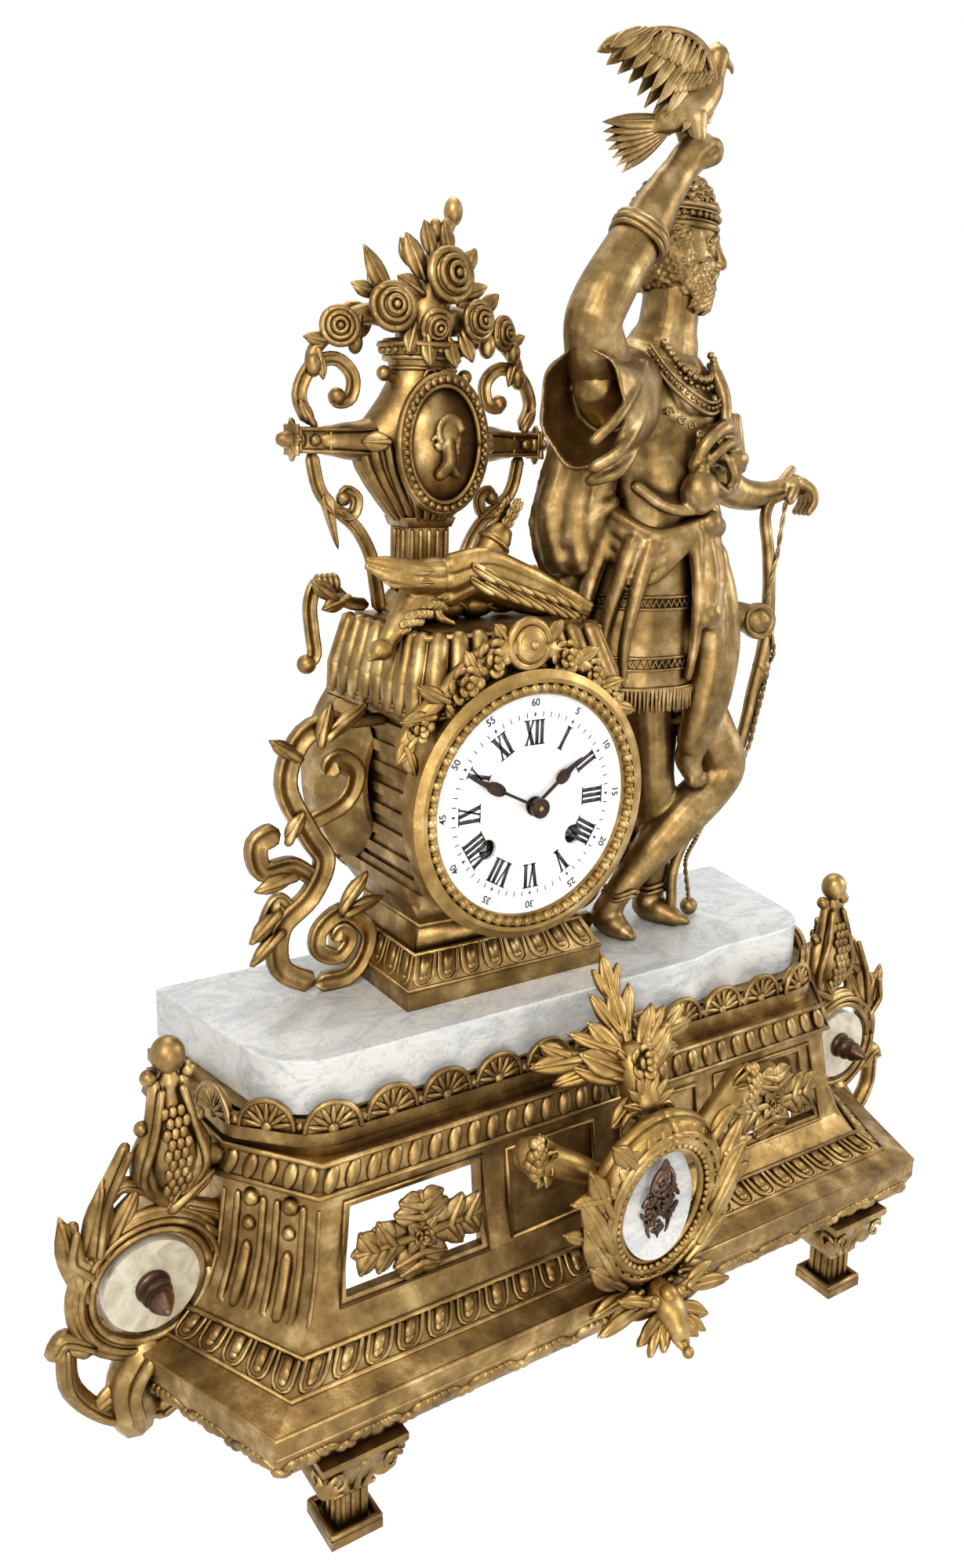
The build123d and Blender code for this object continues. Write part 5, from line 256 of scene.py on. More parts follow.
def make_finishes():
    """Makes every finish once, named for what the real one is."""
    finishes.update({
        # old fire-gilding: brown in the hollows, partly real dirt and partly painted shade, worn pale on the
        # raised work, a soft broken shine
        "gilt": gilt_material("aged_gilt_bronze", "#604a2b", "#937648", "#ccb07a", 0.4, 1.4),
        # better kept gilding of cartouche and garland: yellower and lighter than the castings round it
        "bright": gilt_material("bright_gilt_bronze", "#765c31", "#9f804b", "#cfb27a", 0.4, 1.2),
        # gilding gone brown on cloth and skin: darker and duller, with a coarser grain
        "figure": gilt_material("brown_gilt_bronze", "#5e4a2a", "#8a7046", "#bda276", 0.4, 1.6),
        # cool white stone with a polished face that mirrors the lamps softly
        "marble": marble_material(),
        # cream discs with a green cast and a sharp polish
        "onyx": onyx_material(),
        # ungilded bronze of plaque spray and knobs: reddish dark brown with small bright edges
        "copper": gilt_material("brown_bronze", "#33261e", "#5c463a", "#8a6d5c", 0.36, 1.2),
        # bluish white fired dial, smooth and glossy
        "enamel": plain_material("white_enamel", "#eceef2", "#f6f7f9", 0.0, 0.12, 30),
        # black figures fired into the enamel, a little less glossy than it
        "ink": plain_material("black_fired_enamel", "#15141a", "#211f26", 0.0, 0.3, 6),
        # hands browned by heat: nearly black brown with a dull gleam
        "steel": plain_material("browned_steel", "#2c211c", "#4a3a30", 0.9, 0.42, 5),
        # arbors and rods of plain grey steel with a long soft highlight
        "bare_steel": plain_material("bare_steel", "#7d7f83", "#9a9ca0", 1.0, 0.32, 8),
        # lacquered brass of plates and wheels: clean, even yellow
        "movement": plain_material("lacquered_brass", "#b08d46", "#cba75c", 1.0, 0.3, 12),
        # cast bell bronze turned bright, paler than the brass
        "bell": plain_material("bell_metal", "#a98a4a", "#c9a866", 1.0, 0.22, 12),
    })


CAD_FINISH = {
    "gilt": [
        "base_casting", "window_plaques", "gallery_rail", "feet", "side_ornament_left",
        "side_ornament_right", "case_plinth", "case_body", "case_cap", "rear_drum", "rear_door",
        "case_scroll_left", "case_scroll_right", "urn_stem", "urn_body", "urn_medallion", "urn_scrolls",
        "bouquet",
    ],
    "bright": [
        "cartouche_frame", "cartouche_crest", "cartouche_pendant", "bezel_ring", "bezel_garland", "trophy"
    ],
    "figure": ["figure_body", "figure_head", "raised_arm", "bow_arm", "falcon", "bow", "bowstring"],
    "marble": ["marble_slab", "cartouche_plaque"],
    "onyx": ["onyx_discs"],
    "copper": ["disc_knobs", "cartouche_ornament"],
    "enamel": ["dial"],
    "steel": ["hour_hand", "minute_hand", "hand_nut"],
    "bare_steel": [
        "foot_screws", "fixing_rods", "winding_arbor_going", "winding_arbor_strike", "pallet_crutch",
        "hammer", "rating_arbor",
    ],
    "movement": [
        "front_plate", "back_plate", "plate_pillars", "going_barrel", "strike_barrel", "centre_arbor",
        "intermediate_wheel", "third_wheel", "escape_wheel", "minute_wheel", "hour_wheel", "pendulum",
    ],
    "bell": ["bell"],
}


def shape_arrays(mesh):
    """Vertices and faces of a bmesh as arrays; frees the bmesh."""
    bmesh.ops.recalc_face_normals(mesh, faces=mesh.faces)
    mesh.verts.index_update()
    places = np.array([tuple(vert.co) for vert in mesh.verts])
    faces = [[vert.index for vert in face.verts] for face in mesh.faces]
    totals = np.array([len(face) for face in faces])
    corners = np.array([index for face in faces for index in face])
    mesh.free()
    return places, totals, corners


unit_shapes = {}


def unit_shape(kind, *counts):
    """Unit ball, rod, block, leaf or tube, made once and then only moved and stretched."""
    if (kind, *counts) not in unit_shapes:
        mesh = bmesh.new()
        if kind == "rod":
            bmesh.ops.create_cone(mesh, cap_ends=True, segments=counts[0], radius1=1, radius2=1, depth=1)
        elif kind == "block":
            bmesh.ops.create_cube(mesh, size=1)
        elif kind == "ball":
            bmesh.ops.create_uvsphere(mesh, u_segments=counts[0], v_segments=counts[1], radius=1)
        elif kind == "tube":
            rings, around = counts
            bmesh.ops.create_grid(mesh, x_segments=rings - 1, y_segments=around, size=0.5)
            for vert in mesh.verts:
                angle = tau * round((vert.co.y + 0.5) * around) / around
                vert.co = (cos(angle), sin(angle), round((vert.co.x + 0.5) * (rings - 1)))
            bmesh.ops.remove_doubles(mesh, verts=mesh.verts, dist=1e-4)
            bmesh.ops.holes_fill(mesh, edges=[edge for edge in mesh.edges if edge.is_boundary], sides=0)
        else:
            bmesh.ops.create_uvsphere(mesh, u_segments=14, v_segments=12, radius=1)
            for vert in mesh.verts:
                share = (vert.co.z + 1) / 2
                squeeze = 1.0 if share < 0.5 else max(0.2, 1 - 0.8 * ((share - 0.5) / 0.5) ** 2.4)
                vert.co.x *= squeeze
                groove = 0.35 * (1 - vert.co.x * vert.co.x) * (abs(vert.co.x) < 0.2)
                vert.co.y += 0.9 * max(0.0, share - 0.55) - groove
        unit_shapes[(kind, *counts)] = shape_arrays(mesh)
    return unit_shapes[(kind, *counts)]


class Cast:
    """Collects the forms of one piece and joins them into one mesh."""

    def __init__(self):
        self.places = {}
        self.loose = []

    def add(self, key, matrix, start=1.0, end=1.0):
        self.places.setdefault(key, []).append((np.array(matrix), start, end))

    def sphere(self, around, rows, radius, matrix=Matrix()):
        self.add(("ball", around, rows), matrix @ Matrix.Scale(radius, 4))

    def cone(self, around, start, end, depth, matrix=Matrix()):
        self.add(("rod", around), matrix @ Matrix.Diagonal((1, 1, depth, 1)), start, end)

    def block(self, matrix):
        self.add(("block",), matrix)

    def leaf(self, matrix):
        self.add(("leaf",), matrix)

    def tube(self, spots, radii, fine):
        """Round-ended tube through points, with a radius at each, both in metres."""
        line = [spot for i, spot in enumerate(spots) if not i or (spot - spots[i - 1]).length > 1e-7]
        sizes = [size for i, size in enumerate(radii) if not i or (spots[i] - spots[i - 1]).length > 1e-7]
        if len(line) < 2:
            return
        loop = (line[0] - line[-1]).length < 1e-6
        last = len(line) - 1
        before = [line[last - 1] if loop else line[0]] + line[:-1]
        after = line[1:] + [line[1] if loop else line[last]]
        along = [(b - a).normalized() for a, b in zip(before, after)]
        if not loop:
            head, tail = line[0], line[last]
            line = [head - along[0] * sizes[0] * 0.98, head - along[0] * sizes[0] * 0.7] + line
            line += [tail + along[-1] * sizes[-1] * 0.7, tail + along[-1] * sizes[-1] * 0.98]
            sizes = [sizes[0] * 0.22, sizes[0] * 0.72, *sizes, sizes[-1] * 0.72, sizes[-1] * 0.22]
            along = [along[0]] * 2 + along + [along[-1]] * 2
        side = along[0].orthogonal().normalized()
        sides = []
        for way in along:
            side = (side - way * side.dot(way)).normalized()
            sides.append(side)
        others = [way.cross(side) for way, side in zip(along, sides)]
        verts, totals, corners = unit_shape("tube", len(line), fine)
        row = np.round(verts[:, 2]).astype(int)
        spread = np.array(sides)[row] * verts[:, :1] + np.array(others)[row] * verts[:, 1:2]
        self.loose.append((np.array(line)[row] + spread * np.array(sizes)[row][:, None], totals, corners))

    def take(self, mesh):
        self.loose.append(shape_arrays(mesh))

    def data(self, name):
        """Joins everything into one mesh datablock."""
        groups = list(self.loose)
        for key, entries in self.places.items():
            verts, totals, corners = unit_shape(*key)
            matrices = np.array([entry[0] for entry in entries])
            taper = np.array([entry[1:] for entry in entries])
            local = np.repeat(verts[None], len(entries), axis=0)
            if key[0] == "rod":
                share = local[:, :, 2:3] + 0.5
                local[:, :, :2] *= taper[:, None, 0:1] * (1 - share) + taper[:, None, 1:2] * share
            spots = np.einsum("nij,nvj->nvi", matrices[:, :3, :3], local) + matrices[:, None, :3, 3]
            flipped = np.linalg.det(matrices[:, :3, :3]) < 0
            ends = np.cumsum(totals)
            order = np.concatenate(
                [np.arange(end - 1, end - total - 1, -1) for end, total in zip(ends, totals)]
            )
            for turned in (False, True):
                chosen = spots[flipped == turned]
                if len(chosen):
                    loop = corners[order] if turned else corners
                    steps = np.arange(len(chosen))[:, None] * len(verts)
                    groups.append(
                        (chosen.reshape(-1, 3), np.tile(totals, len(chosen)), (loop[None] + steps).ravel())
                    )
        data = bpy.data.meshes.new(name)
        sizes = [len(group[0]) for group in groups]
        starts = np.concatenate([[0], np.cumsum(sizes)])
        totals = np.concatenate([group[1] for group in groups])
        corners = np.concatenate([group[2] + start for group, start in zip(groups, starts)])
        data.vertices.add(int(starts[-1]))
        data.vertices.foreach_set("co", np.concatenate([group[0] for group in groups]).ravel())
        data.loops.add(len(corners))
        data.loops.foreach_set("vertex_index", corners)
        data.polygons.add(len(totals))
        data.polygons.foreach_set("loop_start", np.concatenate([[0], np.cumsum(totals)[:-1]]))
        data.update(calc_edges=True)
        return data


def finished(mesh, name, finish, body=FIXED, replaced=(), smooth=True):
    """Object made of a cast, with its finish, riding on its body and standing for its CAD nodes."""
    data = mesh.data(name)
    if smooth:
        data.shade_smooth()
    data.materials.append(finishes[finish])
    piece = linked(name, data)
    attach(piece, body)
    if replaced:
        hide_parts(*replaced)
    return piece


def modelled(mesh, name, finish, voxel, rounds, replaced=()):
    """Fuses overlapping masses into one skin, as wax is before casting, and smooths it."""
    piece = finished(mesh, name, finish, replaced=replaced)
    fuse = piece.modifiers.new("fuse", "REMESH")
    fuse.mode = "VOXEL"
    fuse.voxel_size = voxel * MM
    fuse.use_smooth_shade = True
    soften = piece.modifiers.new("soften", "SMOOTH")
    soften.factor = 0.5
    soften.iterations = rounds
    graph = bpy.context.evaluated_depsgraph_get()
    skin = bpy.data.meshes.new_from_object(piece.evaluated_get(graph))
    piece.modifiers.clear()
    piece.data = skin
    skin.shade_smooth()


def frame_along(tail, tip):
    """Matrix at tail whose z axis points to tip."""
    return Matrix.Translation(tail) @ turned_to(tip - tail)


def ball(mesh, x, y, z, radius, shape=(1, 1, 1), turn=None, fine=10):
    """Ball or egg; shape gives its stretch and turn its rotation."""
    matrix = Matrix.Translation(at(x, y, z)) @ (turn or Matrix()) @ Matrix.Diagonal((*shape, 1))
    mesh.sphere(fine + 4, fine, radius * MM, matrix)


def limb(mesh, stations, fine=14):
    """Smooth tapering limb through stations of x, y, z and radius in millimetres."""
    line = curve_points([station[:3] for station in stations], 4)
    sizes = [
        (one[3] + (two[3] - one[3]) * (0.5 - 0.5 * cos(pi * i / 4))) * MM
        for one, two in zip(stations, stations[1:]) for i in range(4)
    ]
    mesh.tube(line, sizes + [stations[-1][3] * MM], fine)


def leaf(mesh, base, tip, width, thickness=1.6, facing=(0, -1, 0), rib=True):
    """Leaf lying between two points, broad side towards facing, with a raised middle rib."""
    tail, end = at(*base), at(*tip)
    along = (end - tail).normalized()
    across = along.cross(Vector(facing)).normalized()
    out = across.cross(along)
    length = (end - tail).length
    size = (width * MM / 2, thickness * MM / 2, length * 0.52)
    mesh.leaf(placed(tail.lerp(end, 0.5), basis(across, out, along), *size))
    if rib:
        ridge = out * thickness * MM * 0.35
        start, stop = tail + ridge, tail.lerp(end, 0.92) + ridge * 0.6
        limb(mesh, [(*datum(start), thickness * 0.45), (*datum(stop), thickness * 0.25)], 8)


def leaves(mesh, rows, thickness, facing=(0, -1, 0), put=tuple):
    """Leaves from rows of base, tip and width; put moves each point to its place."""
    for base, tip, width in rows:
        leaf(mesh, put(base), put(tip), width, thickness, facing)


def balls(mesh, rows, shape=(1, 1, 1)):
    """Balls from rows of x, y, z and radius."""
    for row in rows:
        ball(mesh, *row, shape)


def lathe(piece, centre, axis, profile, steps=32):
    """Turned form: profile points of radius and length along an axis from a centre, in millimetres."""
    matrix = frame_along(at(*centre), at(*centre) + Vector(axis))
    mesh = bmesh.new()
    verts = [mesh.verts.new(matrix @ Vector((radius * MM, 0, reach * MM))) for radius, reach in profile]
    edges = [mesh.edges.new(pair) for pair in zip(verts, verts[1:])]
    bmesh.ops.spin(
        mesh, geom=verts + edges, cent=matrix.translation, axis=matrix.to_3x3() @ UP,
        angle=tau, steps=steps, use_merge=True, use_duplicate=False,
    )
    bmesh.ops.remove_doubles(mesh, verts=mesh.verts, dist=1e-7)
    piece.take(mesh)


def flower(mesh, x, y, z, radius, facing=(0, -1, 0), petals=6):
    """Round flower: two rings of petals and a button."""
    front = Vector(facing).normalized()
    turn = turned_to(front)
    centre = at(x, y, z)
    for tier, (reach, size, lift, count) in enumerate(
        ((0.66, 0.42, 0.0, petals), (0.34, 0.3, 0.28, max(3, petals - 2)))
    ):
        for i in range(count):
            angle = tau * (i + tier * 0.5) / count
            spot = Matrix.Translation(centre) @ turn @ Matrix.Rotation(angle, 4, "Z")
            spot = spot @ Matrix.Translation((reach * radius * MM, 0, lift * radius * MM))
            spot = spot @ Matrix.Rotation(-0.5, 4, "Y") @ Matrix.Diagonal((1.0, 1.05, 0.42, 1))
            mesh.sphere(12, 8, size * radius * MM, spot)
    top = centre + front * radius * MM * 0.35
    mesh.sphere(10, 8, radius * MM * 0.22, Matrix.Translation(top))


def wire(mesh, points, radius, fine=6, end_radius=None):
    """Round wire through points given in metres, tapering to end_radius in millimetres."""
    last = radius if end_radius is None else end_radius
    count = max(1, len(points) - 1)
    mesh.tube(list(points), [(radius + (last - radius) * i / count) * MM for i in range(len(points))], fine)


def curve_points(points, steps=6):
    """Smooth line in metres through points given in millimetres."""
    spots = [at(*p) for p in points]
    ends = [spots[0] * 2 - spots[1]] + spots + [spots[-1] * 2 - spots[-2]]
    line = []
    for a, b, c, d in zip(ends, ends[1:], ends[2:], ends[3:]):
        for i in range(steps):
            t = i / steps
            line.append(
                0.5 * (2 * b + (c - a) * t + (2 * a - 5 * b + 4 * c - d) * t * t
                       + (3 * b - a - 3 * c + d) * t ** 3)
            )
    line.append(spots[-1])
    return line


MOULDING = [
    (-1.0, -0.6), (-1.0, 0.15), (-0.93, 0.48), (-0.74, 0.62), (-0.54, 0.5), (-0.3, 0.2), (0.0, 0.08),
    (0.3, 0.2), (0.54, 0.5), (0.74, 0.62), (0.93, 0.48), (1.0, 0.15), (1.0, -0.6),
]


def moulded_stroke(piece, line, width, end_width, depth=0.75, facing=(0, -1, 0)):
    """Cast scroll: a band with a rounded ridge along each edge, swept along a line in metres."""
    count, around = len(line) - 1, len(MOULDING)
    reach = [0.0]
    for tail, tip in zip(line, line[1:]):
        reach.append(reach[-1] + (tip - tail).length)
    mesh = bmesh.new()
    bmesh.ops.create_grid(mesh, x_segments=count, y_segments=around, size=0.5)
    out = Vector(facing).normalized()
    for vert in mesh.verts:
        i, k = round((vert.co.x + 0.5) * count), round((vert.co.y + 0.5) * around) % around
        along = (line[min(i + 1, count)] - line[max(i - 1, 0)]).normalized()
        half = (width + (end_width - width) * reach[i] / reach[-1]) / 2 * MM
        near = min(reach[i], reach[-1] - reach[i]) / half
        taper = 1.0 if near > 1 else 0.25 + 0.75 * sqrt(max(0.0, 1 - (1 - near) ** 2))
        sideways, outward = MOULDING[k]
        across = along.cross(out).normalized()
        vert.co = line[i] + across * sideways * half * taper + out * outward * half * depth * taper
    bmesh.ops.remove_doubles(mesh, verts=mesh.verts, dist=1e-7)
    bmesh.ops.holes_fill(mesh, edges=[edge for edge in mesh.edges if edge.is_boundary], sides=0)
    piece.take(mesh)


def base_line(inset, z, front_inset=None, back=46.0):
    """Outline of the base at a height, from the back left round the front to the back right."""
    right = [
        (176.5 - inset, -(91.7 - (inset if front_inset is None else front_inset)), z),
        (203.0 - inset, -20, z),
        (203.0 - inset + 5, back, z),
    ]
    return [at(-x, y, z) for x, y, z in reversed(right)] + [at(*p) for p in right]


def row_places(low, high, pitch):
    """Foot, head, sideways and outward directions of each unit of a carved row."""
    for i in range(len(low) - 1):
        length = (low[i + 1] - low[i]).length
        count = max(1, round(length / (pitch * MM)))
        for n in range(count):
            share = (n + 0.5) / count
            foot = low[i].lerp(low[i + 1], share)
            head = high[i].lerp(high[i + 1], share)
            across = (low[i + 1] - low[i]).normalized()
            up = (head - foot).normalized()
            yield foot, head, across, across.cross(up).normalized(), length / count


def tongue(mesh, foot, head, across, out, width, proud=1.3):
    """Raised tongue with a round lower end inside a U-shaped rim."""
    up = (head - foot).normalized()
    turn = basis(across, out, up)
    half = width * 0.3
    start = foot + up * half
    length = max(1e-4, (head - start).length)
    mesh.cone(12, 1, 1, length, placed(start + up * length / 2, turn, half * 0.62, proud * MM, 1))
    mesh.sphere(12, 6, 1, placed(start, turn, half * 0.62, proud * MM, half * 0.62))
    rim = half * 1.22
    arc = [start + across * rim * cos(a) + up * rim * sin(a) * 0.9
           for a in (pi * (1 + k / 5) for k in range(6))]
    line = [head - across * rim] + arc + [head + across * rim]
    wire(mesh, [p + out * 0.2 * MM for p in line], width * 0.075 / MM, 5)


def base_carving():
    """Carved rows of the base: tongues, fluting, leaf border, flutes of the canted ends."""
    settings = bpy.context.scene.clock_settings
    mesh = Cast()
    for place in row_places(base_line(12.5, 71.4), base_line(20, 78.2), settings.tongue_pitch / MM):
        tongue(mesh, *place, settings.carving_depth / MM)
    for foot, head, across, out, width in row_places(base_line(34.3, 135.5), base_line(37.2, 145.8), 9.6):
        turn = basis(across, out, (head - foot).normalized()) @ Matrix.Rotation(0.16, 4, "Y")
        size = (width * 0.36, 1.9 * MM, (head - foot).length * 0.52)
        mesh.sphere(12, 8, 1, placed(foot.lerp(head, 0.5), turn, *size))
    for low, radius in ((base_line(34, 135), 1.2), (base_line(37, 146.6), 1.3),
                        (base_line(11.2, 71), 1.3), (base_line(20.6, 79), 1.2),
                        (base_line(0.6, 59), 1), (base_line(0.4, 67.2), 1.1)):
        wire(mesh, low, radius, 8)
    finished(mesh, "base_carved_rows", "gilt")
    skirt_border(settings.carving_depth)
    canted_flutes()
    centre_panels()


def skirt_border(depth):
    """Leaf border round the foot of the base: a bud between curled leaves at each pitch."""
    mesh = Cast()
    for foot, head, across, out, width in row_places(base_line(4.4, 47.5), base_line(0.2, 57.5), 26):
        turn = basis(across, out, (head - foot).normalized())
        middle = foot.lerp(head, 0.5)
        for offset, lift, size, lean in (
            (0, -0.4, (0.15, 1.5, 4.6), 0), (-0.17, 0.6, (0.1, 1.3, 4.4), 0.6),
            (0.17, 0.6, (0.1, 1.3, 4.4), -0.6),
            (-0.31, 1.6, (0.085, 1.2, 4.2), 1), (0.31, 1.6, (0.085, 1.2, 4.2), -1),
            (-0.44, -2.2, (0.13, 1.5, 2.6), 0.3), (0.44, -2.2, (0.13, 1.5, 2.6), -0.3),
        ):
            spot = middle + across * offset * width + turn.to_3x3() @ Vector((0, 0, lift * MM))
            shape = (size[0] * width, size[1] * depth, size[2] * MM)
            mesh.sphere(10, 7, 1, placed(spot, turn @ Matrix.Rotation(lean, 4, "Y"), *shape))
    finished(mesh, "base_leaf_border", "gilt")


def canted_flutes():
    """Two round-bottomed flutes with three diminishing beads on each canted end of the base."""
    mesh = Cast()
    rows = [(85, 27.2), (95, 30.8), (105, 33.5), (116, 34.9), (127, 36.2)]
    for side in (-1, 1):
        def spot(share, index, proud=0.4):
            z, inset = rows[index]
            nose = Vector((176.5 - inset, -(91.7 - inset), z))
            end = Vector((203.0 - inset, -20, z))
            place = nose.lerp(end, share)
            away = Vector((71.7, -26.5, 0)).normalized() * proud
            return at(side * (place.x + away.x), place.y + away.y, z)
        for middle in (0.3, 0.7):
            left = [spot(middle - 0.13, i) for i in range(5)]
            right = [spot(middle + 0.13, i) for i in range(5)]
            foot = [left[0].lerp(right[0], k / 6) - Vector((0, 0, sin(pi * k / 6) * 5 * MM))
                    for k in range(7)]
            wire(mesh, list(reversed(left)) + foot[1:-1] + right, 1.7, 8)
            for index, radius, flat in ((4, 4, 1), (3, 3.2, 1), (2, 2.5, 1.6)):
                place = spot(middle, index, 0)
                mesh.sphere(12, 8, radius * MM, Matrix.Translation(place) @ Matrix.Diagonal((1, 1, flat, 1)))
            wire(mesh, [spot(middle, i, 0.2) for i in (2, 1, 0)], 2.6, 10)
        for share in (0.02, 0.98):
            wire(mesh, [spot(share, i, 0.1) for i in range(5)], 1.2, 6)
    finished(mesh, "base_end_flutes", "gilt")


def centre_panels():
    """Moulded edges round the windows and the sunk panel in the middle of the base front."""
    mesh = Cast()
    def face(x, z):
        share = (z - 88) / 47.0
        inset = 28.5 + 8.5 * min(1, max(0, share)) ** 0.7
        return at(x, -(91.7 - inset) - 0.3, z)
    for side in (-1, 1):
        corners = [(side * 66, 88.5), (side * 136, 88.5), (side * 130.5, 128.5), (side * 66, 128.5)]
        wire(mesh, [face(*p) for p in corners + corners[:1]], 1, 6)
        inner = [(side * 54, 90), (side * 8, 90), (side * 8, 127.5), (side * 54, 127.5)]
        wire(mesh, [face(*p) for p in inner + inner[:1]], 1.4, 6)
    finished(mesh, "base_panel_mouldings", "gilt")


def window_leaves():
    """Pierced plaque of each window: four lobed leaves round a square boss with a flower."""
    mesh = Cast()
    for side in (-1, 1):
        cx, cz, y = side * 99.75, 108.5, -62.0
        for dx, dz, reach, width in ((1, 0, 31, 20), (-1, 0, 31, 20), (0, 1, 18.5, 22), (0, -1, 18.5, 22)):
            base = (cx + dx * 3, y, cz + dz * 3)
            leaf(mesh, base, (cx + dx * reach, y, cz + dz * reach), width, 5)
            for k in (-1, 1):
                for share, size in ((0.42, 0.42), (0.68, 0.34)):
                    foot = (cx + dx * reach * share, y - 1, cz + dz * reach * share)
                    tip = (
                        foot[0] + dx * reach * 0.22 + k * dz * width * size * 1.35, y - 0.6,
                        foot[2] + dz * reach * 0.22 + k * dx * width * size * 1.35,
                    )
                    leaf(mesh, foot, tip, width * 0.5, 4.4)
        for k in range(4):
            angle = pi / 4 + k * pi / 2
            tip = (cx + 9.5 * cos(angle), y - 2, cz + 9.5 * sin(angle))
            leaf(mesh, (cx, y - 2.4, cz), tip, 6.5, 3)
        flower(mesh, cx, y - 3.5, cz, 4.6, petals=5)
    finished(mesh, "window_leaf_plaques", "gilt", replaced=["window_plaques"])


def rail_scallops():
    """Shell on each scallop of the gallery rail: rays inside a rolled rim."""
    mesh = Cast()
    path = base_line(41, 155, 47, 4)
    corners = []
    for i, point in enumerate(path):
        if i in (0, len(path) - 1):
            corners.append(point)
            continue
        radius = (14.0 if i in (1, 4) else 28) * MM
        before = (path[i - 1] - point).normalized()
        after = (path[i + 1] - point).normalized()
        angle = before.angle(after)
        cut = radius / tan(angle / 2)
        centre = point + (before + after).normalized() * radius / sin(angle / 2)
        start, stop = point + before * cut, point + after * cut
        for k in range(9):
            spot = start.lerp(stop, k / 8) - centre
            corners.append(centre + spot.normalized() * radius)
    lengths = [(b - a).length for a, b in zip(corners, corners[1:])]
    total = sum(lengths)
    def along(distance):
        for (a, b), length in zip(zip(corners, corners[1:]), lengths):
            if distance <= length:
                return a.lerp(b, distance / length), (b - a).normalized()
            distance -= length
        return corners[-1], (corners[-1] - corners[-2]).normalized()
    count = bpy.context.scene.clock_settings.scallop_count
    for i in range(count):
        spot, across = along((i + 0.5) / count * total)
        out = across.cross(UP)
        centre = spot + out * 1.7 * MM + Vector((0, 0, 0.6 * MM))
        radius = 11.4 * MM
        rim = [centre + (across * cos(a) + UP * sin(a) * 1.02) * radius
               for a in (pi * k / 10 for k in range(11))]
        wire(mesh, rim, 1.25, 6)
        for k in range(7):
            angle = pi * (k + 0.5) / 7
            direction = across * cos(angle) + UP * sin(angle)
            place = frame_along(centre, centre + direction) @ Matrix.Translation((0, 0, radius * 0.56))
            mesh.sphere(8, 6, 1, place @ Matrix.Diagonal((1.35 * MM, 1.35 * MM, radius * 0.4, 1)))
        mesh.sphere(10, 6, 2.6 * MM, placed(centre, basis(across, out, UP), 1, 0.6, 1))
        knob = along(i / count * total)[0] + out * 1.6 * MM + Vector((0, 0, 2.4 * MM))
        mesh.sphere(8, 6, 1.9 * MM, Matrix.Translation(knob))
    wire(mesh, [c + Vector((0, 0, 0.5 * MM)) for c in corners], 1.6, 6)
    finished(mesh, "rail_shells", "gilt")


def foot_carving():
    """Capital leaves, volutes and fluting on the four feet."""
    mesh = Cast()
    for x, y in ((-139.5, -73.75), (139.5, -73.75), (-176, 36), (176, 36)):
        for k in range(4):
            angle = k * pi / 2
            dx, dy = cos(angle), sin(angle)
            px, py = -dy, dx
            leaf(mesh, (x + dx * 8, y + dy * 8, 24), (x + dx * 15, y + dy * 15, 41), 11, 4, (dx, dy, 0.1))
            ball(mesh, x + dx * 15.5, y + dy * 15.5, 40.5, 3, (1, 1, 0.8))
            for side in (-1, 1):
                tip = (x + dx * 13.5 + px * side * 9, y + dy * 13.5 + py * side * 9, 39)
                leaf(
                    mesh, (x + dx * 8 + px * side * 4, y + dy * 8 + py * side * 4, 23), tip, 8, 3.6,
                    (dx, dy, 0.1)
                )
                curl = [
                    (
                        x + dx * 17.5 + px * side * (11.5 + 4.2 * u),
                        y + dy * 17.5 + py * side * (11.5 + 4.2 * u), 36 + 4.6 * v
                    )
                    for u, v in coil(0.7, 0.09, 9, 0.5)
                ]
                wire(mesh, curve_points(curl, 2), 1.3, 6, 0.8)
            for offset in (-4.2, 0, 4.2):
                low = at(x + dx * 7.0 + px * offset, y + dy * 7.0 + py * offset, 7.5)
                high = at(x + dx * 7.0 + px * offset, y + dy * 7.0 + py * offset, 20)
                wire(mesh, [low, high], 1.1, 6)
            for z, reach, size in ((5.2, 10.2, 1.4), (21.5, 8.2, 1.2), (26, 8.6, 1.2)):
                ends = [
                    at(x + dx * reach + px * s * reach, y + dy * reach + py * s * reach, z) for s in (-1, 1)
                ]
                wire(mesh, ends, size, 6)
    finished(mesh, "foot_carving", "gilt")


def beads_along(mesh, line, pitch, radius, fine=8):
    """Row of beads at a pitch in millimetres along a line given in metres."""
    rest = 0.0
    for tail, tip in zip(line, line[1:]):
        length = (tip - tail).length
        place = rest
        while place < length:
            spot = tail.lerp(tip, place / length)
            mesh.sphere(fine, 6, radius * MM, Matrix.Translation(spot))
            place += pitch * MM
        rest = place - length


def leaned(x, z, proud=0.0):
    """Point on the leaning face of the cartouche, x and z from its middle, in datum millimetres."""
    upright, sloped = cos(PLAQUE_LEAN), sin(PLAQUE_LEAN)
    return x, PLAQUE_Y - proud * upright - z * sloped, PLAQUE_Z + z * upright - proud * sloped


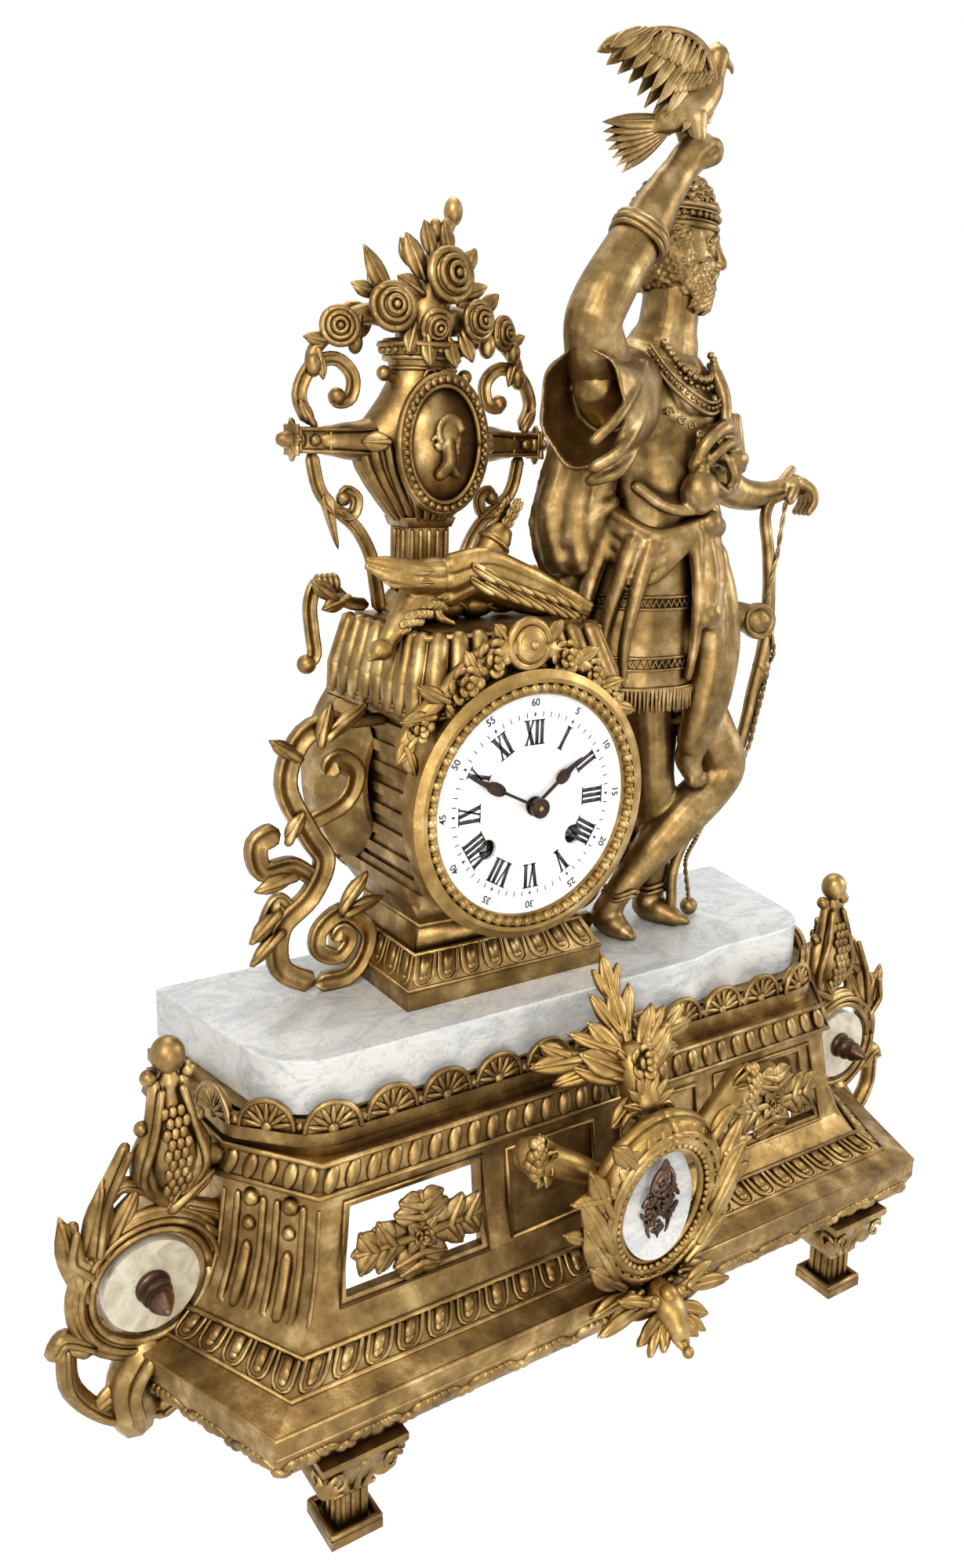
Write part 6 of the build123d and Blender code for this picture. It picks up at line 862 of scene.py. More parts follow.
def cartouche():
    """Oval frame of the cartouche with a carved rim, leaf sides, flower cones, crest and foot leaf."""
    mesh = Cast()
    def rim(width, height, proud, steps=40):
        return [at(*leaned(width * sin(a), height * cos(a), proud))
                for a in (tau * k / steps for k in range(steps + 1))]
    for width, height, proud, radius in (
        (31.5, 37, -2, 4.4), (33.5, 39, -6, 3.6), (27, 32.5, 1.2, 2.6), (22.5, 28, 0.6, 1.6),
        (30.5, 36, 2.6, 1.5),
    ):
        wire(mesh, rim(width, height, proud), radius, 8)
    beads_along(mesh, rim(24.6, 30.2, 2.4, 60), 3.7, 1.55)
    for k in range(26):
        angle = tau * (k + 0.5) / 26
        foot = leaned(28.0 * sin(angle), 33.4 * cos(angle), 3)
        tip = leaned(35.0 * sin(angle), 40.4 * cos(angle), 0)
        leaf(mesh, foot, tip, 7, 3.4, (0, -1, 0.1), False)
    for side in (-1, 1):
        leaves(mesh, (
            ((24, -26, 2), (43, 6, 2), 14), ((28, -10, 3), (46, 20, 1), 11), ((30, 8, 2), (42, 31, 0), 10),
            ((18, -34, 2), (38, -16, 3), 11), ((34, -4, 0), (52, 4, 0), 8), ((33, 16, 1), (50, 18, 0), 7),
            ((14, -38, 3), (33, -44, 2), 9), ((8, -40, 3), (24, -56, 2), 9), ((22, 30, 3), (33, 41, 2), 9),
        ), 4.5, put=lambda point: leaned(side * point[0], *point[1:]))
        cone = [(side * 26, -86, 122, 5), (side * 44, -83, 132, 6.5), (side * 58, -80.5, 139, 8)]
        limb(mesh, cone, 10)
        for k in range(16):
            angle = k * 2.399
            reach = 8.5 * sqrt((k + 0.6) / 16)
            ball(
                mesh, side * (60 + 0.42 * reach * cos(angle)), -83.0 - 5.5 + 0.05 * reach * reach,
                141 + reach * sin(angle), 2.7, fine=6,
            )
        for k in range(9):
            angle = tau * k / 9
            foot = (side * 50, -83, 135)
            tip = (
                side * (57 + 3 * cos(angle)), -85 + 5.0 * cos(angle), 138 + 12.5 * sin(angle)
            )
            leaf(mesh, foot, tip, 7, 2.4, (0, -1, 0), False)
    finished(mesh, "cartouche_carved_frame", "bright", replaced=["cartouche_frame"])
    cartouche_crest()
    cartouche_foot()


def cartouche_crest():
    """Crest of the cartouche: shell, flower and spreading leaves that reach up over the slab edge."""
    mesh = Cast()
    limb(mesh, [(0, -80, 146, 8.5), (0, -71, 162, 8)])
    for k in range(7):
        angle = pi * (0.12 + 0.76 * k / 6)
        tip = (15 * cos(angle), -85 + 3 * sin(angle), 144 + 17 * sin(angle))
        leaf(mesh, (0, -84, 143), tip, 5.5, 3.4)
    flower(mesh, 0, -80.5, 165, 8, (0, -0.94, 0.34), 5)
    for side in (-1, 1):
        leaves(mesh, (
            ((4, -74, 158), (25, -67, 169), 13), ((6, -74, 155), (28, -65, 163), 10),
            ((20, -66, 166), (45, -59, 164), 10), ((16, -68, 161), (35, -62, 155), 9),
            ((5, -72, 164), (18, -62, 180), 10), ((4, -80, 150), (17, -80, 138), 9),
            ((28, -62, 167), (40, -58, 173), 7), ((9, -70, 168), (27, -60, 176), 7),
        ), 4.5, (0, -0.9, 0.4), mirrored(side))
        curl = [(side * (8 + 5.5 * u), -84.5, 141 + 5.5 * v) for u, v in coil(0.8, 0.1, 8)]
        wire(mesh, curve_points(curl, 2), 1.7, 6, 1)
    leaves(mesh, (
        ((0, -70, 162), (0, -54, 190), 13), ((0, -60, 178), (0, -47, 202), 9),
        ((2, -64, 172), (11, -54, 188), 8), ((-2, -64, 172), (-11, -54, 188), 8),
        ((1, -56, 184), (7, -50, 197), 5), ((-1, -56, 184), (-7, -50, 197), 5),
    ), 4.5, (0, -0.85, 0.5))
    finished(mesh, "cartouche_leaf_crest", "bright", replaced=["cartouche_crest"])


def cartouche_foot():
    """Leaf and tassel that hang under the cartouche."""
    mesh = Cast()
    limb(mesh, [(0, -99, 62.5, 7.5), (0, -105, 59, 8), (0, -111, 54, 5.5)])
    balls(mesh, ((0, -103.5, 66, 4.6), (-7, -103, 65, 3), (7, -103, 65, 3), (0, -108, 61.5, 3.4)))
    for side in (-1, 1):
        leaves(mesh, (
            ((2, -103, 63), (22, -101, 63), 11), ((14, -102, 64), (37, -102.5, 60), 8),
            ((3, -104, 59), (20, -108, 52), 9), ((2, -106, 57), (10, -113, 48), 8),
            ((12, -102, 66), (26, -101, 72), 7), ((6, -106, 56), (16, -111, 47), 6),
        ), 4.2, put=mirrored(side))
    leaf(mesh, (0, -106, 58), (0, -117.5, 46), 9, 5)
    ball(mesh, 0, -118, 47.5, 2.6)
    finished(mesh, "cartouche_foot_leaf", "bright", replaced=["cartouche_pendant"])


def plaque_relief():
    """Pierced bronze spray on the plaque: scrolls above and below a knot of flowers."""
    mesh = Cast()
    for sign in (-1, 1):
        for side in (-1, 1):
            line = [(0, sign * 4), (side * 5.5, sign * 8), (side * 5, sign * 14), (side * 1.5, sign * 18),
                    (side * 0.5, sign * 15), (side * 3, sign * 12.5)]
            wire(mesh, curve_points([leaned(x, z, 0.2) for x, z in line], 4), 1.15, 6)
            curl = [
                leaned(side * (6.5 + 3.2 * u), sign * (2.4 + 3.2 * v), 0.2) for u, v in coil(0.9, 0.12, 7)
            ]
            wire(mesh, curve_points(curl, 3), 1.05, 6)
        leaf(mesh, leaned(0, sign * 13, 0.2), leaned(0, sign * 23, 0.2), 5.5, 2)
    for x, z, size in (
        (0, 0, 5.4), (5.2, -5.5, 3.6), (-5.2, 5.5, 3.6), (-5, -6.5, 3.4), (5, 7, 3.2), (0, 10, 3),
        (0, -11, 3)
    ):
        flower(mesh, *leaned(x, z, 0.2), size, petals=5)
    finished(mesh, "plaque_bronze_spray", "copper", replaced=["cartouche_ornament"])


def side_ornaments():
    """Open ornament at each end: moulded ring, vase with scales, leaves and scrolls."""
    for side, name, node in ((-1, "left", "side_ornament_left"), (1, "right", "side_ornament_right")):
        mesh = Cast()
        unit = 166.0
        def spot(u, v, y=END_Y):
            return side * (DISC_X + u * unit), y, DISC_Z + v * unit
        for radius, thick, depth in (
            (27.5, 4.6, END_Y), (31, 2.2, -17.5), (23.6, 1.8, -20), (27.5, 1.4, -21)
        ):
            wire(mesh, oval(side * DISC_X, depth, DISC_Z, radius, radius, 36), thick, 8)
        for points, start, end in SIDE_LINES:
            line = curve_points([spot(u, v) for u, v in points], 5)
            wire(mesh, line, start * unit / 2, 8, end * unit / 2)
            wire(mesh, [p + Vector((0, -start * unit * 0.5 * MM, 0)) for p in line], start * unit * 0.14, 6)
        leaves(mesh, SIDE_LEAVES, 5.5, put=lambda point: spot(*point, -17.5))
        body = [
            (0.5, 0), (5.5, 1), (6.5, 4), (4, 7), (5.5, 9), (12, 16), (16, 24), (15.5, 31), (12, 40),
            (8, 48), (5.8, 54), (6.6, 56), (6.6, 58), (5, 60), (4.5, 62), (0.2, 62)
        ]
        lathe(mesh, (side * VASE_X, END_Y, 122), UP, [(r * 0.66, h) for r, h in body], 20)
        for row, reach in enumerate((7, 8.3, 9.4, 10, 9.9, 9.4, 8.5, 7.5, 6.2)):
            for k in range(3):
                for face in (-1, 1):
                    x = side * VASE_X + 3.2 * (k - 1) + 1.6 * (row % 2 - 0.5)
                    ball(mesh, x, END_Y + face * reach, 136 + row * 4, 2.1, (0.9, 0.8, 1.3), fine=6)
        for lobe in (-1, 1):
            x = side * VASE_X
            limb(mesh, [
                (x + lobe * 3, END_Y, 127, 3.2), (x + lobe * 10, END_Y, 140, 5.6),
                (x + lobe * 10.5, END_Y, 149, 5.4), (x + lobe * 7, END_Y, 163, 3.2),
                (x + lobe * 5.4, END_Y, 178, 2.6)
            ], 14)
            limb(mesh, [
                (x + lobe * 4.6, END_Y, 128, 2), (x + lobe * 12.5, -22, 142, 2),
                (x + lobe * 8, -23.5, 160, 1.7), (x + lobe * 4.2, -21, 176, 1.6)
            ], 8)
            ball(mesh, x + lobe * 11, END_Y, 161, 3.2)
            ball(mesh, x + lobe * 7.8, END_Y, 181.5, 3.4)
        ball(mesh, side * VASE_X, END_Y, 189.4, 6.9, (1, 1, 1.1))
        finished(mesh, "side_ornament_carved_" + name, "gilt", replaced=[node])
    mesh = Cast()
    profile = [
        (0.1, -0.4), (6.6, -0.4), (7.1, 0.8), (6.4, 2.2), (5.2, 3), (5.7, 4.2), (6.3, 5.6), (5.8, 7),
        (4.6, 7.8), (5, 9), (5.3, 10.4), (4.6, 12.4), (3, 15.4), (1.5, 18.2), (0.7, 19.3), (0.1, 19.6)
    ]
    for side in (-1, 1):
        lathe(mesh, (side * DISC_X, -21, DISC_Z), FRONT, profile, 36)
    finished(mesh, "disc_turned_knobs", "copper", replaced=["disc_knobs"])


SIDE_LINES = [
    ([(-0.06, 0.20), (-0.12, 0.28), (-0.185, 0.278)], 0.042, 0.055),
    ([(-0.10, 0.17), (-0.18, 0.12), (-0.215, 0.04)], 0.04, 0.06),
    ([(-0.02, 0.23), (0.05, 0.27), (0.09, 0.25)], 0.036, 0.045),
    ([(0.14, -0.12), (0.20, -0.08), (0.2235, -0.10)], 0.05, 0.05),
    ([(-0.02, -0.36), (0.10, -0.33), (0.19, -0.22), (0.20, -0.10)], 0.05, 0.05),
    ([(-0.02, -0.36), (-0.12, -0.30), (-0.14, -0.15)], 0.06, 0.06),
    ([(0.05, -0.34), (0.06, -0.25), (0.02, -0.18)], 0.12, 0.10),
    ([(0.12, 0.13), (0.10, 0.24), (0.045, 0.36)], 0.07, 0.03),
    ([(0.14, 0.08), (0.18, 0.13), (0.17, 0.2)], 0.07, 0.03),
]
SIDE_LEAVES = [
    ((0.13, 0.06), (0.10, 0.30), 13), ((0.15, 0.02), (0.20, 0.24), 12), ((0.10, 0.12), (0.02, 0.26), 10),
    ((0.02, -0.22), (0.06, -0.37), 14), ((0.04, -0.24), (0.16, -0.30), 11),
    ((0, -0.24), (-0.10, -0.32), 11),
    ((0.16, -0.12), (0.23, -0.08), 8), ((-0.06, 0.18), (-0.17, 0.25), 9), ((-0.14, 0.1), (-0.21, 0.03), 9),
]


def case_outline(half, front, z, back=56.0):
    """Three sides of the case at a height, from the back left round the front to the back right."""
    left, right = CASE_X - half, CASE_X + half
    return [at(left, back, z), at(left, -front, z), at(right, -front, z), at(right, back, z)]


def tapered_block(middle, size, stretch, push=0.0, pivot_y=-DATUM_Y, edge=0.0):
    """Block whose top is stretched about its middle line and pushed back, its edges rounded."""
    x, y, z = middle
    block = bmesh.new()
    bmesh.ops.create_cube(
        block, size=1, matrix=placed(at(x, y, z), Matrix(), *(length * MM for length in size))
    )
    tops = [vert for vert in block.verts if vert.co.z > z * MM]
    bmesh.ops.scale(block, verts=tops, vec=(*stretch, 1), space=Matrix.Translation(-at(x, pivot_y, 0)))
    bmesh.ops.translate(block, verts=tops, vec=(0, push * MM, 0))
    if edge:
        round_edges(block, edge)
    return block


def round_edges(block, edge):
    """Rounds all edges of a block by so many millimetres."""
    bmesh.ops.bevel(
        block, geom=block.edges, offset=edge * MM, segments=2, affect="EDGES", profile=0.5, material=-1
    )


def case_carving():
    """Tongues on the plinth, gadroons on the cap, panel edges and reeds of the case."""
    mesh = Cast()
    for place in row_places(case_outline(51, 19.4, 193.2), case_outline(45, 13.2, 203.8), 13):
        tongue(mesh, *place, 1.2)
    for half, front, z, radius in (
        (51.6, 19.8, 191.8, 1.2), (44.6, 12.8, 204.4, 1.2), (39.4, 7.2, 226.5, 1.3), (45.4, 20.4, 308, 1),
        (51.8, 26.6, 312, 1.2)
    ):
        wire(mesh, case_outline(half, front, z), radius, 8)
    for low, high, half_low, half_high, front_low, front_high in (
        (204.2, 215.2, 43, 39.3, 11.2, 7.5), (215, 227.8, 39.3, 46.6, 7.5, 14.8),
    ):
        size = (2 * half_low, 2.4, high - low)
        stretch = (half_high / half_low, 1)
        mesh.take(
            tapered_block((CASE_X, 1.2 - front_low, (low + high) / 2), size, stretch, front_low - front_high)
        )
    wire(mesh, case_outline(39.3, 7.6, 215.1), 1.3, 8)
    finished(mesh, "case_carved_rows", "gilt")
    mesh = Cast()
    foot = case_outline(51.4, 26.4, 313.6)
    middle = case_outline(49.6, 24.6, 323)
    head = case_outline(43.6, 18.6, 342)
    pitch = bpy.context.scene.clock_settings.gadroon_pitch / MM
    for low, high in zip(row_places(foot, middle, pitch), row_places(middle, head, pitch)):
        width = high[4] * 0.5 / MM
        wire(mesh, [low[0], low[1]], width * 0.7, 12, width * 0.98)
        wire(mesh, [high[0], high[1]], width * 0.98, 12, width * 0.8)
        wire(mesh, [low[0] - low[2] * width * MM, low[1] - low[2] * width * MM,
                    high[1] - low[2] * width * 0.9 * MM], 0.7, 6)
    for half, front, z, radius in ((43.6, 18.6, 343.4, 1.6), (51.6, 26.6, 313.8, 1.1)):
        wire(mesh, case_outline(half, front, z), radius, 8)
    finished(mesh, "cap_gadroons", "gilt")


def dial_point(radius, minutes, y=-34.12):
    """Point on the dial in metres at a radius and a number of minutes."""
    angle = radians(minutes * 6)
    return at(CASE_X + radius * sin(angle), y, DIAL_Z + radius * cos(angle))


def numeral_strokes(text):
    """Strokes of a Roman numeral as foot, head, width; widths and places in shares of its height."""
    strokes, x = [], 0.0
    for letter in text:
        if letter == "I":
            strokes.append((x + 0.12, x + 0.12, 0.165))
            x += 0.27
        elif letter == "V":
            strokes.append((x + 0.27, x + 0.1, 0.165))
            strokes.append((x + 0.27, x + 0.44, 0.08))
            x += 0.54
        else:
            strokes.append((x + 0.44, x + 0.1, 0.165))
            strokes.append((x + 0.1, x + 0.44, 0.08))
            x += 0.54
    return [(a - x / 2, b - x / 2, w) for a, b, w in strokes]


def dial_print():
    """Fired black figures of the dial: Roman hours, minute marks and small minute numbers."""
    mesh = Cast()
    names = ["I", "II", "III", "IIII", "V", "VI", "VII", "VIII", "IX", "X", "XI", "XII"]
    low, high = 26.6, 37.0
    for hour, text in enumerate(names, 1):
        angle = radians(hour * 30)
        up = Vector((sin(angle), 0, cos(angle)))
        right = Vector((cos(angle), 0, -sin(angle)))
        strokes = numeral_strokes(text)
        height = (high - low) * MM
        centre = dial_point((low + high) / 2, hour * 5)
        for foot, head, width in strokes:
            tail = centre + right * foot * height * 0.92 - up * height / 2
            tip = centre + right * head * height * 0.92 + up * height / 2
            along = (tip - tail).normalized()
            size = (width * height, INK, (tip - tail).length)
            mesh.block(placed(tail.lerp(tip, 0.5), basis(FRONT.cross(along), FRONT, along), *size))
            for end in (tail, tip):
                mesh.block(placed(end, basis(right, FRONT, up), (width + 0.12) * height, INK, 0.05 * height))
    for minute in range(60):
        turn = Matrix.Rotation(radians(minute * 6), 4, "Y")
        turned = Matrix.Translation(dial_point(39.6, minute)) @ turn
        if minute % 5:
            mesh.block(turned @ Matrix.Diagonal((0.4 * MM, INK, 2.2 * MM, 1)))
        else:
            lozenge = turned @ Matrix.Diagonal((0.8, 1, 1.25, 1)) @ Matrix.Rotation(pi / 4, 4, "Y")
            mesh.block(lozenge @ Matrix.Diagonal((1.15 * MM, INK, 1.15 * MM, 1)))
    finished(mesh, "dial_hour_figures", "ink", smooth=False)
    mesh = Cast()
    for number in range(5, 65, 5):
        letters = bpy.data.curves.new("minute_number", "FONT")
        letters.body = str(number)
        letters.size = 4.4 * MM
        letters.align_x = letters.align_y = "CENTER"
        letters.extrude = 0.03 * MM
        letters.offset = 0.07 * MM
        sign = linked("minute_number", letters)
        angle = radians(number * 6)
        sign.matrix_world = (
            Matrix.Translation(dial_point(44.6, number)) @ Matrix.Rotation(angle, 4, "Y")
            @ Matrix.Rotation(pi / 2, 4, "X")
        )
        graph = bpy.context.evaluated_depsgraph_get()
        graph.update()
        data = bpy.data.meshes.new_from_object(sign.evaluated_get(graph))
        data.transform(sign.matrix_world)
        bpy.data.objects.remove(sign)
        letter = bmesh.new()
        letter.from_mesh(data)
        mesh.take(letter)
        bpy.data.meshes.remove(data)
    finished(mesh, "dial_minute_numbers", "ink", smooth=False)


def garland():
    """Flower garland over the bezel: a ringed flower at the top, roses, buds and leaves."""
    mesh = Cast()
    line = [(-90, -27, 304, 3.6), (-80, -27, 315, 4.4), (-66, -28, 327, 5), (-52, -28, 336, 5.5),
            (-37, -30, 341, 6), (-20, -28, 337, 6),
            (-5, -28, 330, 5), (8, -27, 319, 4.5), (21, -27, 305, 3.6)]
    limb(mesh, line, 10)
    for x, y, z, radius, count in (
        (-64, -32, 326, 8.5, 6), (-51, -32, 336, 8.5, 5), (-14, -32, 334, 8, 6), (1, -31, 325, 7.5, 5),
        (-84, -30, 310, 6.5, 5), (13, -30, 313, 6, 5),
    ):
        flower(mesh, x, y, z, radius, petals=count)
    for radius, thick, depth in ((9.6, 2.2, -33), (6.2, 1.5, -35), (3.2, 1.2, -35.5)):
        wire(mesh, oval(-34, depth, 341, radius, radius, 24), thick, 8)
    ball(mesh, -34, -34.5, 341, 8.2, (1, 0.35, 1))
    ball(mesh, -34, -36.6, 341, 2.2)
    leaves(mesh, (
        ((-72, -31, 320), (-86, -31, 327), 7), ((-78, -30, 314), (-93, -30, 313), 7),
        ((-86, -29, 306), (-94, -29, 296), 8),
        ((-90, -29, 302), (-85, -29, 290), 7), ((-24, -32, 341), (-16, -31, 350), 7),
        ((-44, -31, 343), (-50, -31, 350), 7),
        ((-8, -31, 331), (4, -31, 337), 7), ((8, -30, 319), (20, -29, 321), 7),
        ((16, -29, 309), (28, -28, 306), 7),
        ((20, -28, 304), (25, -27, 293), 8), ((-58, -31, 330), (-64, -31, 340), 7),
        ((4, -30, 320), (2, -31, 310), 6),
        ((-72, -31, 318), (-66, -32, 309), 6),
    ), 3.4)
    finished(mesh, "bezel_flower_garland", "bright", replaced=["bezel_garland"])
    mesh = Cast()
    for k in range(62):
        angle = tau * k / 62
        ball(mesh, CASE_X + 51.4 * cos(angle), -36.4, DIAL_Z + 51.4 * sin(angle), 2.25, fine=9)
    finished(mesh, "bezel_bead_row", "bright")


def case_scrolls():
    """S-scroll brackets at both sides of the case with a coil at the foot and leaf tips."""
    for side, name, node in ((-1, "left", "case_scroll_left"), (1, "right", "case_scroll_right")):
        mesh = Cast()
        unit, broad, foot = 126.4, 152, 182.6
        def spot(u, v, y=17.5):
            return CASE_X + side * u * unit, y, foot + v * unit
        for points, width, end in CASE_LINES:
            line = curve_points([spot(u, v) for u, v in points], 5)
            moulded_stroke(mesh, line, width * broad, end * broad)
        leaves(mesh, CASE_LEAVES, 5, put=lambda point: spot(*point, 15.5))
        lug_x = spot(0.47, 0.93)[0]
        limb(mesh, [(CASE_X + side * 45, 17.5, 303.5, 3), (lug_x, 17.5, 303.5, 3)], 8)
        finished(mesh, "case_scroll_cast_" + name, "gilt", replaced=[node])


CASE_LINES = [
    ([
        (0.49, 0.97), (0.645, 0.93), (0.715, 0.77), (0.63, 0.58), (0.575, 0.48), (0.63, 0.36), (0.74, 0.265),
        (0.74, 0.12), (0.615, 0.035)
    ], 0.065, 0.065),
    ([
        (0.615, 0.035), (0.47, 0.045), (0.405, 0.175), (0.495, 0.28), (0.59, 0.235), (0.6, 0.16),
        (0.53, 0.12), (0.48, 0.17), (0.51, 0.215), (0.545, 0.18)
    ], 0.058, 0.05),
    ([(0.645, 0.62), (0.5, 0.68), (0.46, 0.78), (0.53, 0.83), (0.57, 0.78)], 0.05, 0.075),
    ([(0.6, 0.41), (0.695, 0.48), (0.8, 0.48), (0.82, 0.575), (0.74, 0.61)], 0.05, 0.07),
    ([(0.7, 0.32), (0.75, 0.37), (0.8, 0.28), (0.785, 0.2)], 0.045, 0.035)
]
CASE_LEAVES = [
    ((0.57, 0.92), (0.42, 1.02), 8), ((0.6, 0.9), (0.56, 1.04), 8), ((0.68, 0.86), (0.78, 0.93), 7),
    ((0.7, 0.45), (0.84, 0.42), 8), ((0.76, 0.33), (0.86, 0.24), 8), ((0.75, 0.26), (0.86, 0.16), 7),
    ((0.52, 0.3), (0.42, 0.42), 8), ((0.5, 0.28), (0.36, 0.32), 7), ((0.72, 0.58), (0.66, 0.67), 8),
]


def urn():
    """Oval urn: fluted stem, gadrooned bowl, bead-panelled arms, rosettes and lobed neck."""
    mesh = Cast()
    cx, cy = URN_X, URN_Y
    rows = [
        (388, 13, 11), (391, 16, 13), (396, 20, 14.5), (403, 25.5, 15.2), (410, 30, 16.2), (421, 34, 16.9),
        (428, 30, 16.4), (433, 26, 15.8), (440, 20.5, 14.2), (446, 17, 13), (451, 15.4, 12.6),
        (455, 15.6, 12.8), (459, 18.5, 14.4), (462, 19.5, 15.4), (465, 18, 14)
    ]
    for k in range(24):
        angle = tau * k / 24
        depth = 1.03 - 0.13 * max(0, sin(angle))
        line = [
            at(cx + rx * 0.98 * cos(angle), cy + ry * depth * sin(angle), z)
            for z, rx, ry in rows[:6]
        ]
        wire(mesh, line, 1.6, 6, 2.6)
    lofted(mesh, [(cx, cy, z, rx, ry) for z, rx, ry in rows], 40)
    def oval_ring(z, rx, ry, radius):
        line = [
            at(cx + rx * cos(a), cy + ry * sin(a), z)
            for a in (tau * k / 40 for k in range(41))
        ]
        wire(mesh, line, radius, 6)
        return line
    oval_ring(457, 17.2, 13.6, 1.4)
    oval_ring(462.5, 19.6, 15.4, 1.5)
    oval_ring(452.5, 15.6, 12.8, 1.1)
    beads_along(mesh, oval_ring(460, 18.8, 14.8, 0.5), 4, 1.5)
    for side in (-1, 1):
        curl = [(cx + side * (3 + 3.6 * u), cy - 13.9, 449 + 3.6 * v) for u, v in coil(0.9, 0.11, 8)]
        wire(mesh, curve_points(curl, 2), 1, 6, 0.7)
        ball(mesh, cx + side * 20.5, 43, 450, 3.4)
        limb(mesh, [(cx + side * 15, 44, 448, 2.4), (cx + side * 20.5, 43, 450, 2)], 8)
        limb(mesh, [
            (cx + side * 22, cy, ARM_Z, 11.5), (cx + side * 34, cy, ARM_Z, 8.4),
            (cx + side * 47, cy, ARM_Z, 6.4)
        ], 12)
        for sign in (-1, 1):
            for rise in (-5, 5):
                root, end = (cx + side * 27, cy + sign * 8.5), (cx + side * 61, cy + sign * 4.6)
                wire(mesh, [at(*root, ARM_Z + rise), at(*end, ARM_Z + rise * 0.9)], 1, 6)
            for x in (34, 47, 61):
                wire(
                    mesh,
                    [at(cx + side * x, cy + sign * 5.3, 416.4), at(cx + side * x, cy + sign * 5.3, 425.6)],
                    0.8, 6
                )
            for x in (37.5, 41, 44.5):
                ball(mesh, cx + side * x, cy + sign * 5.2, ARM_Z, 1.7, (1, 0.8, 1), fine=6)
            ball(mesh, cx + side * 54, cy + sign * 4.9, ARM_Z, 2.6, (1, 0.8, 1))
            leaf(
                mesh, (cx + side * 24, cy + sign * 15.5, ARM_Z), (cx + side * 34, cy + sign * 8.5, ARM_Z), 9,
                3, (0, sign, 0)
            )
        panel = bmesh.new()
        matrix = placed(at(cx + side * 45, cy, ARM_Z), Matrix(), 32 * MM, 8.6 * MM, 9.6 * MM)
        bmesh.ops.create_cube(panel, size=1, matrix=matrix)
        round_edges(panel, 1)
        mesh.take(panel)
        for k in range(8):
            angle = tau * k / 8
            tip = (cx + side * 62.5, cy + 9.0 * cos(angle), ARM_Z + 9.0 * sin(angle))
            leaf(mesh, (cx + side * 62, cy, ARM_Z), tip, 6.5, 3, (side, 0, 0))
        lathe(mesh, (cx + side * 58, cy, ARM_Z), (side, 0, 0), [
            (0.1, 0), (5, 0), (6, 3), (3.6, 5), (3.8, 7), (3.2, 9), (2.2, 11), (0.1, 12)
        ], 16)
    finished(mesh, "urn_gadrooned_body", "gilt", replaced=["urn_body"])
    urn_stem_piece()
    medallion()


def urn_stem_piece():
    """Square fluted stem of the urn on its moulded foot."""
    mesh = Cast()
    for low, high, half_x, half_y, top_x, top_y in (
        (345.5, 350, 14.4, 12.4, 14.4, 12.4), (350, 355, 13.6, 11.6, 11, 9),
        (355, 384, 10.6, 8.6, 10.6, 8.6), (384, 388.5, 11.4, 9.4, 13, 10.6),
    ):
        size = (2 * half_x, 2 * half_y, high - low)
        stretch = (top_x / half_x, top_y / half_y)
        mesh.take(tapered_block((URN_X, URN_Y, (low + high) / 2), size, stretch, pivot_y=URN_Y, edge=0.5))
    for k in range(5):
        shift = (k - 2) * 4.4
        for sign in (-1, 1):
            places = [(shift, sign * 8.6)] + [(sign * 10.6, shift * 0.9)] * (abs(shift) < 8)
            for x, y in places:
                wire(mesh, [at(URN_X + x, URN_Y + y, z) for z in (357, 382)], 1.3, 6)
    finished(mesh, "urn_fluted_stem", "gilt", replaced=["urn_stem"], smooth=False)


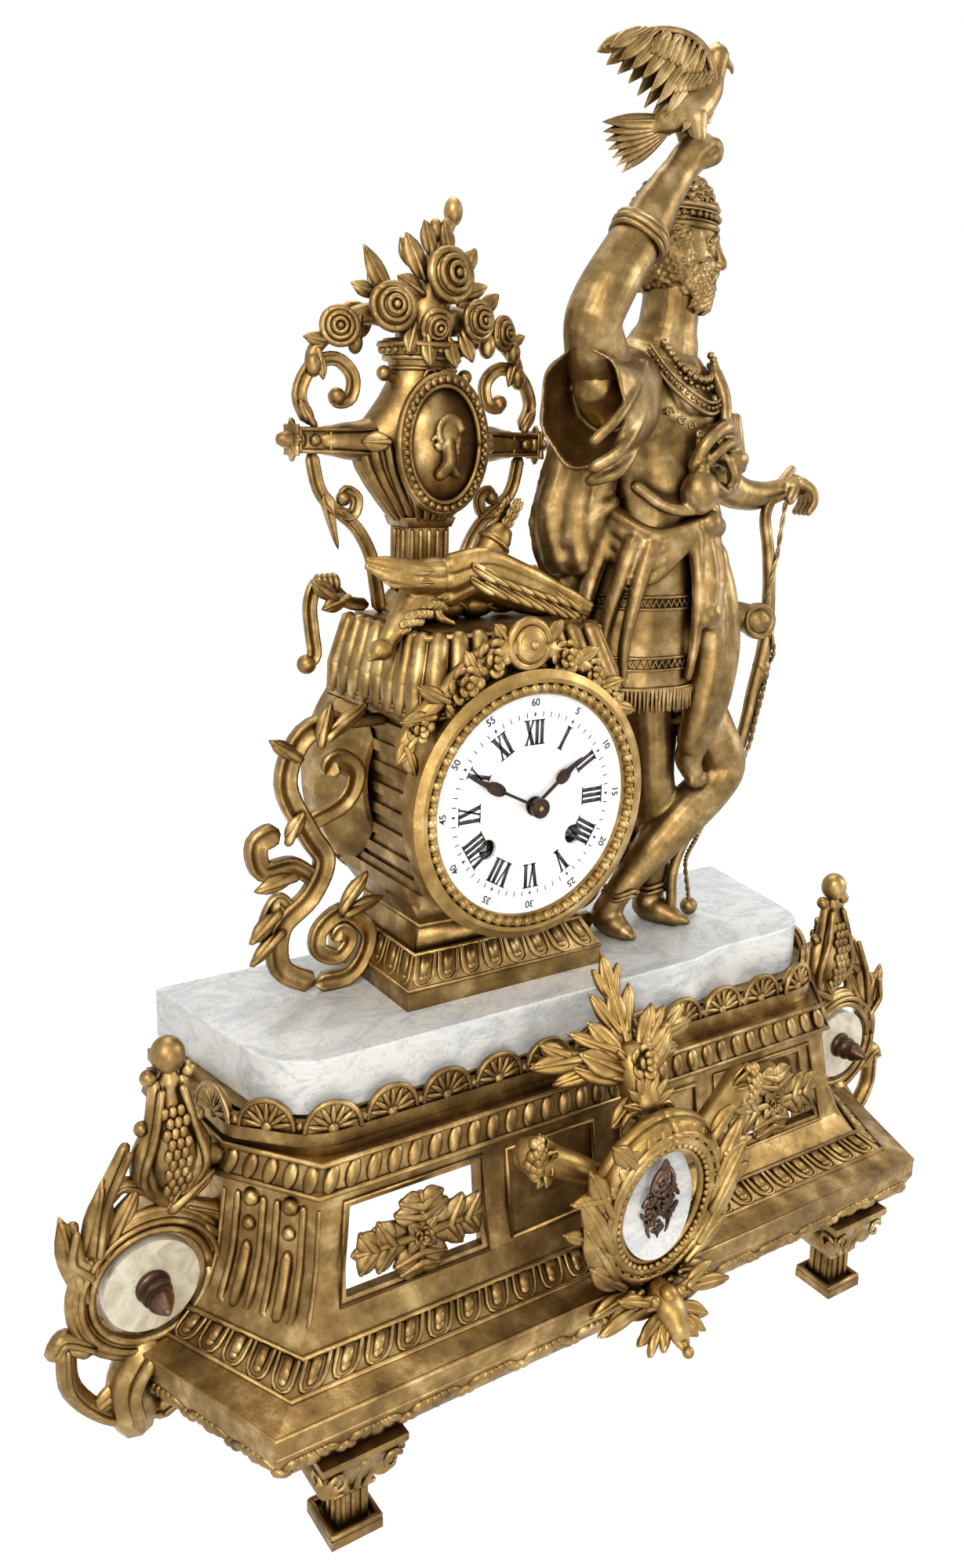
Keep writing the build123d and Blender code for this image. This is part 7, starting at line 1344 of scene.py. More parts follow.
def medallion():
    """Oval medallion: beaded rim round a sunk field with a plain head in profile to the left."""
    mesh = Cast()
    cx, y, cz = URN_X, 25, 420.5
    def rim(width, height, proud, steps=48):
        return oval(cx, y - proud, cz, width, height, steps)
    field = placed(at(cx, y + 3, cz), Matrix(), 20.5, 1, 28) @ Matrix.Rotation(pi / 2, 4, "X")
    mesh.cone(48, MM, MM, 5.0 * MM, field)
    for width, height, proud, radius in (
        (20.5, 28, -2.6, 2.6), (17.6, 25, 0.2, 1.3), (21.8, 29.3, -1, 1.6), (20, 27.5, 0, 1.7)
    ):
        wire(mesh, rim(width, height, proud), radius, 8)
    beads_along(mesh, rim(20, 27.5, 1.6, 96), 3.75, 1.7)
    head = Cast()
    ball(head, cx - 0.6, y - 1.6, cz + 4, 5.4, (0.92, 0.34, 1.2), fine=14)
    ball(head, cx + 1.6, y - 1.6, cz + 5, 6.2, (1, 0.3, 1.05), fine=14)
    ball(head, cx - 3.4, y - 1.6, cz - 0.8, 2.5, (1, 0.5, 0.9))
    limb(head, [(cx - 5, y - 1.6, cz + 4.2, 0.9), (cx - 7.2, y - 1.6, cz + 2, 0.9)], 8)
    ball(head, cx - 5.4, y - 1.6, cz - 0.2, 1.1, (1, 0.7, 0.7))
    limb(head, [
        (cx + 0.8, y - 1.2, cz + 0.5, 3.2), (cx + 1.4, y - 1.2, cz - 8, 3.4),
        (cx - 3, y - 1, cz - 13, 2.8)
    ], 10)
    limb(head, [(cx + 1.4, y - 1.2, cz - 8, 3), (cx + 5.5, y - 1, cz - 12.5, 2.4)], 10)
    for k in range(14):
        angle = 0.3 + k * 0.27
        x, z = cx + 1.4 + 6.0 * cos(angle), cz + 5.4 + 6.3 * sin(angle) * 0.98
        ball(head, x, y - 2.6, z, 1.7, (1, 0.7, 1), fine=7)
    for k in range(5):
        ball(head, cx + 5.8 - k * 0.3, y - 2.2, cz + 2.5 - k * 2.6, 1.7 - k * 0.12, (1, 0.7, 1), fine=7)
    modelled(head, "medallion_head", "gilt", 0.45, 2)
    finished(mesh, "medallion_beaded_oval", "gilt", replaced=["urn_medallion"])


URN_LINES = [
    ([(54, 82), (59, 94), (53, 106), (42, 109.5), (34, 103), (35, 94), (41, 92), (43, 97)], 6.2, 6),
    ([(54, 72), (50, 55), (42, 46), (34, 44), (32, 51), (37, 54), (38, 50)], 6, 5.5),
    ([(47, 54), (44, 40), (41, 29)], 7, 1.5),
    ([(42, 46), (32, 38), (25, 26), (22, 12), (20, 0)], 5.5, 6.5),
]
BRACKET_LINES = [([(34, 3), (45, 5), (54, 13), (60, 13), (63, 4), (62, -8), (61, -18), (65, -22)], 6, 6.5)]


def urn_scrolls():
    """C-scrolls at both sides of the urn and the brackets that curl down beside the cap."""
    mesh = Cast()
    for side in (-1, 1):
        for lines, middle, y in ((URN_LINES, URN_X, URN_Y), (BRACKET_LINES, CASE_X, 51)):
            for points, width, end in lines:
                line = curve_points([(middle + side * u, y, STEM_FOOT_Z + w) for u, w in points], 4)
                moulded_stroke(mesh, line, width, end)
        for k in range(4):
            ball(mesh, CASE_X + side * (52 + k * 2.6), 50, 359 + k * 0.4, 5.0 - 0.5 * k, (0.5, 1, 1))
        balls(mesh, ((CASE_X + side * 65, 51, 323.5, 4.4), (URN_X + side * 38.5, URN_Y, 396.5, 3.4),
                     (URN_X + side * 41.5, URN_Y, 439.5, 3.8)))
        leaves(mesh, (((54, 82), (60, 92), 6), ((38, 8), (50, 3), 8), ((44, 8), (55, 16), 8)), 4,
               put=lambda point: (URN_X + side * point[0], 44, STEM_FOOT_Z + point[1]))
    finished(mesh, "urn_scroll_supports", "gilt", replaced=["urn_scrolls"])


def bouquet():
    """Bouquet on the urn: roses, buds and leaves, with two sprays that hang to the scrolls."""
    mesh = Cast()
    for line in (
        [(-41, 46, 462, 12), (-41, 46, 474, 11), (-36, 43, 488, 8), (-34, 46, 503, 4.5), (-28, 46, 515, 3.2)],
        [
            (-50, 44, 474, 7), (-70, 45, 474, 4.5), (-84, 46, 467, 3.6), (-93, 46, 458, 3),
            (-95, 46, 451, 2.6)
        ],
        [(-30, 44, 474, 7), (-12, 45, 473, 4.5), (1, 46, 467, 3.6), (9, 46, 458, 3), (11, 46, 450, 2.6)],
    ):
        limb(mesh, line, 10)
    for place in (
        (-34, 34, 492, 12, (0.1, -1, 0.1)), (-62, 34, 477, 10.5, (-0.2, -1, 0.1)),
        (-20, 33, 474, 9, (0.2, -1, 0)),
        (-84, 40, 468, 8.5, (-0.4, -1, 0)), (-2, 40, 470, 8, (0.4, -1, 0)),
        (-42, 32, 470, 8, (0, -1, -0.3)),
        (-48, 57.2, 478, 9.5, (0, 1, 0)), (-30, 57.2, 488, 9, (0, 1, 0.1)), (-70, 54, 472, 8, (0, 1, 0)),
        (-10, 54, 471, 8, (0, 1, 0)),
    ):
        rose(mesh, *place)
    leaves(mesh, (
        ((-60, 40, 480), (-73, 40, 501), 9), ((-44, 40, 490), (-53, 40, 508), 10),
        ((-46, 38, 484), (-58, 38, 490), 9),
        ((-28, 38, 484), (-14, 36, 489), 8), ((-24, 40, 494), (-18, 40, 505), 8),
        ((-40, 40, 500), (-44, 40, 514), 8),
        ((-52, 34, 470), (-56, 32, 458), 8), ((-46, 33, 466), (-46, 30, 453), 8),
        ((-36, 33, 466), (-33, 30, 453), 8),
        ((-28, 34, 468), (-24, 31, 456), 8), ((-74, 42, 472), (-78, 40, 460), 7),
        ((-88, 44, 462), (-99, 44, 463), 6),
        ((-92, 45, 458), (-90, 44, 446), 6), ((4, 44, 466), (12, 44, 470), 6),
        ((8, 45, 458), (4, 44, 447), 6),
        ((-14, 42, 478), (-4, 42, 487), 8), ((-66, 42, 482), (-78, 42, 486), 7),
        ((-41, 52, 496), (-48, 54, 508), 9),
        ((-30, 42, 500), (-34, 41, 515), 7), ((-56, 50, 480), (-64, 54, 492), 8),
        ((-20, 50, 480), (-12, 54, 490), 8),
    ), 3.2)
    balls(mesh, (
        (-94, 45, 452, 4.2), (10, 45, 451, 4.2), (-76, 42, 462, 4), (-26, 46, 520, 5),
        (-36, 44, 511, 4), (-12, 38, 464, 4.6), (5, 42, 462, 4), (-30, 44, 507, 4.2)
    ), (0.85, 0.85, 1.25))
    finished(mesh, "urn_rose_bouquet", "gilt", replaced=["bouquet"])


def rose(mesh, x, y, z, radius, facing):
    """Open rose: rolled outer petals round a coiled heart."""
    centre = Matrix.Translation(at(x, y, z)) @ turned_to(Vector(facing).normalized())
    size = radius * MM
    mesh.sphere(14, 8, size * 0.82, centre @ Matrix.Diagonal((1, 1, 0.5, 1)))
    for reach, lift, thick, count in ((0.84, 0.02, 0.2, 5), (0.58, 0.3, 0.14, 4), (0.32, 0.46, 0.12, 3)):
        for k in range(count):
            start = tau * (k + reach) / count
            arc = [centre @ Vector((reach * size * cos(a), reach * size * sin(a), lift * size))
                   for a in (start + tau / count * 0.92 * i / 5 for i in range(6))]
            wire(mesh, arc, thick * radius, 7)
    mesh.sphere(8, 6, size * 0.17, centre @ Matrix.Translation((0, 0, size * 0.5)))


def lofted(piece, rows, count=44, waves=0, depth=0.0):
    """Skin over ovals of x, y, z, half width and half depth, with upright folds round it."""
    mesh = bmesh.new()
    loops = []
    for x, y, z, wide, deep in rows:
        verts = []
        for k in range(count):
            angle = tau * k / count
            rise = 1 + depth * cos(waves * angle + 0.01 * z)
            verts.append(
                mesh.verts.new(at(x + wide * rise * cos(angle), y + deep * rise * sin(angle), z))
            )
        loops.append(verts)
    skin_over(piece, mesh, loops)


def skin_over(piece, mesh, loops):
    """Joins loops of points into one closed skin and adds it to the piece."""
    rims = [[mesh.edges.new(pair) for pair in zip(verts, verts[1:] + verts[:1])] for verts in loops]
    for low, high in zip(rims, rims[1:]):
        bmesh.ops.bridge_loops(mesh, edges=low + high)
    for verts in (loops[0], loops[-1]):
        bmesh.ops.contextual_create(mesh, geom=verts)
    piece.take(mesh)


def hanging_cup(piece, rows, axis, count=44):
    """Open cup of cloth: rows of centre, half height and half width about a level axis, closed inside."""
    ahead = Vector(axis).normalized()
    across = ahead.cross(UP).normalized()
    up = across.cross(ahead)
    mesh = bmesh.new()
    loops = []
    line = curve_points([row[0] for row in rows], 4)
    sizes = [(one[1] + (two[1] - one[1]) * i / 4, one[2] + (two[2] - one[2]) * i / 4)
             for one, two in zip(rows, rows[1:]) for i in range(4)] + [rows[-1][1:]]
    for number, (centre, (tall, wide)) in enumerate(zip(line, sizes)):
        verts = []
        for k in range(count):
            angle = tau * k / count
            ripple = 1 + 0.035 * cos(7 * angle + 0.12 * number) * min(1, number / 12)
            place = up * tall * sin(angle) * ripple + across * wide * cos(angle) * ripple
            verts.append(mesh.verts.new(centre + place * MM))
        loops.append(verts)
    skin_over(piece, mesh, loops)


def fold(mesh, points, start, end, steps=5):
    """Round-backed fold of cloth through points in millimetres, from one thickness to another."""
    wire(mesh, curve_points(points, steps), start, 8, end)


def folds(mesh, rows):
    """Folds from rows of points, first and last thickness."""
    for row in rows:
        fold(mesh, *row)


def legs():
    """Legs in hose, the bare thigh with its rolled band, and the pointed shoes."""
    mesh = Cast()
    limb(mesh, [
        (66, 10, 318, 14.5), (70, 8, 285, 12.8), (72, 7, 262, 11), (75, 8, 246, 11.4), (77, 10, 230, 10.6),
        (79, 10.5, 212, 8), (79, 12, 198, 7.2), (78, 12.5, 191, 8.2)
    ], 18)
    limb(
        mesh, [(78, 13, 190, 7.8), (80, 5, 189, 7), (83, -1.5, 187.4, 5.2), (86.4, -8, 186.6, 2.6)], 16
    )
    limb(mesh, [(72, 8, 322, 15.5), (90, 1, 298, 14.5), (103, -3.5, 276, 13.2), (107, -4.5, 265, 12.6),
                (100, -4, 254, 12), (84, -2.5, 241, 12.2), (70, 0, 227, 10.6), (58, 3, 213, 7.8),
                (50, 5, 202, 6.8),
                (47, 8, 192, 7.6)], 18)
    limb(mesh, [(47, 9, 191, 7.4), (48, 2, 188.8, 6.8), (49.2, -4, 187, 4.8), (49.9, -9, 186, 2.6)], 16)
    ball(mesh, 106, -6, 264, 11, (0.9, 1, 1.1))
    modelled(mesh, "figure_legs", "figure", 0.95, 3)
    mesh = Cast()
    axis = Vector((18, -7, -24)).normalized()
    side = axis.cross(BACK).normalized()
    for k, (x, y, z, radius) in enumerate(((88, 1.5, 299, 15.4), (91, 0.8, 296, 15.8), (94, 0, 293, 15.4))):
        wire(mesh, ring(at(x, y, z), side, axis.cross(side), radius, 28, 0.5, 3, k), 2.3, 8)
    for x, y, z, radius in (
        (53, 4, 206, 8.2), (52, 4.5, 203.5, 7.9), (79, 11.5, 203, 8.4), (79, 11.5, 200, 8.2)
    ):
        band = [at(x, y, z) + Vector((radius * cos(a), radius * sin(a), 1.2 * sin(a * 3))) * MM
                for a in (tau * i / 20 for i in range(21))]
        wire(mesh, band, 1.3, 6)
    finished(mesh, "figure_hose_bands", "figure")


def torso():
    """Tunic and chest: modelled skirt with two zigzag bands and a fringe, sash, yoke and collar."""
    mesh = Cast()
    lofted(mesh, [(58, 8, 303, 33, 26), (58, 8, 315, 33.5, 26), (61, 8, 340, 31, 24), (64, 9, 365, 28, 22.5),
                  (66, 10, 388, 25.5, 20.5), (66, 10, 404, 26.5, 20.5), (65.5, 10, 420, 30.5, 22),
                  (63, 10, 436, 35.5, 22.5),
                  (61, 10, 448, 36, 20), (63, 9.5, 457, 28, 16.5), (68, 8.5, 463, 17, 13)],
           48, 11, 0.018)
    for x, y, z, radius, shape in (
        (52, -3, 436, 14, (1.3, 0.75, 1)), (75, -3, 434, 14, (1.2, 0.75, 1)),
        (64, -1, 408, 17, (1.1, 0.8, 0.9)),
        (90, 8, 444, 13, (1, 1, 1)), (38, 8, 445, 14, (1, 1, 1)),
    ):
        ball(mesh, x, y, z, radius, shape, fine=16)
    limb(mesh, [(68, 10, 456, 14), (70, 9.6, 468, 12.8)], 20)
    modelled(mesh, "figure_tunic", "figure", 1.15, 8, replaced=["figure_body"])
    mesh = Cast()
    def band(z, x, y, wide, deep, zig=0.0):
        angles = [2.6 + 3.3 * k / 64 for k in range(65)]
        return [at(x + wide * cos(angle), y + deep * sin(angle), z + (zig if k % 2 else -zig))
                for k, angle in enumerate(angles)]
    for z, x, wide, deep in ((354, 62.5, 30.2, 24), (326, 59.5, 33.4, 26)):
        wire(mesh, band(z, x, 8.5, wide, deep), 0.9, 5)
        wire(mesh, band(z - 5.5, x - 0.4, 8.4, wide + 0.4, deep + 0.3), 0.9, 5)
        wire(mesh, band(z - 2.8, x - 0.2, 8.4, wide + 0.5, deep + 0.4, zig=1.7), 0.75, 5)
    wire(mesh, band(311.5, 58, 8, 34, 26.6), 1.1, 6)
    for k in range(58):
        angle = 2.5 + 3.5 * k / 57
        top = at(58 + 34.2 * cos(angle), 8 + 26.8 * sin(angle), 310.5)
        low = at(
            58 + 34.4 * cos(angle + 0.012 * (k % 3 - 1)), 8 + 27 * sin(angle), 301.0 + 0.6 * (k % 2)
        )
        wire(mesh, [top, low], 1.15, 5, 0.8)
    collar = [
        (48, -2, 462), (54, -10, 450), (64, -15.5, 441), (74, -16, 437), (84, -12, 440), (90, -4, 450),
        (90, 3, 460)
    ]
    line = curve_points(collar, 8)
    wire(mesh, line, 1.3, 6)
    beads_along(mesh, [p + Vector((0.4, -0.6, 2.6)) * MM for p in line], 3.3, 1.15, 6)
    wire(mesh, [p + Vector((0.6, -0.4, 5)) * MM for p in line], 0.9, 6)
    chain = [(58, -1, 468), (62, -7, 459), (70, -10.5, 453), (79, -10, 453), (87, -4, 460), (88, 2, 466)]
    line = curve_points(chain, 8)
    beads_along(mesh, line, 3.1, 1.9, 7)
    beads_along(mesh, [p + Vector((0, -0.8, -4)) * MM for p in line[6:-6]], 3.4, 1.2, 6)
    for k in range(7):
        x, z, turn = 46 + k * 5.4, 440 - k * 2.9, 1 if k % 2 else -1
        depth = -13.0 - 5.0 * sin(pi * k / 7) + 0.25 * (k - 3) ** 2 * 0.4
        wire(mesh, [at(x + 2.6 * u, depth, z + 2.6 * v * turn) for u, v in coil(0.9, 0.12, 7)], 0.75, 5)
    finished(mesh, "figure_tunic_trim", "figure")
    sash()
    cloak()
    hunting_gear()


def sash():
    """Sash with folds round the hips, its knot, and the fur skin that hangs down the front."""
    mesh = Cast()
    for lift, start, end in ((0, 4.2, 3.4), (-6, 4.6, 3.6), (-12.5, 4.4, 3.2), (-19, 3.8, 2.6)):
        fold(mesh, [
            (36, 22, 402 + lift), (36, 2, 392 + lift), (46, -12, 383 + lift * 1.1),
            (62, -17, 385 + lift * 0.5), (78, -15, 392 + lift * 0.3)
        ], start, end)
    folds(mesh, (
        ([(84, -10, 394), (94, -2, 386), (97, 10, 378), (92, 22, 376)], 5, 3.6),
        ([(82, -11, 386), (94, -3, 377), (98, 9, 367), (93, 22, 364)], 4.6, 3.2),
        ([(80, -12, 378), (92, -5, 366), (96, 8, 356), (92, 20, 352)], 3.8, 2.8),
        ([(40, -8, 380), (34, -6, 360), (30, -2, 338), (33, 2, 318)], 4.6, 2.8),
        ([(46, -13, 378), (39, -13, 356), (35, -11, 332), (37, -9, 312)], 4.2, 2.4),
        ([(35, 4, 384), (28, 8, 358), (26, 12, 332), (30, 14, 312)], 5, 3.2),
        ([(68, -17, 384), (71, -19, 360), (70, -20, 334), (68, -19, 316)], 4, 2.2),
        ([(74, -16, 384), (77, -19, 366), (76, -20, 350)], 5.2, 6.2),
        ([(80, -14, 384), (82, -18, 368), (81, -20, 352), (79, -20, 342)], 5.4, 4.4),
    ))
    balls(mesh, (
        (76, -18, 388, 6.5), (82, -16, 386, 5.5), (78, -21, 346, 5.4), (75, -21, 343, 3.6),
        (82, -20, 343, 3.6)
    ))
    limb(mesh, [
        (90, -7, 372, 7.5), (93, -10, 350, 9.5), (94, -12, 328, 10), (90, -13, 305, 9.5),
        (84, -12, 288, 8.5), (80, -10, 274, 7), (82, -11, 266, 5.5)
    ], 14)
    limb(mesh, [
        (82, -10, 366, 6.5), (84, -14, 345, 8), (84, -15, 322, 8.5), (80, -15, 300, 8),
        (77, -13, 282, 6.5)
    ], 14)
    for k in range(4):
        ball(mesh, 79 + k * 3.2, -14 + abs(k - 1.5) * 0.6, 261.5 + abs(k - 1.5), 2.6, (0.8, 1, 1.4))
    modelled(mesh, "figure_sash_and_skin", "figure", 1, 4)


def cloak():
    """Cloak behind the figure, in long folds from the shoulders, bunched over the left hip."""
    mesh = Cast()
    lofted(mesh, [(79, 21, 256, 17, 6), (77, 22, 280, 23, 8), (72, 22, 300, 29, 10), (66, 23, 325, 33, 11),
                  (58, 24, 350, 37, 12), (50, 25, 372, 41, 12), (48, 25, 386, 42, 11.5),
                  (50, 24, 405, 40, 11),
                  (53, 22, 425, 38, 10), (56, 19, 445, 34, 9), (60, 15, 457, 24, 8)], 52, 13, 0.06)
    folds(mesh, (
        ([(24, 16, 436), (18, 18, 412), (13, 20, 390), (17, 18, 370)], 7, 8.5),
        ([(30, 12, 440), (25, 11, 414), (21, 12, 390), (24, 11, 370)], 7, 8),
        ([(38, 12, 436), (34, 9, 412), (31, 10, 388), (33, 12, 370)], 8, 8),
        ([(27, 9, 432), (19, 11, 408), (16, 11, 384)], 3, 3.4),
        ([(36, 4, 430), (30, 5, 405), (27, 6, 380)], 2.6, 3.2),
        ([(14, 24, 384), (26, 26, 372), (40, 30, 366), (56, 33, 362)], 8, 6),
        ([(18, 12, 380), (26, 8, 388), (34, 2, 396)], 6, 4.5),
        ([(30, 30, 430), (28, 33, 400), (34, 35, 365), (46, 34, 325), (60, 32, 285)], 5, 4),
        ([(46, 32, 436), (44, 37, 400), (50, 38, 365), (60, 36, 320), (70, 32, 275)], 5, 4),
        ([(62, 30, 440), (62, 36, 400), (66, 37, 360), (72, 35, 315), (78, 31, 268)], 5, 4),
        ([(78, 28, 440), (84, 33, 400), (86, 34, 360), (88, 32, 320), (88, 28, 275)], 4.6, 3.8),
        ([(88, 22, 446), (92, 24, 410), (94, 24, 372), (97, 22, 335), (94, 20, 290)], 4.4, 3.6),
        ([(52, 20, 462), (40, 14, 458), (28, 10, 450)], 6, 5),
        ([(62, 18, 466), (78, 18, 465), (92, 14, 456)], 5.5, 5),
    ))
    modelled(mesh, "figure_cloak", "figure", 1.25, 6)


def hunting_gear():
    """Animal mask and round pouch at the waist, shoulder straps, and the horn at the hip."""
    mesh = Cast()
    ball(mesh, 83, -10, 424, 11.5, (1.1, 0.75, 0.95))
    ball(mesh, 90, -17, 417, 7, (1.2, 0.9, 0.75))
    folds(mesh, (
        ([(66, -17, 414), (70, -20, 424), (80, -20, 431), (92, -14, 430), (97, -6, 422)], 3.2, 3.4),
        ([(70, -18, 412), (75, -21, 419), (83, -21, 424), (92, -17, 423)], 2.4, 2.6),
        ([(74, -19, 408), (82, -20, 402), (92, -15, 404), (97, -9, 412)], 3, 2.4),
        ([(84, -20, 417), (88, -20, 409), (86, -18, 402)], 2.6, 2),
        ([(92, -17, 416), (95, -15, 408), (93, -13, 401)], 2.6, 2),
    ))
    balls(mesh, (
        (80, -19.5, 419, 2.4), (89, -18.5, 421, 2.4), (95.5, -15, 414, 3), (76, -18, 428, 4),
        (94, -10, 430, 4)
    ))
    ball(mesh, 68, -19.5, 402, 9.4, (1, 0.9, 1.1), fine=18)
    for k in range(9):
        angle = tau * k / 9
        line = [at(68 + r * cos(angle), -19.5 - d, 409 + h)
                for r, d, h in ((1.5, 1, 3.5), (5.5, 1.5, 0.5))]
        wire(mesh, line, 1.1, 6)
    ball(mesh, 68, -20.5, 413, 3.4)
    folds(mesh, (
        ([(40, -8, 404), (50, -15, 396), (62, -19, 394), (74, -19, 398), (86, -14, 404)], 3, 3),
        ([(84, -8, 455), (86, -12, 446), (86, -14, 436), (84, -15, 430)], 3.6, 3),
        ([(92, 0, 452), (95, -3, 440), (95, -6, 428)], 3, 2.6),
    ))
    modelled(mesh, "figure_mask_and_pouch", "figure", 0.85, 1)
    mesh = Cast()
    limb(mesh, [
        (88, 18, 358, 3.6), (100, 14, 350, 4.6), (112, 8, 343, 5.8), (122, 2, 339, 7.2),
        (127.5, -1, 337, 8.4)
    ], 16)
    mouth = Vector((-0.2, -0.97, 0.05)).normalized()
    lathe(
        mesh, (126.5, -5, 337.5), mouth,
        [(0.1, 0.2), (5.4, 0.4), (6.6, 1.6), (8.2, 2.4), (9.2, 1.2), (9.2, -2.5), (7.5, -5)], 28
    )
    flower(mesh, 126.4, -6, 337.5, 5.2, mouth, 5)
    finished(mesh, "figure_hunting_horn", "figure")


def arms():
    """Raised arm with its rolled cuff and hanging sleeve, and the arm that holds the bow."""
    mesh = Cast()
    limb(mesh, [
        (30, 4, 448, 15), (17, -6, 458, 14), (8, -13, 472, 12.6), (12, -14.5, 484, 12.4),
        (22, -14.5, 499, 11.8), (34, -14, 515, 10.4), (44, -13.5, 529, 8.6), (50, -13.5, 537, 7.6)
    ], 20)
    limb(mesh, [(50, -13.5, 537, 7.4), (56, -14, 544, 7.8), (62, -14, 548, 7)], 16)
    for k in range(4):
        limb(mesh, [(58 + k * 1.2, -17.5 + k * 3, 549, 3), (67 + k * 0.6, -18 + k * 3.2, 550, 2.7),
                    (69 + k * 0.3, -17 + k * 3, 545, 2.4), (64, -15.5 + k * 2.4, 542, 2.2)], 10)
    limb(mesh, [(54, -17, 541, 3.2), (61, -20.5, 543, 2.8), (65, -20, 546, 2.4)], 10)
    modelled(mesh, "raised_bare_arm", "figure", 0.75, 2, replaced=["raised_arm"])
    mesh = Cast()
    axis = Vector((16, 0, 22)).normalized()
    for k, (share, radius, thick) in enumerate(((0, 12, 1.5), (0.1, 12.4, 1.7), (0.2, 12, 1.5))):
        centre = at(28.5 + 16 * share, -14.2, 507 + 22 * share)
        wire(mesh, ring(centre, BACK, axis.cross(BACK).normalized(), radius, 30, 0.3, 4, k), thick, 8)
    finished(mesh, "raised_arm_cuff", "figure")
    mesh = Cast()
    hanging_cup(mesh, [
        ((46, 6, 448), 17, 16), ((36, 0, 441), 22, 19), ((24, -5, 437), 26, 21), ((12, -10, 436), 27, 21.5),
        ((4, -13.5, 437), 26.5, 21), ((3, -14, 437), 25, 19.5), ((8, -11, 438), 23.5, 18),
        ((20, -6, 440), 20, 15),
        ((30, -2, 443), 14, 12),
    ], (-0.86, -0.42, -0.1))
    folds(mesh, (
        ([(38, -12, 458), (22, -26, 446), (8, -33, 434), (-2, -30, 424)], 2.2, 2.6),
        ([(40, -13, 450), (26, -25, 434), (12, -31, 421), (2, -26, 413)], 2.4, 3),
        ([(42, -8, 438), (30, -18, 422), (18, -22, 411), (8, -16, 407)], 2.6, 3),
    ))
    limb(mesh, [(44, 6, 446, 15), (32, 2, 442, 14), (18, -6, 446, 12)], 18)
    modelled(mesh, "raised_arm_sleeve", "figure", 1, 5)
    mesh = Cast()
    limb(mesh, [(92, 11, 446, 14.5), (99, 12, 432, 13), (105, 12.5, 418, 11.5)], 18)
    limb(mesh, [
        (104, 12, 420, 9.5), (110, 12, 408, 9.2), (116, 11, 402, 9), (128, 9, 399, 7.6), (139, 7, 400, 6.2),
        (147, 6, 402, 5.6)
    ], 16)
    ball(mesh, 152, 4.5, 404, 7.6, (1.15, 0.85, 0.8))
    for k in range(4):
        start = (154 + k * 1.4, -0.5 + k * 3.2, 406 - k * 0.5)
        limb(mesh, [
            (*start, 2.8), (159 + k * 0.8, -3.5 + k * 3.4, 402, 2.5),
            (160 + k * 0.3, -4.5 + k * 3.2, 396, 2.2), (157, -4 + k * 3, 391, 1.9)
        ], 10)
    limb(mesh, [(150, 0, 403, 3), (145, -4, 400, 2.7), (141, -6, 397, 2.3)], 10)
    modelled(mesh, "bow_hand_arm", "figure", 0.75, 2, replaced=["bow_arm"])
    mesh = Cast()
    for k in range(9):
        across, deep = cos(tau * k / 9), sin(tau * k / 9)
        high = (100 + 13 * across, 12 + 13 * deep, 436)
        low = (107 + 11.8 * across, 12.5 + 11.8 * deep, 413)
        fold(mesh, [high, low], 2.6, 3.4, 2)
    finished(mesh, "bow_arm_sleeve_hem", "figure")


HEAD_SCALE = 1.27


def head_spot(ahead, aside, up):
    """Point of the head from its middle: ahead along the gaze, aside to its left, and up."""
    ahead, aside, up = ahead * HEAD_SCALE, aside * HEAD_SCALE, up * HEAD_SCALE
    return (72.0 + 0.83 * ahead + 0.56 * aside, 9.6 - 0.56 * ahead + 0.83 * aside, 509.5 + up)


def curl_of_hair(mesh, ahead, aside, up, size):
    """Small ringlet that lies on the head and faces out from it."""
    spot = at(*head_spot(ahead, aside, up))
    out = (spot - at(*head_spot(-2, 0, 0))).normalized()
    side = out.cross(UP).normalized()
    wire(mesh, ring(spot, side, out.cross(side), size, 8), size * 0.56, 6)
    mesh.sphere(8, 6, size * 0.9 * MM, Matrix.Translation(spot - out * size * 0.5 * MM))


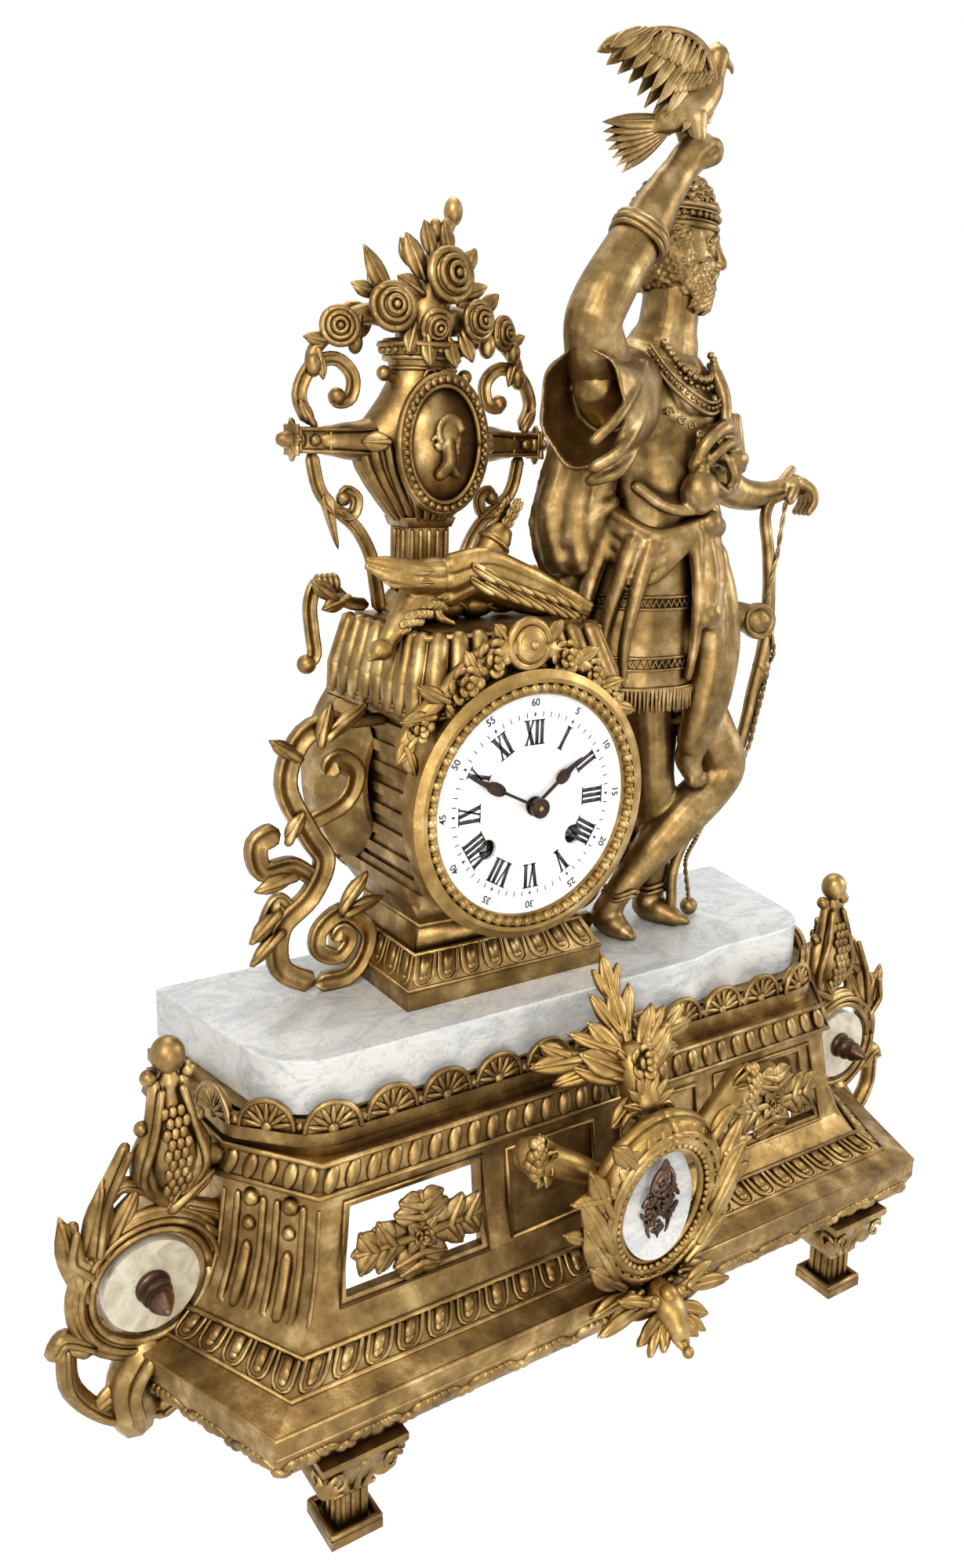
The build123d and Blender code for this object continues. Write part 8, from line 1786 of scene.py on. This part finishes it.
def head():
    """Head with a calm, plain face, curled hair and beard, and a beaded crown over the hair."""
    gaze = Matrix.Rotation(-atan2(0.56, 0.83), 4, "Z")
    mesh = Cast()
    def lump(ahead, aside, up, radius, shape=(1, 1, 1), fine=14):
        ball(mesh, *head_spot(ahead, aside, up), radius * HEAD_SCALE, shape, gaze, fine)
    def ridge(points, fine=12):
        limb(mesh, [(*head_spot(*p[:3]), p[3] * HEAD_SCALE) for p in points], fine)
    lump(-2.5, 0, 7, 14.2, (1.06, 0.92, 1), 24)
    lump(2.4, 0, -2.5, 11.3, (0.98, 0.9, 1.32), 24)
    lump(5.4, 0, 7, 8.8, (0.95, 1.15, 0.85), 20)
    lump(6.4, 0, -13.6, 7.4, (0.95, 1.15, 0.9), 18)
    ridge([
        (-1, 0, -4, 10.8), (-1.2, 0, -16, 10.4), (-1.8, 0.2, -25, 10.8), (-3, 0.6, -32, 13),
        (-4.6, 1, -38, 17), (-6, 1.4, -44, 19)
    ], 28)
    ridge([
        (11.6, -6.2, 2.8, 1.4), (13.1, -3.4, 4.4, 1.7), (13.4, 0, 4.2, 1.8), (13.1, 3.4, 4.4, 1.7),
        (11.6, 6.2, 2.8, 1.4)
    ])
    ridge([(13, 0, 4, 1.9), (14.9, 0, -0.6, 1.8), (16.4, 0, -4.2, 2.1)])
    lump(14.4, 0, -5, 2.4, (0.95, 1.25, 0.75))
    lump(12, 0, -7.6, 3.4, (0.8, 1.3, 0.9))
    for side in (-1, 1):
        lump(13.6, side * 2.1, -4.8, 1.6)
        lump(10.7, side * 4.6, 0.6, 2.5)
        ridge([(10.9, side * 7.2, 0.2, 0.6), (12.7, side * 4.8, 2.3, 0.75), (12.9, side * 2.6, 0.6, 0.55)])
        ridge([(10.9, side * 7.2, 0.2, 0.5), (12.4, side * 4.8, -1.2, 0.6), (12.8, side * 2.6, 0.2, 0.5)])
        lump(9.9, side * 5.4, -5.2, 3.6, (0.95, 1, 0.85))
        lump(-1.6, side * 10.9, -1.6, 3.4, (0.9, 0.45, 1.35))
        ridge([
            (-0.6, side * 11.8, 2, 0.8), (-3.6, side * 12.2, 1.5, 0.8), (-4.2, side * 12, -3, 0.8),
            (-1.8, side * 11.4, -5.6, 0.8)
        ])
        ridge([(14.4, side * 0.6, -7.4, 1.6), (13.2, side * 3.8, -8.8, 1.6), (11, side * 6.2, -11.8, 1.2)])
    lump(13.6, 0, -9.8, 1.9, (0.8, 1.7, 0.55))
    lump(13.2, 0, -11.6, 2, (0.8, 1.5, 0.6))
    modelled(mesh, "figure_face_and_neck", "figure", 0.45, 3, replaced=["figure_head"])
    mesh = Cast()
    for k in range(150):
        share = (k + 0.5) / 150
        turn = scattered(k)
        angle = radians(104 * turn)
        up = -6.0 - 15.0 * share + (5.0 if abs(turn) > 0.72 else 0)
        if up > -12.6 and abs(turn) < 0.36:
            continue
        reach = 1.04 - 0.2 * share * share
        curl_of_hair(
            mesh, 2.2 + 11.4 * reach * cos(angle), 10.3 * reach * sin(angle), up,
            1.5 + 0.22 * (k % 3)
        )
    for k in range(230):
        share = (k + 0.5) / 230
        turn = scattered(k)
        angle = pi + radians(110 * turn)
        up = -13.0 + 25.0 * share
        rise = 0.62 + 0.38 * cos((up - 4) / 16)
        curl_of_hair(
            mesh, -2.5 + 14.4 * rise * cos(angle), 13.0 * rise * sin(angle), up, 1.9 + 0.3 * (k % 3)
        )
    for k in range(90):
        share = (k + 0.5) / 90
        angle = k * 2.399963
        flat = sqrt(1 - share * share)
        curl_of_hair(
            mesh, -1.6 + 13.0 * flat * cos(angle), 12.0 * flat * sin(angle), 15.0 + 11.5 * share,
            1.9 + 0.3 * (k % 3)
        )
    ball(mesh, *head_spot(-1.6, 0, 14), 12.4 * HEAD_SCALE, (1.04, 0.96, 0.92), gaze, 18)
    modelled(mesh, "figure_hair_and_beard", "figure", 0.5, 1)
    mesh = Cast()
    def band_point(angle, reach, up):
        return at(
            *head_spot(
                -1.5 + 15.4 * reach * cos(angle), 13.6 * reach * sin(angle),
                up - 0.9 * cos(angle)
            )
        )
    for up, reach, thick, around in (
        (8, 1, 1.5, 8), (14.6, 1, 1.4, 8), (9.6, 0.98, 1, 6), (11.3, 0.98, 1, 6),
        (13, 0.98, 1, 6),
    ):
        wire(mesh, [band_point(tau * k / 36, reach, up) for k in range(37)], thick, around)
    for k in range(34):
        mesh.sphere(8, 6, 1.45 * MM, Matrix.Translation(band_point(tau * k / 34, 1.03, 11.3)))
    for k in range(40):
        mesh.sphere(8, 6, 1.0 * MM, Matrix.Translation(band_point(tau * (k + 0.5) / 40, 0.97, 16.2)))
    ball(mesh, *head_spot(-1.6, 0, 28), 2.8)
    finished(mesh, "figure_beaded_crown", "figure")


def falcon():
    """Falcon on the raised hand: raised wings of ridged feathers, fan tail, head with a tuft."""
    mesh = Cast()
    limb(mesh, [
        (34, FALCON_Y, 553, 3.5), (44, FALCON_Y, 558, 6.5), (56, FALCON_Y, 564, 8.6),
        (63, FALCON_Y, 571, 7.4), (67, FALCON_Y, 579, 5.2), (68, FALCON_Y, 585, 5)
    ], 16)
    ball(mesh, 68.5, FALCON_Y, 585.5, 5.4)
    limb(mesh, [(72, -14.4, 584.5, 2.4), (76, -15, 582.5, 1.2), (76.5, -15, 580.5, 0.7)], 10)
    ball(mesh, 68, -13.4, 589.4, 2.4, (1, 1, 1))
    for side in (-1, 1):
        limb(mesh, [
            (55, FALCON_Y + side * 3.5, 560, 5.4), (57, FALCON_Y + side * 3.8, 552, 3.6),
            (58, FALCON_Y + side * 3.6, 548.5, 2)
        ], 12)
        for k in range(3):
            limb(mesh, [
                (58, FALCON_Y + side * 3.6, 549, 1.5),
                (62 + k * 0.6, -15.6 + side * 3.6 + k * 2, 547.5, 1.2)
            ], 8)
    modelled(mesh, "falcon_body", "figure", 0.55, 1, replaced=["falcon"])
    mesh = Cast()
    for side, shift in ((-1, -4.2), (1, 3)):
        y = FALCON_Y + shift
        bone = curve_points(
            [(62, y, 566), (63, y, 577), (57, y, 586), (45, y, 590), (28, y, 588), (10, y, 580)], 4
        )
        wire(mesh, bone, 2.6, 8, 1.2)
        tips = [
            (7, 578), (12, 574), (18, 571.5), (24, 569), (29, 565), (33, 561), (37, 557), (42, 553.5),
            (47, 552)
        ]
        roots = [
            (24, 587.5), (30, 588), (36, 588.5), (42, 588), (47, 587), (52, 584), (56, 580), (58, 575),
            (59, 570)
        ]
        for k, (tip, root) in enumerate(zip(tips, roots)):
            leaf(
                mesh, (root[0], y + 0.25 * side * (k % 2), root[1]), (tip[0], y + side * 0.5, tip[1]), 6.6,
                2.6, (0, side, 0)
            )
        for k in range(8):
            root = (57 - k * 3.4, y + side * 0.7, 585 + min(k, 3) * 0.8)
            leaf(
                mesh, root, (root[0] - 6.0 + k * 0.1, y + side * 1, root[2] - 13 + k * 0.6), 5.4, 2.4,
                (0, side, 0)
            )
        for k in range(6):
            root = (60 - k * 2.6, y + side * 1, 577 - k * 0.6)
            leaf(mesh, root, (root[0] - 6, y + side * 1, root[2] - 8), 4.6, 2.4, (0, side, 0))
    for k in range(7):
        angle = radians(196 + k * 7)
        tip = (44 + 40 * cos(angle), FALCON_Y + (k - 3) * 1.3, 557.5 + 34 * sin(angle) * 0.8)
        leaf(mesh, (46, FALCON_Y, 557), tip, 7, 2.6, (0, -1, 0.2))
    for k in range(14):
        angle = k * 2.4
        spot = (58 + 6 * sin(k), FALCON_Y - 6.0 * abs(cos(angle)), 560 + k * 1.2)
        leaf(mesh, spot, (spot[0] - 3, spot[1], spot[2] - 4), 3.6, 1.8)
    finished(mesh, "falcon_feathers", "figure")


def bow_and_string():
    """Long bow that stands on the slab, its grip, and the twisted wire string ending in a ball."""
    mesh = Cast()
    line = [
        (150, 3, 412, 2.2), (143, 3.5, 404, 2.6), (135, 4, 390, 2.9), (136, 1.5, 372, 3.1),
        (137, 0, 352, 3.3), (137, 0, 325, 3.9), (131, 0, 300, 3.7), (128, 0, 286, 3.5), (123, 0, 271, 3.3),
        (113, 0, 255, 3.2), (104, 0, 243, 3.1), (94, 0.6, 232, 3), (87, 1, 220, 2.8), (83.5, 1, 208, 2.7),
        (83, 0, 197.5, 2.7), (83.3, 0, 188, 2.6)
    ]
    points = curve_points([p[:3] for p in line], 3)
    sizes = [a[3] + (b[3] - a[3]) * i / 3 for a, b in zip(line, line[1:]) for i in range(3)] + [line[-1][3]]
    limb(mesh, [(*datum(point), radius) for point, radius in zip(points, sizes)], 12)
    for z in (336, 332, 312, 308):
        wire(mesh, [at(137 - abs(z - 325) * 0.12, 0, z + rise) for rise in (0, 1.6)], 4.7, 14)
    finished(mesh, "long_bow", "figure", replaced=["bow"])
    mesh = Cast()
    path = [
        (152, 1.5, 404), (147, 2, 397), (139, -2, 370), (132, -4.2, 345), (139, -4.4, 322), (140.5, 1, 312),
        (134, -4.4, 303), (130, -4.4, 288), (126, -4.2, 272), (117, -4.1, 257), (107, -4, 244),
        (99, -3.5, 235), (95, -3, 228), (93, 0, 220), (94, 3, 212), (99, 5, 195), (100.5, 5.8, 189.5)
    ]
    line = curve_points(path, 10)
    for strand in (0, pi):
        twist = []
        for i, spot in enumerate(line):
            tangent = (line[min(i + 1, len(line) - 1)] - line[max(i - 1, 0)]).normalized()
            side = tangent.cross(BACK).normalized()
            other = tangent.cross(side)
            angle = strand + i * 1.15
            twist.append(spot + (side * cos(angle) + other * sin(angle)) * 0.62 * MM)
        wire(mesh, twist, 0.72, 6)
    ball(mesh, 100.7, 5.8, 187.4, 4.6)
    finished(mesh, "twisted_bow_wire", "figure", replaced=["bowstring"])


def trophy():
    """Hunting trophy on the cap: game bird with spread wings, quiver of arrows and foliage."""
    mesh = Cast()
    limb(mesh, [
        (-87, -6, 339.5, 3.4), (-82, -4, 345, 4.6), (-76, -1, 351, 5.4), (-66, 3, 358, 8.5),
        (-54, 7, 363, 10), (-42, 9, 363, 9), (-28, 10, 359, 6.6), (-12, 11, 352.5, 4.6),
        (2, 11, 348, 3.4), (12, 10.5, 346, 3)
    ], 16)
    ball(mesh, -88.5, -6.5, 338.5, 4.8, (1.2, 1, 0.95))
    limb(mesh, [(-91, -8, 337, 2.4), (-96, -10, 335.5, 1.2)], 10)
    limb(mesh, [(-60, 0, 356, 3.4), (-60, -4, 350, 2.2), (-54, -5, 347, 1.5)], 10)
    bone = [
        (-54, -3, 371, 5.5), (-40, -7, 374.5, 4.6), (-20, -7, 368, 3.8), (4, -5, 358, 2.8), (20, -4, 351, 1.6)
    ]
    for share, shrink in ((0, 1), (0.5, 1.1), (1, 0.9)):
        limb(mesh, [
            (x, y + 2.5 * share, z - share * (13 - 2.2 * k), r * shrink)
            for k, (x, y, z, r) in enumerate(bone)
        ], 12)
    for drop in (0, 5):
        limb(mesh, [
            (-60, -1, 369 - drop, 6), (-72, -4, 370 - drop, 4.6), (-84, -5, 373 - drop, 3.2),
            (-94, -4, 375 - drop * 0.6, 1.4)
        ], 12)
    modelled(mesh, "trophy_bird_body", "bright", 0.65, 2, replaced=["trophy"])
    mesh = Cast()
    for k in range(16):
        share = (k // 2) / 7
        low = k % 2
        root = (-48 + 52 * share, -10.6 + 4.6 * share + low, 372 - 15 * share - low * 5.5)
        leaf(mesh, root, (root[0] + 15 - 3 * share, root[1] + 1.5, root[2] - 8.5), 6, 1.8, (0, -0.95, 0.3))
    for k in range(6):
        root = (-66 - 4.5 * (k % 3), -8.0 + 0.6 * (k % 3), 370 - 5.0 * (k // 3))
        leaf(mesh, root, (root[0] - 13, root[1] + 1, root[2] + 1), 5, 1.8, (0, -0.95, 0.3))
    for k in range(5):
        leaf(mesh, (-4 + 2 * k, 9.5, 349), (21 + k * 0.8, 7.5 + k * 1.3, 345.5), 4.4, 2, (0, -0.6, 0.8))
    for k in range(36):
        share = (k + 0.5) / 36
        turn = scattered(k)
        x, z = -83 + 38 * share, 346 + 17 * share
        reach = 5.2 + 5.4 * share
        spot = (
            x + reach * 0.35 * turn, -4 + 12 * share - reach * 0.92 * cos(turn), z + reach * 0.8 * turn
        )
        leaf(mesh, spot, (spot[0] + 4.6, spot[1] + 0.6, spot[2] + 2.2), 3.8, 1.5, (0, -0.95, 0.3), False)
    finished(mesh, "trophy_bird_feathers", "bright")
    mesh = Cast()
    limb(mesh, [(-44, 14, 350, 5.6), (-34, 14, 362, 6.2), (-25, 14, 374, 6.6), (-20, 14, 381, 7)], 18)
    axis = Vector((24, 0, 31)).normalized()
    for share in (0.1, 0.5, 0.92):
        centre = at(-44 + 24 * share, 14, 350 + 31 * share)
        wire(mesh, ring(centre, BACK, axis.cross(BACK), 6.3 + share * 0.9, 20), 1.3, 6)
    for k in range(5):
        x, y = -21 + 2.2 * (k - 2), 14 + 2.4 * sin(k * 2.2)
        wire(mesh, [at(x, y, 380), at(x + 9, y, 397)], 1, 6)
        for side in (-1, 1):
            for n in range(3):
                root = (x + 3.0 + 2.2 * n, y, 385 + 3.6 * n)
                leaf(mesh, root, (root[0] + 2.2 + side * 2.4, y + side * 1.4, root[2] + 4), 3.6, 1.3)
    balls(
        mesh,
        ((-64, 14, 353, 9), (-48, 16, 352, 10), (-30, 17, 352, 9), (-14, 18, 352, 7.5), (2, 18, 351, 6)),
        (1.2, 1, 0.75)
    )
    for k in range(16):
        angle = k * 2.399
        root = (-34 + 2.4 * (k - 8), 15, 352)
        tip = (
            root[0] + 13 * cos(angle), 15 - 9 * abs(sin(angle)),
            350 + 9 * abs(cos(angle * 0.7))
        )
        leaf(mesh, root, tip, 7.5, 3, (0, -0.8, 0.5))
    for place in ((-8, 8, 358, 5.5), (4, 10, 355, 4.5), (-70, 10, 360, 4.5), (-24, 12, 368, 4)):
        flower(mesh, *place, (0, -0.9, 0.4), 5)
    finished(mesh, "trophy_quiver_and_foliage", "bright")


def finish_cad_nodes():
    """Gives every carried CAD node the procedural finish that its real material has."""
    for finish, names in CAD_FINISH.items():
        for name in names:
            for slot in nodes[name].material_slots:
                slot.material = finishes[finish]


def shown_white(tree):
    """Socket that is 1 for rays that should meet plain white: from the camera, metal and glass."""
    path = add_node(tree, "ShaderNodeLightPath")
    either = path.outputs["Is Camera Ray"]
    for other in ("Is Glossy Ray", "Is Transmission Ray"):
        both = {0: either, 1: path.outputs[other]}
        either = add_node(tree, "ShaderNodeMath", both, operation="MAXIMUM").outputs[0]
    return either


def stage():
    """White world and floor, studio lamps, and the camera of the photo."""
    settings = bpy.context.scene.clock_settings
    world = bpy.data.worlds.new("white_studio")
    world.use_nodes = True
    bpy.context.scene.world = world
    tree = world.node_tree
    tree.nodes.clear()
    place = add_node(tree, "ShaderNodeTexCoord").outputs["Generated"]
    split = add_node(tree, "ShaderNodeSeparateXYZ", {"Vector": place})
    soft = ramp(tree, split.outputs["Z"], [(0.0, "#b8b4ac"), (0.5, "#d8d6d2"), (0.8, "#ffffff")])
    around = add_node(tree, "ShaderNodeBackground", {"Color": soft, "Strength": settings.room_strength})
    seen = add_node(tree, "ShaderNodeBackground", {"Color": linear("#ffffff"), "Strength": 1.0})
    either = add_node(
        tree, "ShaderNodeMixShader", {0: shown_white(tree), 1: around.outputs[0], 2: seen.outputs[0]}
    )
    add_node(tree, "ShaderNodeOutputWorld", {"Surface": either.outputs[0]})
    floor_material, tree = start_material("white_paper_floor")
    paper = add_node(tree, "ShaderNodeBsdfDiffuse", {"Color": linear("#e6e6e6")})
    glow = add_node(tree, "ShaderNodeEmission", {"Color": linear("#ffffff"), "Strength": 0.97})
    catch = add_node(tree, "ShaderNodeBsdfDiffuse", {"Color": linear("#808080")})
    lit = add_node(tree, "ShaderNodeAddShader", {0: glow.outputs[0], 1: catch.outputs[0]})
    mixed = add_node(
        tree, "ShaderNodeMixShader", {0: shown_white(tree), 1: paper.outputs[0], 2: lit.outputs[0]}
    )
    add_node(tree, "ShaderNodeOutputMaterial", {"Surface": mixed.outputs[0]})
    mesh = bmesh.new()
    bmesh.ops.create_circle(
        mesh, cap_ends=True, segments=64, radius=6.0, matrix=Matrix.Translation((0, 0, -0.0002))
    )
    ground = bpy.data.meshes.new("paper_floor")
    mesh.to_mesh(ground)
    mesh.free()
    ground.materials.append(floor_material)
    floor = linked("paper_floor", ground)
    scene = bpy.context.scene
    scene.view_settings.view_transform = "Standard"
    for name, spot, target, size, power, colour in (
        ("key_softbox", (-900, -900, 1100), (0, 0, 260), 700, settings.key_power, (1.0, 0.97, 0.92)),
        ("right_softbox", (1100, -600, 700), (0, 0, 250), 600, settings.key_power * 0.45, (0.95, 0.97, 1.0)),
        ("top_softbox", (100, 300, 1400), (0, 0, 250), 800, settings.key_power * 0.5, (1.0, 1.0, 1.0)),
        (
            "low_front_softbox", (-300, -1300, 250), (0, 0, 150), 500, settings.key_power * 0.3,
            (1.0, 0.96, 0.9)
        ),
    ):
        lamp = bpy.data.lights.new(name, "AREA")
        lamp.energy = power
        lamp.size = size * MM
        lamp.color = colour
        piece = linked(name, lamp)
        piece.location = at(*spot)
        piece.rotation_euler = (at(*target) - at(*spot)).to_track_quat("-Z", "Y").to_euler()
    yaw, pitch, roll = (radians(a) for a in (33.8836, 12.4515, 1.5059))
    forward = Vector((sin(yaw) * cos(pitch), cos(yaw) * cos(pitch), -sin(pitch)))
    right = Vector((cos(yaw), -sin(yaw), 0))
    up = right.cross(forward)
    side = right * cos(roll) + up * sin(roll)
    top = up * cos(roll) - right * sin(roll)
    camera = bpy.data.cameras.new("camera")
    camera.sensor_width = SENSOR
    camera.lens = FOCAL / IMAGE_HEIGHT * SENSOR
    camera.shift_x = (IMAGE_WIDTH / 2 - MIDDLE_X) / IMAGE_HEIGHT
    camera.shift_y = (MIDDLE_Y - IMAGE_HEIGHT / 2) / IMAGE_HEIGHT
    camera.clip_start = 0.05
    eye = linked("camera", camera)
    matrix = basis(side, top, -forward)
    matrix.translation = at(-330.4, -452.9, 424.3)
    eye.matrix_world = matrix
    scene.camera = eye


class ClockSettings(bpy.types.PropertyGroup):
    """Sizes and light levels that the clock is built from."""

    tongue_pitch: bpy.props.FloatProperty(
        name="Tongue pitch", description="Width of each tongue in the row round the base",
        default=14.2 * MM, unit="LENGTH", subtype="DISTANCE",
    )
    carving_depth: bpy.props.FloatProperty(
        name="Carving depth", description="How far the carved rows stand out", default=1.5 * MM,
        unit="LENGTH", subtype="DISTANCE",
    )
    scallop_count: bpy.props.IntProperty(
        name="Scallops", description="Number of shells on the gallery rail", default=15
    )
    gadroon_pitch: bpy.props.FloatProperty(
        name="Gadroon pitch", description="Width of each upright lobe of the cap", default=10.5 * MM,
        unit="LENGTH", subtype="DISTANCE",
    )
    key_power: bpy.props.FloatProperty(
        name="Key power", description="Power of the main softbox in watts", default=15.0, subtype="POWER"
    )
    room_strength: bpy.props.FloatProperty(
        name="Room strength", description="Strength of the white room as the clock sees it", default=0.55,
        subtype="FACTOR",
    )


class CLOCK_OT_finish_frame(bpy.types.Operator):
    """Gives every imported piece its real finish."""

    bl_idname = "clock.finish_frame"
    bl_label = "Finish packed pieces"

    def execute(self, context):
        finish_cad_nodes()
        return {"FINISHED"}


class CLOCK_OT_base(bpy.types.Operator):
    """Builds the carving of the base, its windows, rail and feet."""

    bl_idname = "clock.base"
    bl_label = "Carve base"

    def execute(self, context):
        base_carving()
        window_leaves()
        rail_scallops()
        foot_carving()
        return {"FINISHED"}


class CLOCK_OT_cartouche(bpy.types.Operator):
    """Builds the cartouche with its crest, flowers, foot leaf and bronze spray."""

    bl_idname = "clock.cartouche"
    bl_label = "Build cartouche"

    def execute(self, context):
        cartouche()
        plaque_relief()
        return {"FINISHED"}


class CLOCK_OT_side_ornaments(bpy.types.Operator):
    """Builds the ring ornaments at both ends."""

    bl_idname = "clock.side_ornaments"
    bl_label = "Build side ornaments"

    def execute(self, context):
        side_ornaments()
        return {"FINISHED"}


class CLOCK_OT_case(bpy.types.Operator):
    """Builds the carved rows and scrolls of the case."""

    bl_idname = "clock.case"
    bl_label = "Carve case"

    def execute(self, context):
        case_carving()
        case_scrolls()
        return {"FINISHED"}


class CLOCK_OT_dial(bpy.types.Operator):
    """Builds the fired figures and marks of the dial."""

    bl_idname = "clock.dial"
    bl_label = "Print dial"

    def execute(self, context):
        dial_print()
        return {"FINISHED"}


class CLOCK_OT_garland(bpy.types.Operator):
    """Builds the flower garland over the bezel."""

    bl_idname = "clock.garland"
    bl_label = "Build garland"

    def execute(self, context):
        garland()
        return {"FINISHED"}


class CLOCK_OT_urn(bpy.types.Operator):
    """Builds the urn, its supports and its bouquet."""

    bl_idname = "clock.urn"
    bl_label = "Build urn"

    def execute(self, context):
        urn()
        urn_scrolls()
        bouquet()
        return {"FINISHED"}


class CLOCK_OT_trophy(bpy.types.Operator):
    """Builds the game bird, quiver and foliage on the cap."""

    bl_idname = "clock.trophy"
    bl_label = "Build trophy"

    def execute(self, context):
        trophy()
        return {"FINISHED"}


class CLOCK_OT_figure(bpy.types.Operator):
    """Builds the standing archer: legs, dress, arms and head."""

    bl_idname = "clock.figure"
    bl_label = "Model figure"

    def execute(self, context):
        legs()
        torso()
        arms()
        head()
        return {"FINISHED"}


class CLOCK_OT_falcon(bpy.types.Operator):
    """Builds the falcon on the raised hand."""

    bl_idname = "clock.falcon"
    bl_label = "Model falcon"

    def execute(self, context):
        falcon()
        return {"FINISHED"}


class CLOCK_OT_bow(bpy.types.Operator):
    """Builds the bow with its twisted wire."""

    bl_idname = "clock.bow"
    bl_label = "Build bow"

    def execute(self, context):
        bow_and_string()
        return {"FINISHED"}


class CLOCK_OT_stage(bpy.types.Operator):
    """Builds the white room, lamps and camera."""

    bl_idname = "clock.stage"
    bl_label = "Set stage"

    def execute(self, context):
        stage()
        return {"FINISHED"}


class CLOCK_PT_panel(bpy.types.Panel):
    """Panel with the sizes of the clock and a button for each group of pieces."""

    bl_idname = "CLOCK_PT_panel"
    bl_label = "Figural mantel clock"
    bl_space_type = "VIEW_3D"
    bl_region_type = "UI"
    bl_category = "Clock"

    def draw(self, context):
        settings = context.scene.clock_settings
        for name in settings.bl_rna.properties.keys():
            if name not in ("rna_type", "name"):
                self.layout.prop(settings, name)
        for step in STEPS:
            self.layout.operator("clock." + step)


STEPS = [
    "finish_frame", "base", "cartouche", "side_ornaments", "case", "dial", "garland", "urn", "trophy",
    "figure", "falcon", "bow", "stage",
]
CLASSES = [
    ClockSettings, CLOCK_OT_finish_frame, CLOCK_OT_base, CLOCK_OT_cartouche, CLOCK_OT_side_ornaments,
    CLOCK_OT_case, CLOCK_OT_dial, CLOCK_OT_garland, CLOCK_OT_urn, CLOCK_OT_trophy, CLOCK_OT_figure,
    CLOCK_OT_falcon, CLOCK_OT_bow, CLOCK_OT_stage, CLOCK_PT_panel,
]


def register():
    """Registers the classes and the settings of the scene."""
    for entry in CLASSES:
        bpy.utils.register_class(entry)
    bpy.types.Scene.clock_settings = bpy.props.PointerProperty(type=ClockSettings)


def unregister():
    """Takes the settings and the classes away again."""
    del bpy.types.Scene.clock_settings
    for entry in reversed(CLASSES):
        bpy.utils.unregister_class(entry)


def main():
    """Builds the clock step by step."""
    register()
    make_finishes()
    for step in STEPS:
        getattr(bpy.ops.clock, step)()


if __name__ == "__main__":
    main()
